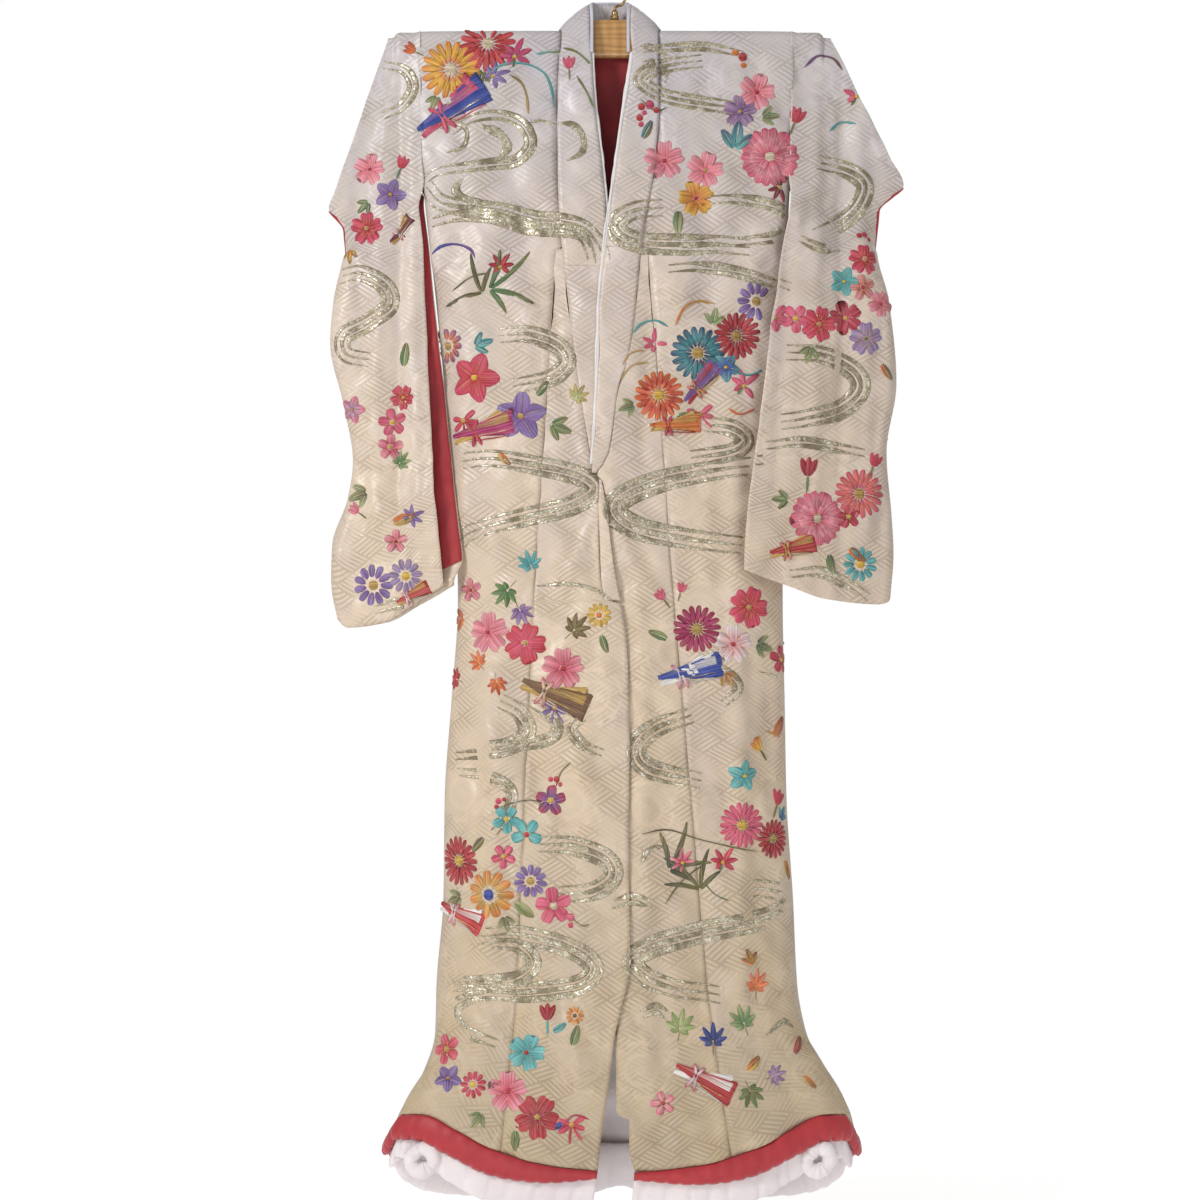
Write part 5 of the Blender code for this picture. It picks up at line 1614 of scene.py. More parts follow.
@dataclass(frozen=True)
class Petal:
    """The outline of a pad: a petal, a leaf, a lobe or a disc.

    lean above 1 moves the widest place towards the tip, lean 0 gives a folded wedge, blunt below 1
    fills the outline out, notch draws the tip in, bend curves the whole, and half keeps one side.
    """

    width: float = 0.5
    lean: float = 1.0
    blunt: float = 0.6
    notch: float = 0.0
    bend: float = 0.0
    half: int = 0
    rows: int = 8
    columns: int = 5
    height: float = 0.0009

    def flat(self, length: float, width: float) -> "tuple[np.ndarray, np.ndarray, np.ndarray]":
        """Its grid along +X, with the shares along and across it."""
        rows = max(self.rows, round(length / PAD_ROW))
        columns = max(self.columns, 2 * round(width / PAD_COLUMN) + 1)
        along, across = np.meshgrid(np.linspace(0.03, 0.97, rows), np.linspace(-1, 1, columns),
                                    indexing="ij")
        if self.half:
            across = (across + 1) / 2 * self.half
        if self.lean:
            wide = np.sin(np.pi * along**self.lean) ** self.blunt * width / 2
        else:
            wide = (0.1 + 0.9 * along) * width / 2
        x = along * (1 - self.notch * (1 - abs(across)) * along**5) * length
        y = across * wide + self.bend * length * along**2
        return np.stack([x, y], axis=-1), along, across

    def raised(self, along: np.ndarray, across: np.ndarray) -> np.ndarray:
        """How high each point of the pad stands off the cloth."""
        edge = abs(across - self.half / 2) * (2 if self.half else 1)
        dome = np.sqrt(np.clip(1 - edge**2, 0, 1)) * np.sqrt(np.clip(1 - (2 * along - 1) ** 4, 0, 1))
        lift = PAD_EDGE + self.height * dome
        lift[edge > 0.99] = -PAD_EDGE
        lift[[0, -1]] = -PAD_EDGE
        return lift


ROUND = Petal(0.72, 1.15, 0.45)
HEART = Petal(0.8, 1.5, 0.4, notch=0.2)
NARROW = Petal(0.27, 1.35, 0.4, rows=6)
STAR = Petal(0.74, 0.85, 0.8)
POINTED = Petal(0.36, 0.85, 0.75)
WAVY = Petal(0.62, 1.4, 0.38, notch=0.14)
DISC = Petal(2.0, 1.0, 0.5, rows=7)
STAMEN = Petal(0.05, 1.6, 0.4, rows=4, columns=3, height=0.0012)
BLADE = Petal(0.1, 0.9, 0.6, bend=0.22, rows=14)
LOBE = Petal(0.3, 0.75, 0.75, rows=7)


class Needle:
    """Draws motifs on the cloth in thread."""

    def __init__(self, ground: Ground, thread: Basket, gold: Basket) -> None:
        """Takes the cloth and the baskets for silk and gold thread."""
        self.ground, self.thread, self.gold = ground, thread, gold
        self.kinds: "dict[str, Callable]" = {
            "cherry": self.cherry, "plum": self.plum, "chrysanthemum": self.chrysanthemum,
            "bell": self.bell, "daisy": self.daisy, "peony": self.peony, "iris": self.iris,
            "bud": self.bud, "leaf": self.leaf, "leaves": self.leaves, "maple": self.maple,
            "berry": self.berry, "bow": self.bow, "blades": self.blades, "packet": self.packet,
        }

    def pad(self, at: Frame, petal: Petal, turn: float, start: float, length: float, width: float,
            first: str, second: str, offset: "tuple[float, float]" = (0.0, 0.0), up: float = 0.0) -> None:
        """Lays one pad.

        Args:
            at: the motif's place.
            petal: the pad's outline.
            turn: its heading, in radians.
            start: how far from the motif's middle it starts.
            length: how long it is.
            width: how wide it is.
            first: the thread at its start, or "metal" for gold.
            second: the thread at its end.
            offset: where it starts from, across and up.
            up: how far it lies on other pads.
        """
        flat, along, across = petal.flat(length, width)
        x, y = flat[..., 0] + start, flat[..., 1]
        drawn = np.stack([
            x * math.cos(turn) - y * math.sin(turn) + offset[0],
            x * math.sin(turn) + y * math.cos(turn) + offset[1],
        ], axis=-1)
        laid = self.ground.lay(at, drawn)
        if laid is None:
            return
        spots, ways = laid
        lift = petal.raised(along, across)
        lift += up * (lift > 0)
        grid = spots + ways * lift[..., None]
        metal = first == "metal"
        one, two = [np.array(THREADS["gold" if metal else name])
                    for name in (first, second if not metal else first)]
        share = along[..., None] ** 1.3
        tone = 1 + 0.1 * np.sin(turn * 5 + start * 900)
        (self.gold if metal else self.thread).add(grid, ways, np.stack([y + turn, x], axis=-1),
                                                  (one * (1 - share) + two * share) * tone)

    def ring(self, at: Frame, petal: Petal, count: int, size: float, first: str, second: str,
             start: float = 0.1, turn: float = 0.0, up: float = 0.0,
             offset: "tuple[float, float]" = (0.0, 0.0)) -> None:
        """Lays a ring of pads round a motif's middle."""
        for number in range(count):
            heading = turn + 2 * math.pi * number / count
            self.pad(at, petal, heading, start * size, size * (1 - start), petal.width * size, first,
                     second, offset, up)

    def dot(self, at: Frame, size: float, thread: str, offset: "tuple[float, float]" = (0.0, 0.0),
            up: float = 0.0006) -> None:
        """Lays a round dot."""
        self.pad(at, DISC, 0.0, -size, 2 * size, 2 * size, thread, thread, offset, up)

    def cherry(self, at: Frame, size: float, turn: float, first: str, second: str, middle: str) -> None:
        """Five notched petals with fine stamens."""
        self.ring(at, HEART, 5, size, first, second, 0.05, turn)
        self.ring(at, STAMEN, 10, size * 0.62, "metal", "metal", 0.2, turn, 0.0009)
        self.dot(at, size * 0.13, middle, up=0.001)

    def plum(self, at: Frame, size: float, turn: float, first: str, second: str, middle: str) -> None:
        """Five round petals."""
        self.ring(at, ROUND, 5, size, first, second, 0.12, turn)
        self.ring(at, STAMEN, 5, size * 0.6, "metal", "metal", 0.2, turn + 0.6, 0.0009)
        self.dot(at, size * 0.18, middle, up=0.001)

    def chrysanthemum(self, at: Frame, size: float, turn: float, first: str, second: str,
                      middle: str) -> None:
        """Many narrow petals in two rings."""
        self.ring(at, NARROW, 18, size, first, second, 0.3, turn)
        self.ring(at, NARROW, 14, size * 0.62, second, first, 0.3, turn + 0.1, 0.0008)
        self.dot(at, size * 0.22, middle, up=0.0012)
        self.ring(at, STAMEN, 9, size * 0.24, "metal", "metal", 0.1, turn, 0.0024)

    def bell(self, at: Frame, size: float, turn: float, first: str, second: str, middle: str) -> None:
        """A star of five broad pointed petals with gold veins."""
        self.ring(at, STAR, 5, size, first, second, 0.03, turn)
        self.ring(at, STAMEN, 5, size * 0.82, "metal", "metal", 0.12, turn, 0.0009)
        self.dot(at, size * 0.14, middle, up=0.001)

    def daisy(self, at: Frame, size: float, turn: float, first: str, second: str, middle: str) -> None:
        """Ten rounded petals round a large middle."""
        self.ring(at, replace(NARROW, width=0.4), 11, size, first, second, 0.28, turn)
        self.dot(at, size * 0.25, middle, up=0.0004)

    def peony(self, at: Frame, size: float, turn: float, first: str, second: str, middle: str) -> None:
        """Three rings of wavy petals."""
        for count, share, shift, lift in ((9, 1.0, 0.0, 0.0), (7, 0.74, 0.3, 0.0008),
                                          (6, 0.5, 0.7, 0.0016)):
            self.ring(at, WAVY, count, size * share, first if lift else second, second if lift else first,
                      0.1, turn + shift, lift)
        self.dot(at, size * 0.2, middle, up=0.0026)
        self.ring(at, STAMEN, 8, size * 0.3, "metal", "metal", 0.1, turn, 0.003)

    def iris(self, at: Frame, size: float, turn: float, first: str, second: str, middle: str) -> None:
        """Long curved petals, three up and three down, with a green foot."""
        for heading, share in ((-0.1, 1.0), (0.75, 0.85), (-0.85, 0.85), (1.55, 0.72), (-1.65, 0.72),
                               (2.5, 0.5)):
            petal = replace(POINTED, width=0.42, bend=0.14 if heading > 0 else -0.14)
            self.pad(at, petal, turn + heading, size * 0.06, size * share, size * 0.36, first, second,
                     up=0.0004 * (1 - share))
        self.pad(at, POINTED, turn + math.pi, 0.0, size * 0.55, size * 0.16, middle, "green", up=0.0006)
        self.dot(at, size * 0.12, "yellow", up=0.0012)

    def bud(self, at: Frame, size: float, turn: float, first: str, second: str, middle: str) -> None:
        """A closed bud on a short stem."""
        for heading in (-0.42, 0.42, 0.0):
            self.pad(at, replace(POINTED, width=0.5), turn + heading, 0.0, size, size * 0.42, first, second,
                     up=0.0003 * (heading == 0))
        self.pad(at, POINTED, turn + math.pi, -size * 0.12, size * 0.9, size * 0.14, middle, middle,
                 up=0.0006)

    def leaf(self, at: Frame, size: float, turn: float, first: str, second: str, middle: str) -> None:
        """A leaf in two halves with its vein between them."""
        for half, thread in ((1, first), (-1, second)):
            petal = Petal(0.5, 0.85, 0.7, bend=0.1, half=half, rows=9, columns=4)
            self.pad(at, petal, turn, 0.0, size * 1.6, size * 0.66, thread, middle)

    def leaves(self, at: Frame, size: float, turn: float, first: str, second: str, middle: str) -> None:
        """Three leaves from one stalk."""
        for heading, share in ((-0.75, 0.8), (0.0, 1.0), (0.75, 0.8)):
            self.leaf(at, size * share * 0.8, turn + heading, first, second, middle)

    def maple(self, at: Frame, size: float, turn: float, first: str, second: str, middle: str) -> None:
        """Seven pointed lobes and a stalk."""
        for heading, share in ((0.0, 1.0), (0.62, 0.92), (-0.62, 0.92), (1.25, 0.76), (-1.25, 0.76),
                               (1.95, 0.48), (-1.95, 0.48)):
            self.pad(at, LOBE, turn + heading, 0.0, size * share, size * 0.34, first, second)
        self.pad(at, replace(STAMEN, height=0.0005), turn + math.pi, 0.0, size * 0.7, size * 0.06, middle,
                 middle)

    def berry(self, at: Frame, size: float, turn: float, first: str, second: str, middle: str) -> None:
        """A round berry with two smaller ones beside it."""
        for number, share in enumerate((1.0, 0.8, 0.7)):
            heading = turn + 2.2 * number
            away = size * 1.7 * (number > 0)
            self.dot(at, size * share, first if number else second,
                     (away * math.cos(heading), away * math.sin(heading)))

    def bow(self, at: Frame, size: float, turn: float, first: str, second: str, middle: str) -> None:
        """Two loops and two tails of cord."""
        for heading, share in ((0.45, 1.0), (-0.45, 0.9), (2.7, 0.9), (3.6, 1.0)):
            self.pad(at, Petal(0.5, 1.3, 0.5), turn + heading, 0.0, size * share, size * 0.42, first,
                     second)
        for heading in (-1.2, -1.9):
            self.pad(at, Petal(0.5, 1.4, 0.3, bend=0.15), turn + heading, 0.0, size * 1.2, size * 0.2,
                     first, second)
        self.dot(at, size * 0.2, middle, up=0.001)

    def blades(self, at: Frame, size: float, turn: float, first: str, second: str, middle: str) -> None:
        """Long arching grass leaves."""
        for heading, share, side in ((0.0, 1.0, 1), (0.55, 0.75, 1), (-0.6, 0.85, -1), (-1.2, 0.55, -1)):
            petal = replace(BLADE, bend=0.24 * side)
            self.pad(at, petal, turn + heading, 0.0, size * share, size * 0.12, first, second)

    def packet(self, at: Frame, size: float, turn: float, first: str, second: str, middle: str) -> None:
        """A folded paper packet: two wedges and a half flap with stripes, cord and a bow."""
        wedge = Petal(0.5, 0, rows=22, columns=11, height=0.0004)
        flap = Petal(0.5, 0, half=1, rows=22, columns=7, height=0.0004)
        self.pad(at, wedge, turn + 0.16, -size, size * 1.84, size * 0.74, second, second, up=0.0006)
        self.pad(at, wedge, turn - 0.05, -size, size * 1.96, size * 0.8, first, first, up=0.0014)
        self.pad(at, flap, turn - 0.05, -size * 0.9, size * 1.76, size * 0.62, first, second, up=0.002)
        stripe = Petal(0.5, 1.3, 0.3, rows=20, columns=3, height=0.0003)
        for side, thread in ((-0.3, middle), (-0.17, "metal"), (0.1, "metal")):
            spot = (-side * size * math.sin(turn), side * size * math.cos(turn))
            self.pad(at, stripe, turn - 0.05 + 0.25 * side, -size * 0.55, size * 1.3, size * 0.045, thread,
                     thread, spot, 0.0028)
        cord = Petal(0.5, 1.0, 0.2, rows=10, columns=3, height=0.0004)
        for spot_along in (-0.34, -0.24):
            spot = (spot_along * size * math.cos(turn), spot_along * size * math.sin(turn))
            self.pad(at, cord, turn + math.pi / 2, -size * 0.27, size * 0.54, size * 0.06, middle, middle,
                     spot, 0.0032)
        knot = (-0.29 * size * math.cos(turn), -0.29 * size * math.sin(turn))
        for heading, reach in ((1.1, 0.36), (2.1, 0.36), (-1.3, 0.46), (-1.9, 0.46)):
            self.pad(at, NARROW, turn + heading, 0, size * reach, size * 0.12, middle, "rose", knot, 0.0036)

    def ribbon(self, sight: Sight, path: np.ndarray, width: float, first: str, second: str,
               basket: "Basket | None" = None, shift: float = 0.0, taper: float = 0.18,
               height: float = 0.0004) -> None:
        """Lays a band along a smooth path.

        Args:
            sight: the side it is laid out from.
            path: its points, as columns and rows.
            width: its width in metres.
            first: the thread at its start.
            second: the thread at its end.
            basket: where it goes, if not with the silk thread.
            shift: how far it runs beside its path.
            taper: how much of each end narrows.
            height: how thick it is.
        """
        line = smooth_path(np.array([sight.spot(*point) for point in path]), RIBBON_STEP)
        along = np.gradient(line, axis=0)
        along /= np.maximum(np.linalg.norm(along, axis=1, keepdims=True), 1e-9)
        beside = np.stack([-along[:, 1], along[:, 0]], axis=1)
        share = np.linspace(0, 1, len(line))
        wide = width / 2 * (0.2 + 0.8 * soft_step(np.minimum(share, 1 - share) / taper)
                            * (0.78 + 0.22 * np.sin(share * 9 + shift * 700)))
        across = np.linspace(-1, 1, 6)
        flat = line[:, None] + beside[:, None] * (shift + wide[:, None] * across)[..., None]
        front = Frame(np.array([0.0, sight.face * 0.12, 0.0]), np.array([0, sight.face, 0.0]),
                      np.array([1.0, 0, 0]), np.array([0, 0, 1.0]))
        spots, ways, found = self.reach(front, flat)
        whole = self.mend(spots, ways, found)
        steady = np.concatenate([[True], abs(np.diff(spots[:, 1:5, 1].mean(axis=1))) < RIBBON_JUMP])
        level = np.where(abs(across) > 0.9, -PAD_EDGE, 0.0008 + height)
        ends = np.flatnonzero(~(whole & steady)).tolist() + [len(line)]
        one, two, begin = np.array(THREADS[first]), np.array(THREADS[second]), 0
        for end in ends:
            if end - begin >= 4:
                part = slice(begin, end)
                lift = np.repeat(level[None], end - begin, axis=0)
                lift[[0, -1]] = -0.0005
                where = np.stack(np.broadcast_arrays(wide[part, None] * across + shift,
                                                     share[part, None] * len(line) * RIBBON_STEP), axis=-1)
                tone = one * (1 - share[part, None, None]) + two * share[part, None, None]
                (basket or self.thread).add(spots[part] + ways[part] * lift[..., None], ways[part], where,
                                            tone)
            begin = end + (not whole[end]) if end < len(line) else end

    def mend(self, spots: np.ndarray, ways: np.ndarray, found: np.ndarray, most: int = 3) -> np.ndarray:
        """Bridges short breaks, as at seams, in a band dropped on the cloth; tells which rows are whole."""
        depth = spots[..., 1].mean(axis=1)
        whole = found.all(axis=1) & (np.ptp(spots[..., 1], axis=1) < 0.009)
        for row in np.flatnonzero(whole[1:-1]) + 1:
            whole[row] = not (abs(depth[row] - depth[row - 1]) > 0.003
                              and abs(depth[row] - depth[row + 1]) > 0.003)
        good = np.flatnonzero(whole)
        for before, after in zip(good[:-1], good[1:]):
            if 1 < after - before <= most + 1 and abs(depth[before] - depth[after]) < 0.005:
                share = np.linspace(0, 1, after - before + 1)[1:-1, None, None]
                spots[before + 1:after] = spots[before] * (1 - share) + spots[after] * share
                ways[before + 1:after] = ways[before]
                whole[before + 1:after] = True
        breaks = np.flatnonzero(np.diff(np.concatenate([[0], whole, [0]]).astype(int)))
        for start, end in zip(breaks[::2], breaks[1::2]):
            whole[start:end] &= end - start > 8 or len(whole) < 16
        return whole

    def reach(self, front: Frame, flat: np.ndarray) -> "tuple[np.ndarray, np.ndarray, np.ndarray]":
        """Drops a flat grid straight onto the side that is seen."""
        spots, ways = np.zeros((*flat.shape[:2], 3)), np.zeros((*flat.shape[:2], 3))
        found = np.zeros(flat.shape[:2], bool)
        aim = Vector(-front.out)
        for spot_in_grid in np.ndindex(found.shape):
            x, z = flat[spot_in_grid]
            spot, way, _, _ = self.ground.tree.ray_cast(Vector((x, front.spot[1] * 5, z)), aim, 2.0)
            if spot is not None:
                spots[spot_in_grid], ways[spot_in_grid], found[spot_in_grid] = spot, way, abs(way[1]) > 0.25
        return spots, ways, found


def smooth_path(points: np.ndarray, step: float) -> np.ndarray:
    """An even curve through some points."""
    padded = np.concatenate([2 * points[:1] - points[1:2], points, 2 * points[-1:] - points[-2:-1]])
    parts = []
    for number in range(len(points) - 1):
        a, b, c, d = padded[number:number + 4]
        t = np.linspace(0, 1, 24, endpoint=False)[:, None]
        parts.append(0.5 * (2 * b + (c - a) * t + (2 * a - 5 * b + 4 * c - d) * t**2
                            + (3 * b - a - 3 * c + d) * t**3))
    fine = np.concatenate([*parts, points[-1:]])
    length = np.concatenate([[0], np.cumsum(np.linalg.norm(np.diff(fine, axis=0), axis=1))])
    even = np.linspace(0, length[-1], max(int(length[-1] / step), 6) + 1)
    return np.stack([np.interp(even, length, fine[:, axis]) for axis in (0, 1)], axis=1)


@dataclass(frozen=True)
class Motif:
    """One embroidered motif: its kind, its place in the layout, its size and heading, and its threads."""

    kind: str
    column: float
    row: float
    size: float
    turn: float
    first: str
    second: str
    middle: str


MOTIFS = [Motif(*row) for row in (
    # the left shoulder and chest
    ("chrysanthemum", 487, 38, 27, 0.1, "red", "red", "cream"),
    ("chrysanthemum", 450, 65, 29, 0.3, "yellow", "orange", "cream"),
    ("leaves", 482, 66, 13, 4.4, "olive", "green", "olive"),
    ("iris", 514, 52, 20, 1.4, "magenta", "rose", "olive"),
    ("iris", 492, 72, 17, 0.5, "violet", "purple", "mauve"),
    ("bud", 569, 66, 14, 1.6, "rose", "pink", "olive"),
    ("packet", 451, 104, 40, 0.62, "blue", "rose", "pink"),
    ("leaves", 436, 92, 13, 4.2, "olive", "leaf", "lime"),
    ("leaf", 452, 88, 11, 5.0, "leaf", "lime", "olive"),
    ("bud", 414, 46, 13, 2.6, "orange", "red", "olive"),
    ("iris", 500, 266, 15, 1.2, "red", "crimson", "olive"),
    ("blades", 488, 288, 52, 0.5, "green", "olive", "dark"),
    ("blades", 482, 292, 46, 2.7, "olive", "dark", "dark"),
    ("daisy", 447, 344, 17, 0.0, "orange", "purple", "gold"),
    ("leaves", 474, 345, 15, 0.2, "teal", "aqua", "teal"),
    ("bell", 474, 377, 25, 1.2, "red", "rose", "yellow"),
    ("leaves", 448, 388, 15, 3.5, "navy", "blue", "navy"),
    ("packet", 484, 428, 33, 0.25, "magenta", "gold", "red"),
    ("bow", 463, 420, 15, 0.3, "red", "rose", "gold"),
    ("bell", 521, 416, 25, 1.5, "purple", "violet", "gold"),
    ("leaves", 551, 424, 17, 5.8, "green", "leaf", "olive"),
    ("maple", 576, 398, 15, 1.0, "lime", "gold", "olive"),
    ("leaf", 536, 396, 12, 0.8, "leaf", "green", "olive"),
    ("leaf", 498, 452, 11, 5.4, "orange", "yellow", "brown"),
    # the left waist and below it
    ("maple", 531, 566, 17, 1.9, "teal", "aqua", "navy"),
    ("maple", 508, 590, 19, 4.0, "green", "leaf", "olive"),
    ("maple", 520, 610, 17, 5.2, "purple", "mauve", "brown"),
    ("plum", 470, 590, 12, 0.5, "pink", "pale", "red"),
    ("leaves", 463, 617, 16, 3.3, "orange", "salmon", "brown"),
    ("cherry", 488, 632, 21, 1.57, "pink", "pale", "red"),
    ("cherry", 525, 643, 21, 1.2, "rose", "red", "gold"),
    ("maple", 574, 630, 19, 0.8, "olive", "brown", "dark"),
    ("daisy", 599, 615, 12, 0.3, "yellow", "gold", "orange"),
    ("leaf", 601, 634, 12, 5.0, "green", "leaf", "olive"),
    ("maple", 480, 664, 15, 2.3, "orange", "salmon", "brown"),
    ("maple", 497, 681, 14, 4.9, "orange", "red", "brown"),
    ("maple", 456, 680, 16, 2.8, "red", "crimson", "brown"),
    ("cherry", 563, 668, 21, 1.57, "rose", "pale", "red"),
    ("packet", 556, 694, 36, -0.35, "brown", "gold", "cream"),
    ("bow", 555, 707, 14, 0.0, "purple", "violet", "gold"),
    ("leaf", 446, 650, 12, 2.0, "lime", "olive", "olive"),
    ("berry", 557, 778, 3.4, 1.0, "rose", "red", "red"),
    ("berry", 499, 800, 3.2, 2.2, "red", "rose", "red"),
    ("plum", 551, 799, 15, 0.2, "purple", "red", "yellow"),
    ("plum", 507, 818, 14, 1.0, "teal", "aqua", "yellow"),
    ("plum", 527, 833, 16, 2.2, "aqua", "teal", "red"),
    ("leaf", 485, 836, 12, 3.9, "olive", "dark", "olive"),
    # the left knee and hem
    ("chrysanthemum", 459, 861, 24, 0.1, "red", "crimson", "yellow"),
    ("plum", 504, 855, 12, 0.9, "pink", "rose", "yellow"),
    ("daisy", 489, 893, 23, 0.0, "gold", "orange", "blue"),
    ("leaves", 461, 897, 15, 3.4, "olive", "dark", "lime"),
    ("daisy", 531, 879, 16, 0.4, "purple", "violet", "gold"),
    ("leaf", 515, 899, 15, 5.5, "lime", "leaf", "olive"),
    ("plum", 554, 903, 18, 1.7, "rose", "pink", "cream"),
    ("berry", 571, 914, 4.2, 0.3, "rose", "pink", "red"),
    ("packet", 462, 915, 30, -0.28, "red", "white", "white"),
    ("leaves", 505, 914, 12, 4.9, "dark", "olive", "lime"),
    ("bud", 548, 1016, 17, 1.57, "crimson", "red", "teal"),
    ("leaf", 553, 1027, 10, 0.5, "teal", "aqua", "teal"),
    ("cherry", 527, 1048, 18, 1.2, "teal", "aqua", "red"),
    ("plum", 447, 1048, 15, 0.6, "red", "pink", "gold"),
    ("bell", 449, 1075, 14, 0.9, "purple", "violet", "gold"),
    ("daisy", 474, 1080, 13, 0.2, "rose", "red", "yellow"),
    ("cherry", 509, 1086, 20, 1.57, "rose", "pale", "red"),
    ("cherry", 538, 1110, 22, 1.0, "crimson", "red", "gold"),
    ("bow", 572, 1117, 15, 0.1, "red", "rose", "gold"), ("leaf", 553, 1121, 9, 0.4, "blue", "navy", "blue"),
    ("leaf", 517, 1122, 13, 4.6, "green", "leaf", "olive"),
    ("leaves", 483, 1108, 13, 4.0, "olive", "green", "lime"),
    ("daisy", 575, 1010, 9, 0.0, "orange", "gold", "brown"),
    ("leaf", 572, 1040, 13, 1.2, "green", "leaf", "olive"),
    # the left sleeve
    ("cherry", 367, 164, 16, 1.4, "pink", "pale", "red"),
    ("bud", 398, 164, 14, 1.2, "red", "rose", "green"),
    ("bell", 388, 190, 16, 1.2, "purple", "violet", "gold"),
    ("leaves", 366, 197, 12, 3.8, "green", "leaf", "olive"),
    ("cherry", 364, 224, 17, 1.57, "red", "rose", "gold"),
    ("packet", 400, 226, 17, 0.9, "maroon", "gold", "white"),
    ("leaves", 349, 245, 12, 4.3, "yellow", "orange", "olive"),
    ("leaf", 402, 366, 15, 1.4, "green", "leaf", "olive"),
    ("cherry", 402, 396, 13, 1.0, "red", "rose", "yellow"),
    ("plum", 391, 421, 14, 0.5, "pink", "rose", "yellow"),
    ("plum", 389, 446, 13, 1.5, "rose", "pale", "gold"),
    ("maple", 398, 462, 15, 0.8, "green", "lime", "olive"),
    ("leaves", 365, 491, 17, 3.4, "dark", "olive", "lime"),
    ("bud", 357, 512, 13, 2.5, "pink", "pale", "olive"),
    ("leaf", 390, 522, 17, 0.2, "orange", "gold", "brown"),
    ("iris", 410, 517, 14, 0.6, "purple", "violet", "green"),
    ("plum", 395, 541, 12, 0.3, "pink", "pale", "red"),
    ("daisy", 372, 585, 20, 0.0, "purple", "violet", "gold"),
    ("daisy", 405, 576, 17, 0.2, "violet", "mauve", "yellow"),
    ("packet", 412, 594, 19, 0.5, "red", "gold", "white"),
    ("leaf", 386, 602, 12, 5.0, "green", "leaf", "olive"),
    ("bell", 350, 408, 14, 1.3, "mauve", "pink", "gold"),
    # the right shoulder and chest
    ("berry", 744, 52, 4.6, 0.4, "orange", "red", "red"),
    ("cherry", 758, 88, 19, 1.3, "pink", "pale", "red"),
    ("cherry", 741, 108, 17, 1.57, "purple", "mauve", "gold"),
    ("leaves", 763, 113, 14, 0.0, "green", "olive", "lime"),
    ("berry", 650, 102, 4.6, 1.2, "red", "rose", "red"),
    ("berry", 640, 115, 3.6, 2.7, "rose", "red", "red"),
    ("leaf", 642, 137, 13, 1.0, "teal", "olive", "dark"),
    ("cherry", 665, 158, 20, 1.57, "pink", "pale", "red"),
    ("cherry", 706, 168, 19, 1.3, "pink", "pale", "gold"),
    ("cherry", 696, 196, 18, 1.8, "orange", "yellow", "red"),
    ("leaves", 735, 146, 22, 1.3, "teal", "aqua", "navy"),
    ("peony", 771, 154, 29, 0.2, "rose", "pale", "cream"),
    ("bud", 796, 119, 17, 1.2, "red", "rose", "olive"),
    ("iris", 781, 184, 15, 5.2, "maroon", "crimson", "olive"),
    ("leaf", 679, 208, 15, 4.6, "olive", "green", "lime"),
    ("daisy", 757, 300, 19, 0.3, "purple", "violet", "gold"),
    ("bell", 770, 318, 14, 1.0, "pink", "rose", "gold"),
    ("iris", 655, 344, 15, 1.8, "pink", "rose", "olive"),
    ("chrysanthemum", 698, 353, 26, 0.0, "teal", "navy", "gold"),
    ("chrysanthemum", 737, 335, 23, 0.2, "red", "crimson", "gold"),
    ("chrysanthemum", 659, 395, 24, 0.1, "red", "orange", "yellow"),
    ("leaves", 713, 324, 14, 1.3, "green", "leaf", "lime"),
    ("leaves", 634, 405, 13, 3.4, "green", "olive", "lime"),
    ("leaves", 678, 415, 11, 5.6, "leaf", "green", "olive"),
    ("packet", 701, 382, 25, 0.9, "purple", "red", "gold"),
    ("packet", 676, 424, 25, 0.1, "orange", "gold", "red"),
    ("bell", 726, 367, 15, 1.0, "blue", "aqua", "yellow"),
    ("iris", 744, 386, 19, 0.9, "pink", "rose", "leaf"),
    ("bow", 700, 414, 15, 0.2, "pink", "rose", "gold"), ("leaf", 757, 366, 17, 5.7, "teal", "aqua", "navy"),
    # the right waist
    ("bud", 664, 600, 12, 2.2, "pink", "rose", "olive"),
    ("bud", 680, 593, 11, 1.3, "rose", "pink", "olive"),
    ("chrysanthemum", 697, 629, 23, 0.1, "magenta", "crimson", "gold"),
    ("cherry", 749, 607, 21, 1.2, "red", "rose", "gold"),
    ("cherry", 733, 644, 19, 1.57, "pale", "white", "red"),
    ("leaves", 757, 643, 16, 5.9, "dark", "green", "lime"),
    ("plum", 782, 660, 14, 0.4, "rose", "red", "yellow"),
    ("packet", 690, 671, 33, 0.28, "blue", "white", "white"),
    ("leaf", 668, 640, 13, 2.6, "green", "leaf", "olive"),
    ("leaves", 724, 672, 13, 5.2, "orange", "brown", "gold"),
    ("bud", 761, 751, 15, 2.2, "yellow", "orange", "olive"),
    ("leaf", 774, 738, 15, 0.9, "orange", "salmon", "brown"),
    ("bell", 744, 775, 16, 1.4, "teal", "aqua", "yellow"),
    ("bud", 777, 806, 17, 1.2, "red", "rose", "olive"),
    ("chrysanthemum", 742, 824, 22, 0.0, "pink", "rose", "yellow"),
    ("chrysanthemum", 773, 839, 19, 0.3, "red", "crimson", "gold"),
    ("leaves", 781, 820, 12, 0.9, "navy", "blue", "aqua"),
    ("blades", 668, 868, 48, 1.0, "dark", "olive", "green"),
    ("blades", 700, 888, 46, 2.2, "olive", "dark", "green"),
    ("iris", 682, 861, 16, 1.9, "rose", "pale", "olive"),
    ("iris", 722, 861, 16, 1.2, "red", "rose", "olive"),
    ("leaf", 786, 860, 13, 5.0, "orange", "gold", "brown"),
    # the right hem
    ("maple", 755, 985, 19, 1.5, "orange", "salmon", "brown"),
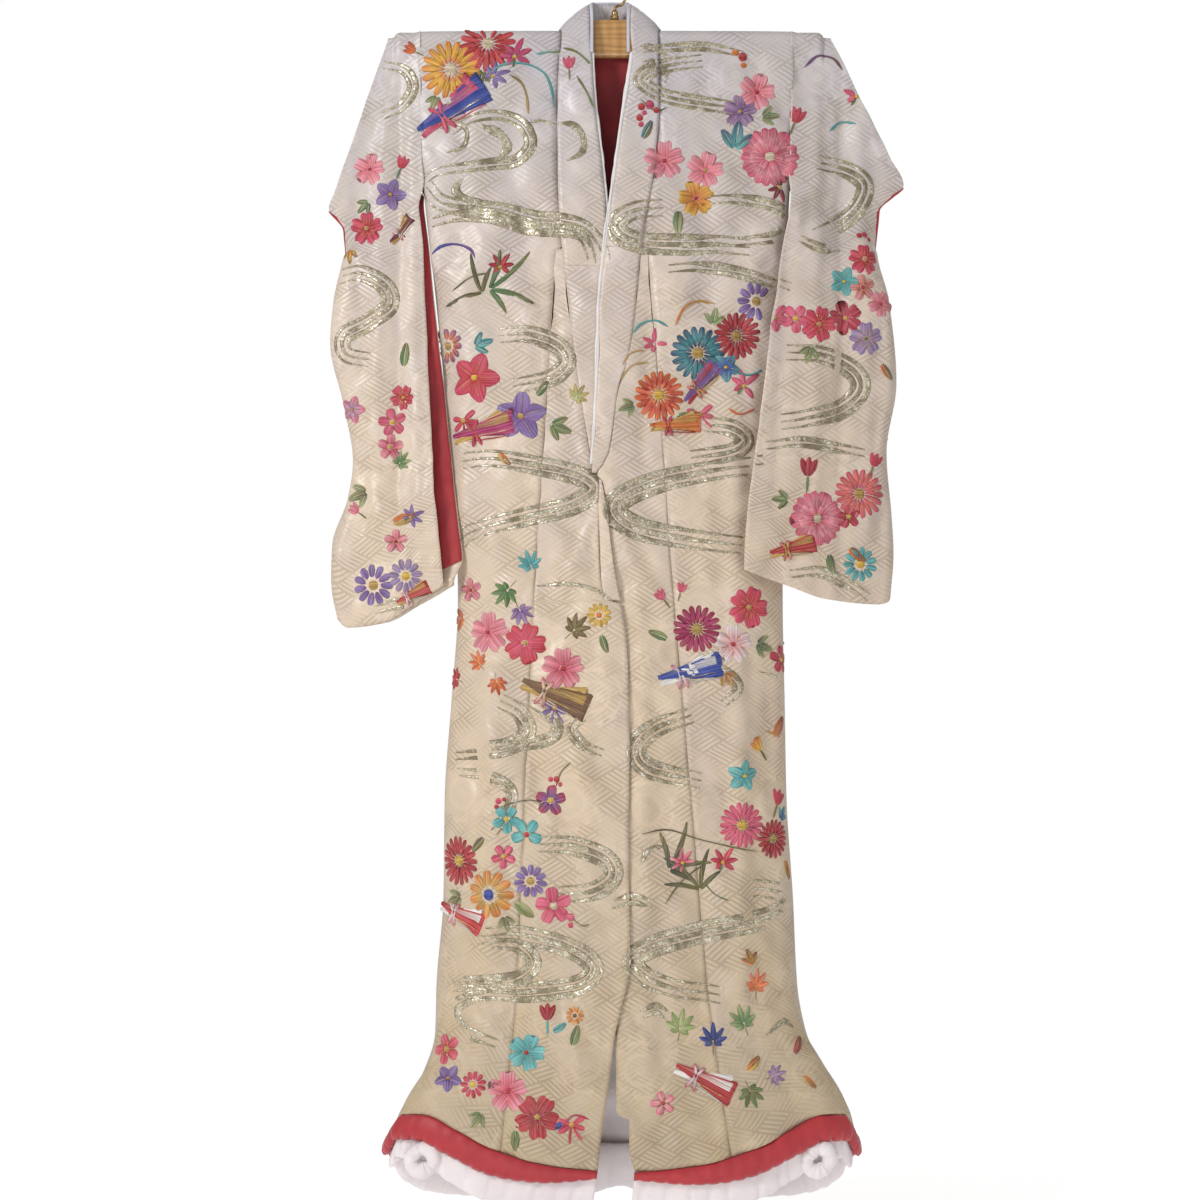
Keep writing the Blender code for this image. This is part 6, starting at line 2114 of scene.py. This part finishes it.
    ("leaves", 752, 962, 13, 1.9, "orange", "gold", "brown"),
    ("maple", 679, 1024, 20, 1.4, "lime", "leaf", "olive"),
    ("maple", 743, 1020, 20, 1.9, "green", "lime", "olive"),
    ("maple", 712, 1037, 19, 1.57, "navy", "blue", "dark"),
    ("packet", 704, 1074, 32, -0.42, "red", "white", "white"),
    ("maple", 748, 1085, 18, 5.1, "olive", "green", "dark"),
    ("leaf", 745, 1066, 12, 0.7, "orange", "yellow", "brown"),
    ("maple", 771, 1072, 15, 0.3, "mauve", "purple", "brown"),
    ("leaf", 793, 1052, 13, 1.0, "red", "crimson", "brown"),
    ("leaf", 802, 1072, 11, 5.4, "orange", "gold", "brown"),
    ("plum", 662, 1096, 12, 0.6, "pale", "pink", "red"),
    # the right sleeve
    ("iris", 860, 90, 18, 1.0, "pink", "rose", "olive"),
    ("berry", 868, 230, 3.6, 1.3, "red", "rose", "red"),
    ("cherry", 867, 256, 16, 1.57, "red", "rose", "gold"),
    ("bell", 846, 279, 15, 1.2, "teal", "aqua", "yellow"),
    ("plum", 865, 285, 13, 0.5, "salmon", "pale", "red"),
    ("cherry", 883, 301, 14, 1.0, "pink", "pale", "red"),
    ("plum", 796, 318, 14, 1.0, "pink", "rose", "yellow"),
    ("cherry", 820, 323, 18, 1.3, "red", "rose", "gold"),
    ("cherry", 847, 316, 17, 1.9, "rose", "red", "yellow"),
    ("cherry", 868, 337, 17, 1.57, "mauve", "violet", "olive"),
    ("leaves", 884, 361, 19, 5.9, "brown", "orange", "olive"),
    ("leaves", 812, 346, 14, 4.3, "green", "olive", "lime"),
    ("bud", 875, 466, 15, 1.2, "red", "rose", "olive"),
    ("bud", 808, 477, 20, 1.5, "crimson", "red", "green"),
    ("chrysanthemum", 861, 493, 24, 0.0, "salmon", "rose", "gold"),
    ("plum", 850, 516, 12, 0.5, "red", "rose", "yellow"),
    ("peony", 817, 518, 27, 0.4, "rose", "pale", "cream"),
    ("packet", 793, 547, 25, 0.25, "red", "gold", "gold"),
    ("leaf", 762, 541, 16, 3.4, "gold", "orange", "brown"),
    ("leaf", 830, 553, 14, 4.8, "dark", "green", "lime"),
    ("leaf", 850, 547, 14, 5.5, "brown", "orange", "brown"),
    ("daisy", 862, 564, 17, 0.3, "teal", "aqua", "yellow"),
    ("leaves", 788, 500, 13, 3.0, "green", "leaf", "olive"),
)]

# how much larger motifs and bands are sewn, and how much wider strands are spaced, than in the
# tables, then the share of a band's ends that narrows and a ribbon's thickness in metres
MOTIF_SWELL = 1.1
BAND_SWELL = 2.45
BAND_SPREAD = 1.45
BAND_TAPER = 0.34
RIBBON_HEIGHT = 0.0008

RIBBONS = (
    # width in millimetres, the threads at its ends, then its path
    (5.5, "aqua", "teal", (487, 70), (503, 60), (525, 59), (543, 68), (551, 84), (554, 104)),
    (4.5, "aqua", "leaf", (535, 49), (549, 47), (560, 47)),
    (5.0, "olive", "leaf", (560, 43), (575, 47), (588, 58), (594, 68)),
    (4.5, "olive", "leaf", (576, 72), (586, 88), (594, 106)),
    (5.0, "olive", "gold", (508, 70), (520, 78), (526, 92), (528, 112)),
    (6.0, "blue", "purple", (430, 252), (440, 244), (456, 242), (470, 248), (475, 258)),
    (3.0, "dark", "olive", (451, 290), (470, 276), (490, 271)),
    (5.0, "aqua", "teal", (632, 334), (641, 324), (655, 320), (669, 327)),
    (5.0, "orange", "gold", (675, 326), (684, 308), (699, 300), (716, 303)),
    (3.2, "gold", "gold", (622, 366), (630, 354), (645, 350)),
    (3.2, "gold", "gold", (620, 380), (632, 366), (650, 362)),
    (5.0, "orange", "salmon", (728, 408), (740, 414), (756, 408)),
    (5.0, "teal", "aqua", (735, 372), (752, 374), (770, 364)),
    (5.5, "purple", "brown", (806, 62), (820, 50), (836, 52), (846, 64)),
    (5.0, "teal", "aqua", (832, 126), (844, 116), (860, 118)),
    (2.2, "olive", "dark", (548, 812), (538, 800), (520, 800), (500, 806)),
    (2.2, "dark", "olive", (556, 786), (562, 770), (572, 760)),
    (3.0, "dark", "olive", (640, 832), (668, 828), (700, 838), (734, 846), (758, 851)),
    (3.0, "olive", "dark", (664, 902), (680, 880), (706, 860)),
    (2.4, "dark", "green", (703, 880), (714, 892), (729, 899)),
    (4.0, "orange", "gold", (752, 742), (766, 732), (782, 738)),
    (2.2, "brown", "olive", (570, 912), (582, 922), (590, 920)),
    (2.2, "olive", "dark", (640, 96), (655, 108), (668, 104)),
    (4.5, "magenta", "red", (560, 1122), (574, 1108), (590, 1112)),
    (4.0, "gold", "orange", (436, 560), (450, 548), (458, 530)),
)

WATER = (
    # strands, their width and spacing in millimetres, then their path
    (2, 5.0, 8.0, (450, 128), (470, 116), (500, 112), (522, 122), (530, 142), (516, 158), (490, 162),
     (440, 168), (424, 176)),
    (1, 9.0, 0.0, (480, 122), (500, 132), (507, 144), (498, 156)),
    (1, 5.0, 0.0, (432, 124), (452, 118), (466, 128), (462, 144), (444, 150)),
    (1, 6.5, 0.0, (556, 121), (572, 122), (583, 134), (582, 150), (566, 159)),
    (1, 3.5, 0.0, (528, 120), (540, 118), (556, 122)),
    (3, 5.0, 8.0, (424, 182), (440, 200), (470, 206), (505, 211), (535, 219), (560, 222), (583, 228),
     (598, 244), (603, 262)),
    (2, 6.0, 8.5, (424, 222), (455, 214), (490, 216), (528, 226), (556, 229), (582, 236), (592, 258)),
    (1, 8.0, 0.0, (462, 176), (455, 188), (468, 198), (490, 203)),
    (3, 4.5, 7.5, (498, 335), (530, 334), (558, 345), (567, 362), (550, 378), (512, 386)),
    (3, 5.0, 8.0, (450, 462), (490, 458), (540, 466), (580, 476), (594, 490), (570, 506), (520, 518),
     (470, 532), (456, 546)),
    (1, 4.0, 0.0, (536, 586), (570, 584), (596, 590), (614, 602)),
    (3, 4.5, 7.5, (500, 700), (520, 712), (528, 730), (514, 744), (480, 750), (448, 754)),
    (2, 5.0, 8.0, (530, 702), (552, 716), (556, 732), (538, 742), (500, 746)),
    (2, 4.5, 7.5, (450, 772), (490, 776), (512, 790), (508, 812), (494, 832)),
    (2, 4.5, 7.0, (585, 716), (572, 728), (584, 744), (604, 752)),
    (3, 5.0, 8.0, (538, 842), (575, 844), (606, 856), (612, 874), (592, 888), (556, 892)),
    (3, 5.0, 8.0, (478, 934), (520, 932), (570, 944), (594, 962), (580, 980), (530, 988), (470, 988),
     (440, 994)),
    (2, 6.5, 9.5, (492, 940), (520, 944), (534, 960), (520, 974), (490, 980), (452, 980)),
    (2, 5.5, 8.5, (500, 992), (470, 996), (454, 1008), (462, 1026), (500, 1040)),
    (2, 4.0, 6.5, (640, 46), (676, 42), (712, 42), (746, 50)),
    (3, 4.0, 6.5, (704, 56), (664, 62), (641, 76), (664, 92), (704, 100), (742, 105)),
    (3, 5.5, 8.5, (664, 206), (634, 210), (615, 225), (632, 240), (680, 244), (720, 243), (752, 246)),
    (2, 5.0, 8.0, (706, 198), (748, 198), (780, 206), (791, 220), (772, 236), (726, 240)),
    (2, 5.0, 8.0, (668, 268), (700, 266), (742, 272), (792, 286)),
    (3, 4.5, 7.5, (704, 424), (732, 428), (746, 440), (730, 452), (690, 458)),
    (3, 6.0, 9.0, (764, 464), (716, 470), (660, 482), (622, 498), (616, 514), (642, 530), (696, 540),
     (748, 546)),
    (2, 4.5, 7.5, (700, 668), (724, 672), (738, 688), (722, 704)),
    (2, 4.5, 7.5, (758, 668), (778, 674), (788, 690), (770, 708), (738, 716)),
    (3, 5.0, 8.0, (692, 714), (654, 728), (636, 748), (650, 768), (702, 780)),
    (1, 5.0, 0.0, (640, 862), (648, 848), (664, 844)),
    (3, 5.5, 8.5, (734, 886), (772, 890), (792, 902), (764, 918), (700, 930), (648, 944), (632, 960),
     (660, 980), (722, 992)),
    (2, 5.0, 8.0, (762, 1030), (782, 1016), (796, 1024)), (1, 7.0, 0.0, (640, 42), (656, 44), (668, 52)),
    (2, 4.0, 7.0, (642, 62), (654, 60), (664, 68), (662, 78)),
    (2, 4.5, 7.5, (380, 58), (402, 64), (411, 82), (400, 100), (380, 110)),
    (3, 4.5, 7.5, (334, 274), (358, 270), (384, 284), (388, 304), (366, 320), (342, 334), (344, 352),
     (368, 358)),
    (2, 4.5, 7.5, (372, 610), (400, 604), (440, 606)), (1, 4.5, 0.0, (420, 420), (432, 440), (436, 470)),
    (3, 4.5, 7.5, (818, 158), (848, 164), (868, 180), (860, 204), (838, 222), (816, 234)),
    (3, 5.0, 8.0, (786, 352), (822, 354), (854, 368), (862, 388), (842, 408), (806, 418), (780, 422)),
    (2, 4.5, 7.5, (764, 446), (800, 442), (834, 446), (868, 452)),
    (2, 4.5, 7.5, (788, 574), (820, 572), (850, 584), (872, 598)),
    (2, 4.5, 7.5, (640, 1010), (655, 1004), (668, 1012)), (2, 4.5, 7.5, (610, 902), (634, 896), (654, 902)),
    (2, 4.0, 6.5, (800, 236), (822, 246), (842, 244)),
)


@dataclass
class Embroidery:
    """All the needlework: silk motifs, ribbons and metal-thread water, front and back."""

    cloth: "list[bpy.types.Object]"

    def build(self) -> None:
        """Makes it, a few meshes a side."""
        ground = Ground(self.cloth)
        for name, sight in (("front", Sight(-1)), ("back", Sight(1, (0.02, -0.035)))):
            for part, low, high in (("left_sleeve", 0, 418), ("left", 418, 612), ("right", 612, 793),
                                    ("right_sleeve", 793, 1200)):
                thread, gold, silver = Basket(), Basket(), Basket()
                needle = Needle(ground, thread, gold)
                for strands, width, spacing, *path in WATER:
                    if low <= np.mean(path, axis=0)[0] < high:
                        for strand in range(strands):
                            shift = (strand - (strands - 1) / 2) * spacing * BAND_SPREAD / 1000
                            needle.ribbon(sight, path, width * BAND_SWELL / 1000, "white", "white", silver,
                                          shift, BAND_TAPER)
                for width, first, second, *path in RIBBONS:
                    if low <= np.mean(path, axis=0)[0] < high:
                        needle.ribbon(sight, path, width / 1000, first, second, height=RIBBON_HEIGHT)
                for motif in MOTIFS:
                    if low <= motif.column < high:
                        at = ground.frame(sight, *sight.spot(motif.column, motif.row))
                        if at:
                            size = motif.size * MOTIF_SWELL * PIXEL
                            needle.kinds[motif.kind](at, size, motif.turn, motif.first, motif.second,
                                                     motif.middle)
                thread.mesh(f"embroidery_{name}_{part}", Finishes.THREAD)
                gold.mesh(f"gold_couching_{name}_{part}", Finishes.GOLD)
                silver.mesh(f"water_bands_{name}_{part}", Finishes.SILVER)


@dataclass
class HemRolls:
    """The padded hem: a red band below the silk and a thick white roll inside it."""

    around: int = 11
    stitch_step: float = 0.021
    tuck_step: float = 0.034

    def frame(self, turns: np.ndarray, face: int) -> "tuple[np.ndarray, np.ndarray, np.ndarray]":
        """The silk edge's points at some angles, with the ways down the cloth and out of it."""
        low = body_points(turns, np.full_like(turns, HEM_Z), face)
        down = low - body_points(turns, np.full_like(turns, HEM_Z + 0.03), face)
        beside = body_points(turns + 0.01, np.full_like(turns, HEM_Z), face)
        beside -= body_points(turns - 0.01, np.full_like(turns, HEM_Z), face)
        end = abs(turns) > np.pi / 2 - 0.011
        down[end, 1] = 0
        beside[end] = (0, 1.0, 0)
        down /= np.linalg.norm(down, axis=1, keepdims=True)
        out = np.cross(down, beside)
        out /= np.linalg.norm(out, axis=1, keepdims=True)
        out *= np.where((out[:, 0] * low[:, 0] + out[:, 1] * low[:, 1]) < 0, -1, 1)[:, None]
        low[end, 1] = -face * 0.0008
        return low, down, out

    def build(self) -> None:
        """Makes the rolls below each front and the back."""
        ends = [float(turn_of(LINES[side].at("edge", HEM_Z), HEM_Z)) for side in ("left", "right")]
        for where, face, start, end in (
            ("front_left", -1, -np.pi / 2, ends[0]), ("front_right", -1, np.pi / 2, ends[1]),
            ("back", 1, -np.pi / 2, np.pi / 2),
        ):
            turns = np.linspace(start, end, 190 if face < 0 else 330)
            low, down, out = self.frame(turns, face)
            reach = abs(turns - end) / abs(start
                                           - end) if face < 0 else abs(np.sin(turns)) ** (2 / SECTION_POWER)
            length = np.concatenate([[0], np.cumsum(np.linalg.norm(np.diff(low, axis=0), axis=1))])
            source = np.random.default_rng(len(where))
            self.red(where, low, down, out, reach, length)
            self.white(where, low, down, out, reach, length, turns, source)
        self.coil("left", -0.296, -1.858, -0.06, source)
        self.coil("right", 0.322, -1.858, -0.062, source)

    def red(self, where: str, low: np.ndarray, down: np.ndarray, out: np.ndarray, reach: np.ndarray,
            length: np.ndarray) -> None:
        """The red band, with a dimple at each stitch along its lower edge."""
        depth = ROLLS.at("red", reach) * 1.22
        phase = length / self.stitch_step
        dimple = np.exp(-(((phase % 1) - 0.5) / 0.16) ** 2)
        share = np.concatenate([np.linspace(0, 1, self.around), np.linspace(1, 0, self.around)[1:]])
        outer_side = np.arange(len(share)) < self.around
        level = np.where(outer_side, RED_SECTION.at("outer", share), RED_SECTION.at("inner", share))
        puff = np.where(outer_side, 0.0022 * np.sin(np.pi * share) ** 0.7, 0)
        pinch = 0.0026 * np.exp(-(((share - 0.86) / 0.16) ** 2)) * outer_side
        along = HEM_SEAM + (depth[:, None] - HEM_SEAM - 0.0016 * dimple[:, None]
                            * soft_step((share - 0.6) / 0.4)) * share
        raised = level + puff - pinch * dimple[:,
                                               None] + 0.0004 * np.sin(length * 260)[:, None] * outer_side
        rings = low[:, None] + down[:, None] * along[..., None] + out[:, None] * raised[..., None]
        piece = tube(f"red_band_{where}", rings)
        Dresser.dress(piece, Finishes.RED_HEM, f"red_hem_roll_{where}")

    def coil(self, side: str, x: float, z: float, y: float, source: np.random.Generator) -> None:
        """The curled end of the white padding at the hem's corner, drawn in round a hollow."""
        near = np.array([tuple(vertex.co)
                         for vertex in bpy.data.objects[f"white_roll_front_{side}"].data.vertices])
        near = near[np.hypot(near[:, 0] - x, near[:, 2] - z) < 0.022]
        y = float(near[:, 1].min()) + 0.003 if len(near) else y
        turn = np.linspace(0, 2 * np.pi, 96, endpoint=False)
        angle = np.linspace(0, 2 * np.pi, 22, endpoint=False)
        tucks = source.uniform(0, 2 * np.pi, 13)
        tuck = sum(np.exp(-((np.angle(np.exp(1j * (turn - spot))) / 0.1) ** 2)) for spot in tucks)
        major = 0.018 * (1 + 0.1 * np.sin(2 * turn + 0.6))
        minor = 0.013 * (1 - 0.11 * np.clip(tuck, 0, 1)) * (1 + 0.1 * np.sin(3 * turn))
        away = major[:, None] + minor[:, None] * np.cos(angle)
        rings = np.stack([
            x + away * np.cos(turn)[:, None] * 0.95, y - 0.9 * minor[:, None] * np.sin(angle),
            z + away * np.sin(turn)[:, None],
        ], axis=-1)
        faces = grid_faces(97, 22, wrap=True) % (96 * 22)
        points = rings.reshape(-1, 3)
        piece = make_mesh(f"white_coil_end_{side}", points, outward(points, faces),
                          np.zeros((len(points), 2)))
        Dresser.dress(piece, Finishes.WHITE)

    def white(self, where: str, low: np.ndarray, down: np.ndarray, out: np.ndarray, reach: np.ndarray,
              length: np.ndarray, turns: np.ndarray, source: np.random.Generator) -> None:
        """The white roll, drawn in by soft tucks across it."""
        depth = ROLLS.at("white", reach) * (1 + (where != "back") * 0.3 * soft_step((1 - reach) / 0.2))
        thick = WHITE_THICKNESS * (1 - 0.35 * abs(np.sin(turns)) ** 12)
        places = np.arange(0.012, length[-1], self.tuck_step)
        places = places + source.uniform(-0.009, 0.009, len(places))
        strength = source.uniform(0.35, 1.0, len(places))
        tuck = np.zeros_like(length)
        for spot, force in zip(places, strength):
            tuck = np.maximum(tuck, force * np.exp(-(((length - spot) / 0.0048) ** 2)))
        angle = np.linspace(0, 2 * np.pi, 32, endpoint=False)
        middle = (depth - WHITE_HIDDEN) / 2
        lobe = 1 - 0.045 * tuck[:, None] + 0.012 * np.sin(3 * angle[None] + 9 * length[:, None] * 20)
        along = middle[:, None] + ((depth + WHITE_HIDDEN) / 2)[:, None] * np.cos(angle) * lobe
        inward = WHITE_INSET + (thick / 2)[:, None] * (1 - np.sin(angle) * (1 - 0.3 * tuck[:, None]))
        rings = low[:, None] + down[:, None] * along[..., None] - out[:, None] * inward[..., None]
        piece = tube(f"white_roll_{where}", rings)
        Dresser.dress(piece, Finishes.WHITE, f"white_hem_roll_{where}")


@dataclass
class Hanger:
    """The wide straight bar with its raised middle, the ferrule and the hook."""

    corner_steps: int = 6

    def build(self) -> None:
        """Makes the bar, the ferrule and the hook."""
        ends = BAR_HALF - BAR_RADIUS * (1 - np.cos(np.linspace(0, np.pi / 2, 8)))
        half = -np.concatenate([ends, np.linspace(0.3, 0.09, 10), np.linspace(0.086, 0.0, 36)])
        rings = []
        for x in np.concatenate([half, -half[-2::-1]]):
            top, bottom = float(BAR.at("top", abs(x))), float(BAR.at("bottom", abs(x)))
            inset = BAR_HALF - abs(x)
            radius = BAR_RADIUS
            if inset < BAR_RADIUS:
                radius = math.sqrt(max(BAR_RADIUS**2 - (BAR_RADIUS - inset) ** 2, 0.002**2))
            corner = min(radius, BAR_RADIUS) * 0.8
            ring = []
            for sx, sz, start in ((1, 1, 0), (-1, 1, 90), (-1, -1, 180), (1, -1, 270)):
                for angle in np.radians(np.linspace(start, start + 90, self.corner_steps)):
                    y = sx * (radius - corner) + corner * math.cos(angle)
                    z = (top - corner if sz > 0 else bottom + corner) + corner * math.sin(angle)
                    ring.append((x + BAR_SHIFT, y, z))
            rings.append(ring)
        Dresser.dress(tube("wooden_bar", np.array(rings)), Finishes.WOOD, "hanger_bar")
        self.ferrule()
        self.hook()

    def ferrule(self) -> None:
        """The turned brass foot of the hook."""
        profile = [(1.0, 0.0), (1.06, 0.0006), (1.06, 0.0016), (0.92, 0.0022), (0.92, 0.0034),
                   (1.0, 0.004), (0.98, 0.0048),
                   (0.78, 0.0056), (0.74, 0.009), (0.8, 0.0098), (0.8, 0.0108), (0.66, 0.0118),
                   (0.6, 0.0134), (0.48, 0.0142)]
        angle = np.linspace(0, 2 * np.pi, 40, endpoint=False)
        rings = np.array([
            np.stack([HOOK_X + 0.0065 * r * np.cos(angle), 0.0065 * r * np.sin(angle),
                      np.full(40, FERRULE_FOOT_Z + z)], axis=1)
            for r, z in profile
        ])
        Dresser.dress(tube("brass_ferrule", rings), Finishes.BRASS, "hanger_ferrule")

    def hook(self) -> None:
        """The round hook, whose inner top is the origin."""
        radius = HOOK_RADIUS + HOOK_WIRE
        angles = np.radians(np.linspace(-52, 200, 70))
        bend = np.stack([radius * np.cos(angles), 0 * angles, -HOOK_RADIUS + radius * np.sin(angles)],
                        axis=1)
        stem_x = bend[0, 0]
        knots = np.array([
            (HOOK_X, 0, FERRULE_TOP_Z + SEAM_GAP), (HOOK_X, 0, FERRULE_TOP_Z + 0.003),
            (HOOK_X + (stem_x - HOOK_X) * 0.3, 0, FERRULE_TOP_Z + 0.0062),
            (HOOK_X + (stem_x - HOOK_X) * 0.7, 0, FERRULE_TOP_Z + 0.0078),
        ])
        path = np.concatenate([knots, bend])
        along = np.gradient(path, axis=0)
        along /= np.linalg.norm(along, axis=1, keepdims=True)
        side = np.cross(along, [0, 1.0, 0])
        side /= np.linalg.norm(side, axis=1, keepdims=True)
        angle = np.linspace(0, 2 * np.pi, 20, endpoint=False)
        width = np.full(len(path), HOOK_WIRE)
        width[-4:] = HOOK_WIRE * np.array([0.98, 0.9, 0.72, 0.4])
        cosine, sine = np.cos(angle)[None, :, None], np.sin(angle)[None, :, None]
        ring = cosine * side[:, None] + sine * np.array([0, 1.0, 0])
        Dresser.dress(tube("brass_hook", path[:, None] + width[:, None, None] * ring), Finishes.BRASS,
                      "hanger_hook")


@dataclass
class Studio:
    """The pale floor, the soft lights and the camera."""

    distance: float = 4.5
    view_width: float = 1.884
    middle: "tuple[float, float]" = (-0.0188, -0.985)
    floor_z: float = -2.035

    def build(self) -> None:
        """Makes them all."""
        scene = bpy.context.scene
        camera = bpy.data.objects.new("camera", bpy.data.cameras.new("camera"))
        camera.location = (self.middle[0], -self.distance - 0.06, self.middle[1])
        camera.rotation_euler = (math.pi / 2, 0, 0)
        camera.data.sensor_width = 36
        camera.data.lens = 36 * self.distance / self.view_width
        camera.data.clip_end = 60
        scene.collection.objects.link(camera)
        scene.camera = camera
        floor = make_mesh("pale_floor",
                          np.array([(-2.4, -1.4, 0), (2.4, -1.4, 0), (2.4, 1.3, 0), (-2.4, 1.3, 0)],
                                   float) + (0, 0, self.floor_z), np.array([[0, 1, 2, 3]]))
        pale = bpy.data.materials.new("pale_floor")
        pale.use_nodes = True
        shader = pale.node_tree.nodes["Principled BSDF"].inputs
        shader["Base Color"].default_value = (0.92, 0.92, 0.92, 1)
        shader["Roughness"].default_value = 0.8
        shader["Emission Color"].default_value = (1, 1, 1, 1)
        shader["Emission Strength"].default_value = 0.42
        floor.data.materials.append(pale)
        world = bpy.data.worlds.new("studio")
        world.use_nodes = True
        scene.world = world
        pen = Pen(world.node_tree)
        sky = world.node_tree.nodes["Background"]
        sky.inputs["Color"].default_value = (1, 1, 1, 1)
        pen.feed(sky.inputs["Strength"],
                 pen.calc("MULTIPLY_ADD", pen.add("LightPath").outputs["Is Camera Ray"], 0.58, 0.42))
        for name, spot, aim, size, power in (
            ("key_light", (-2.9, -2.9, 0.7), (0, 0, -0.9), 1.1, 90.0),
            ("fill_light", (2.6, -3.4, -0.2), (0, 0, -1.0), 2.4, 17.0),
            ("low_light", (-0.4, -3.0, -1.7), (0, 0, -1.9), 1.0, 14.0),
            ("back_light", (0.6, 4.0, 0.8), (0, 0, -1.0), 2.4, 55.0),
        ):
            light = bpy.data.lights.new(name, "AREA")
            light.size, light.energy = size, power
            lamp = bpy.data.objects.new(name, light)
            lamp.location = spot
            lamp.rotation_euler = (Vector(aim) - Vector(spot)).to_track_quat("-Z", "Y").to_euler()
            scene.collection.objects.link(lamp)
        scene.view_settings.view_transform = "Standard"
        scene.view_settings.look = "None"


def main() -> None:
    """Builds the garment piece by piece, then the studio."""
    logging.basicConfig(level=logging.INFO, format="%(name)s %(message)s")
    Studio().build()
    Hanger().build()
    body = Body()
    body.build()
    collar = Collar()
    collar.build(body.ripples)
    sleeves = [Sleeve("left"), Sleeve("right")]
    for sleeve in sleeves:
        sleeve.build()
    HemRolls().build()
    cloth = body.outer + collar.outer + [piece for sleeve in sleeves for piece in sleeve.outer]
    Embroidery(cloth).build()


if __name__ == "__main__":
    main()
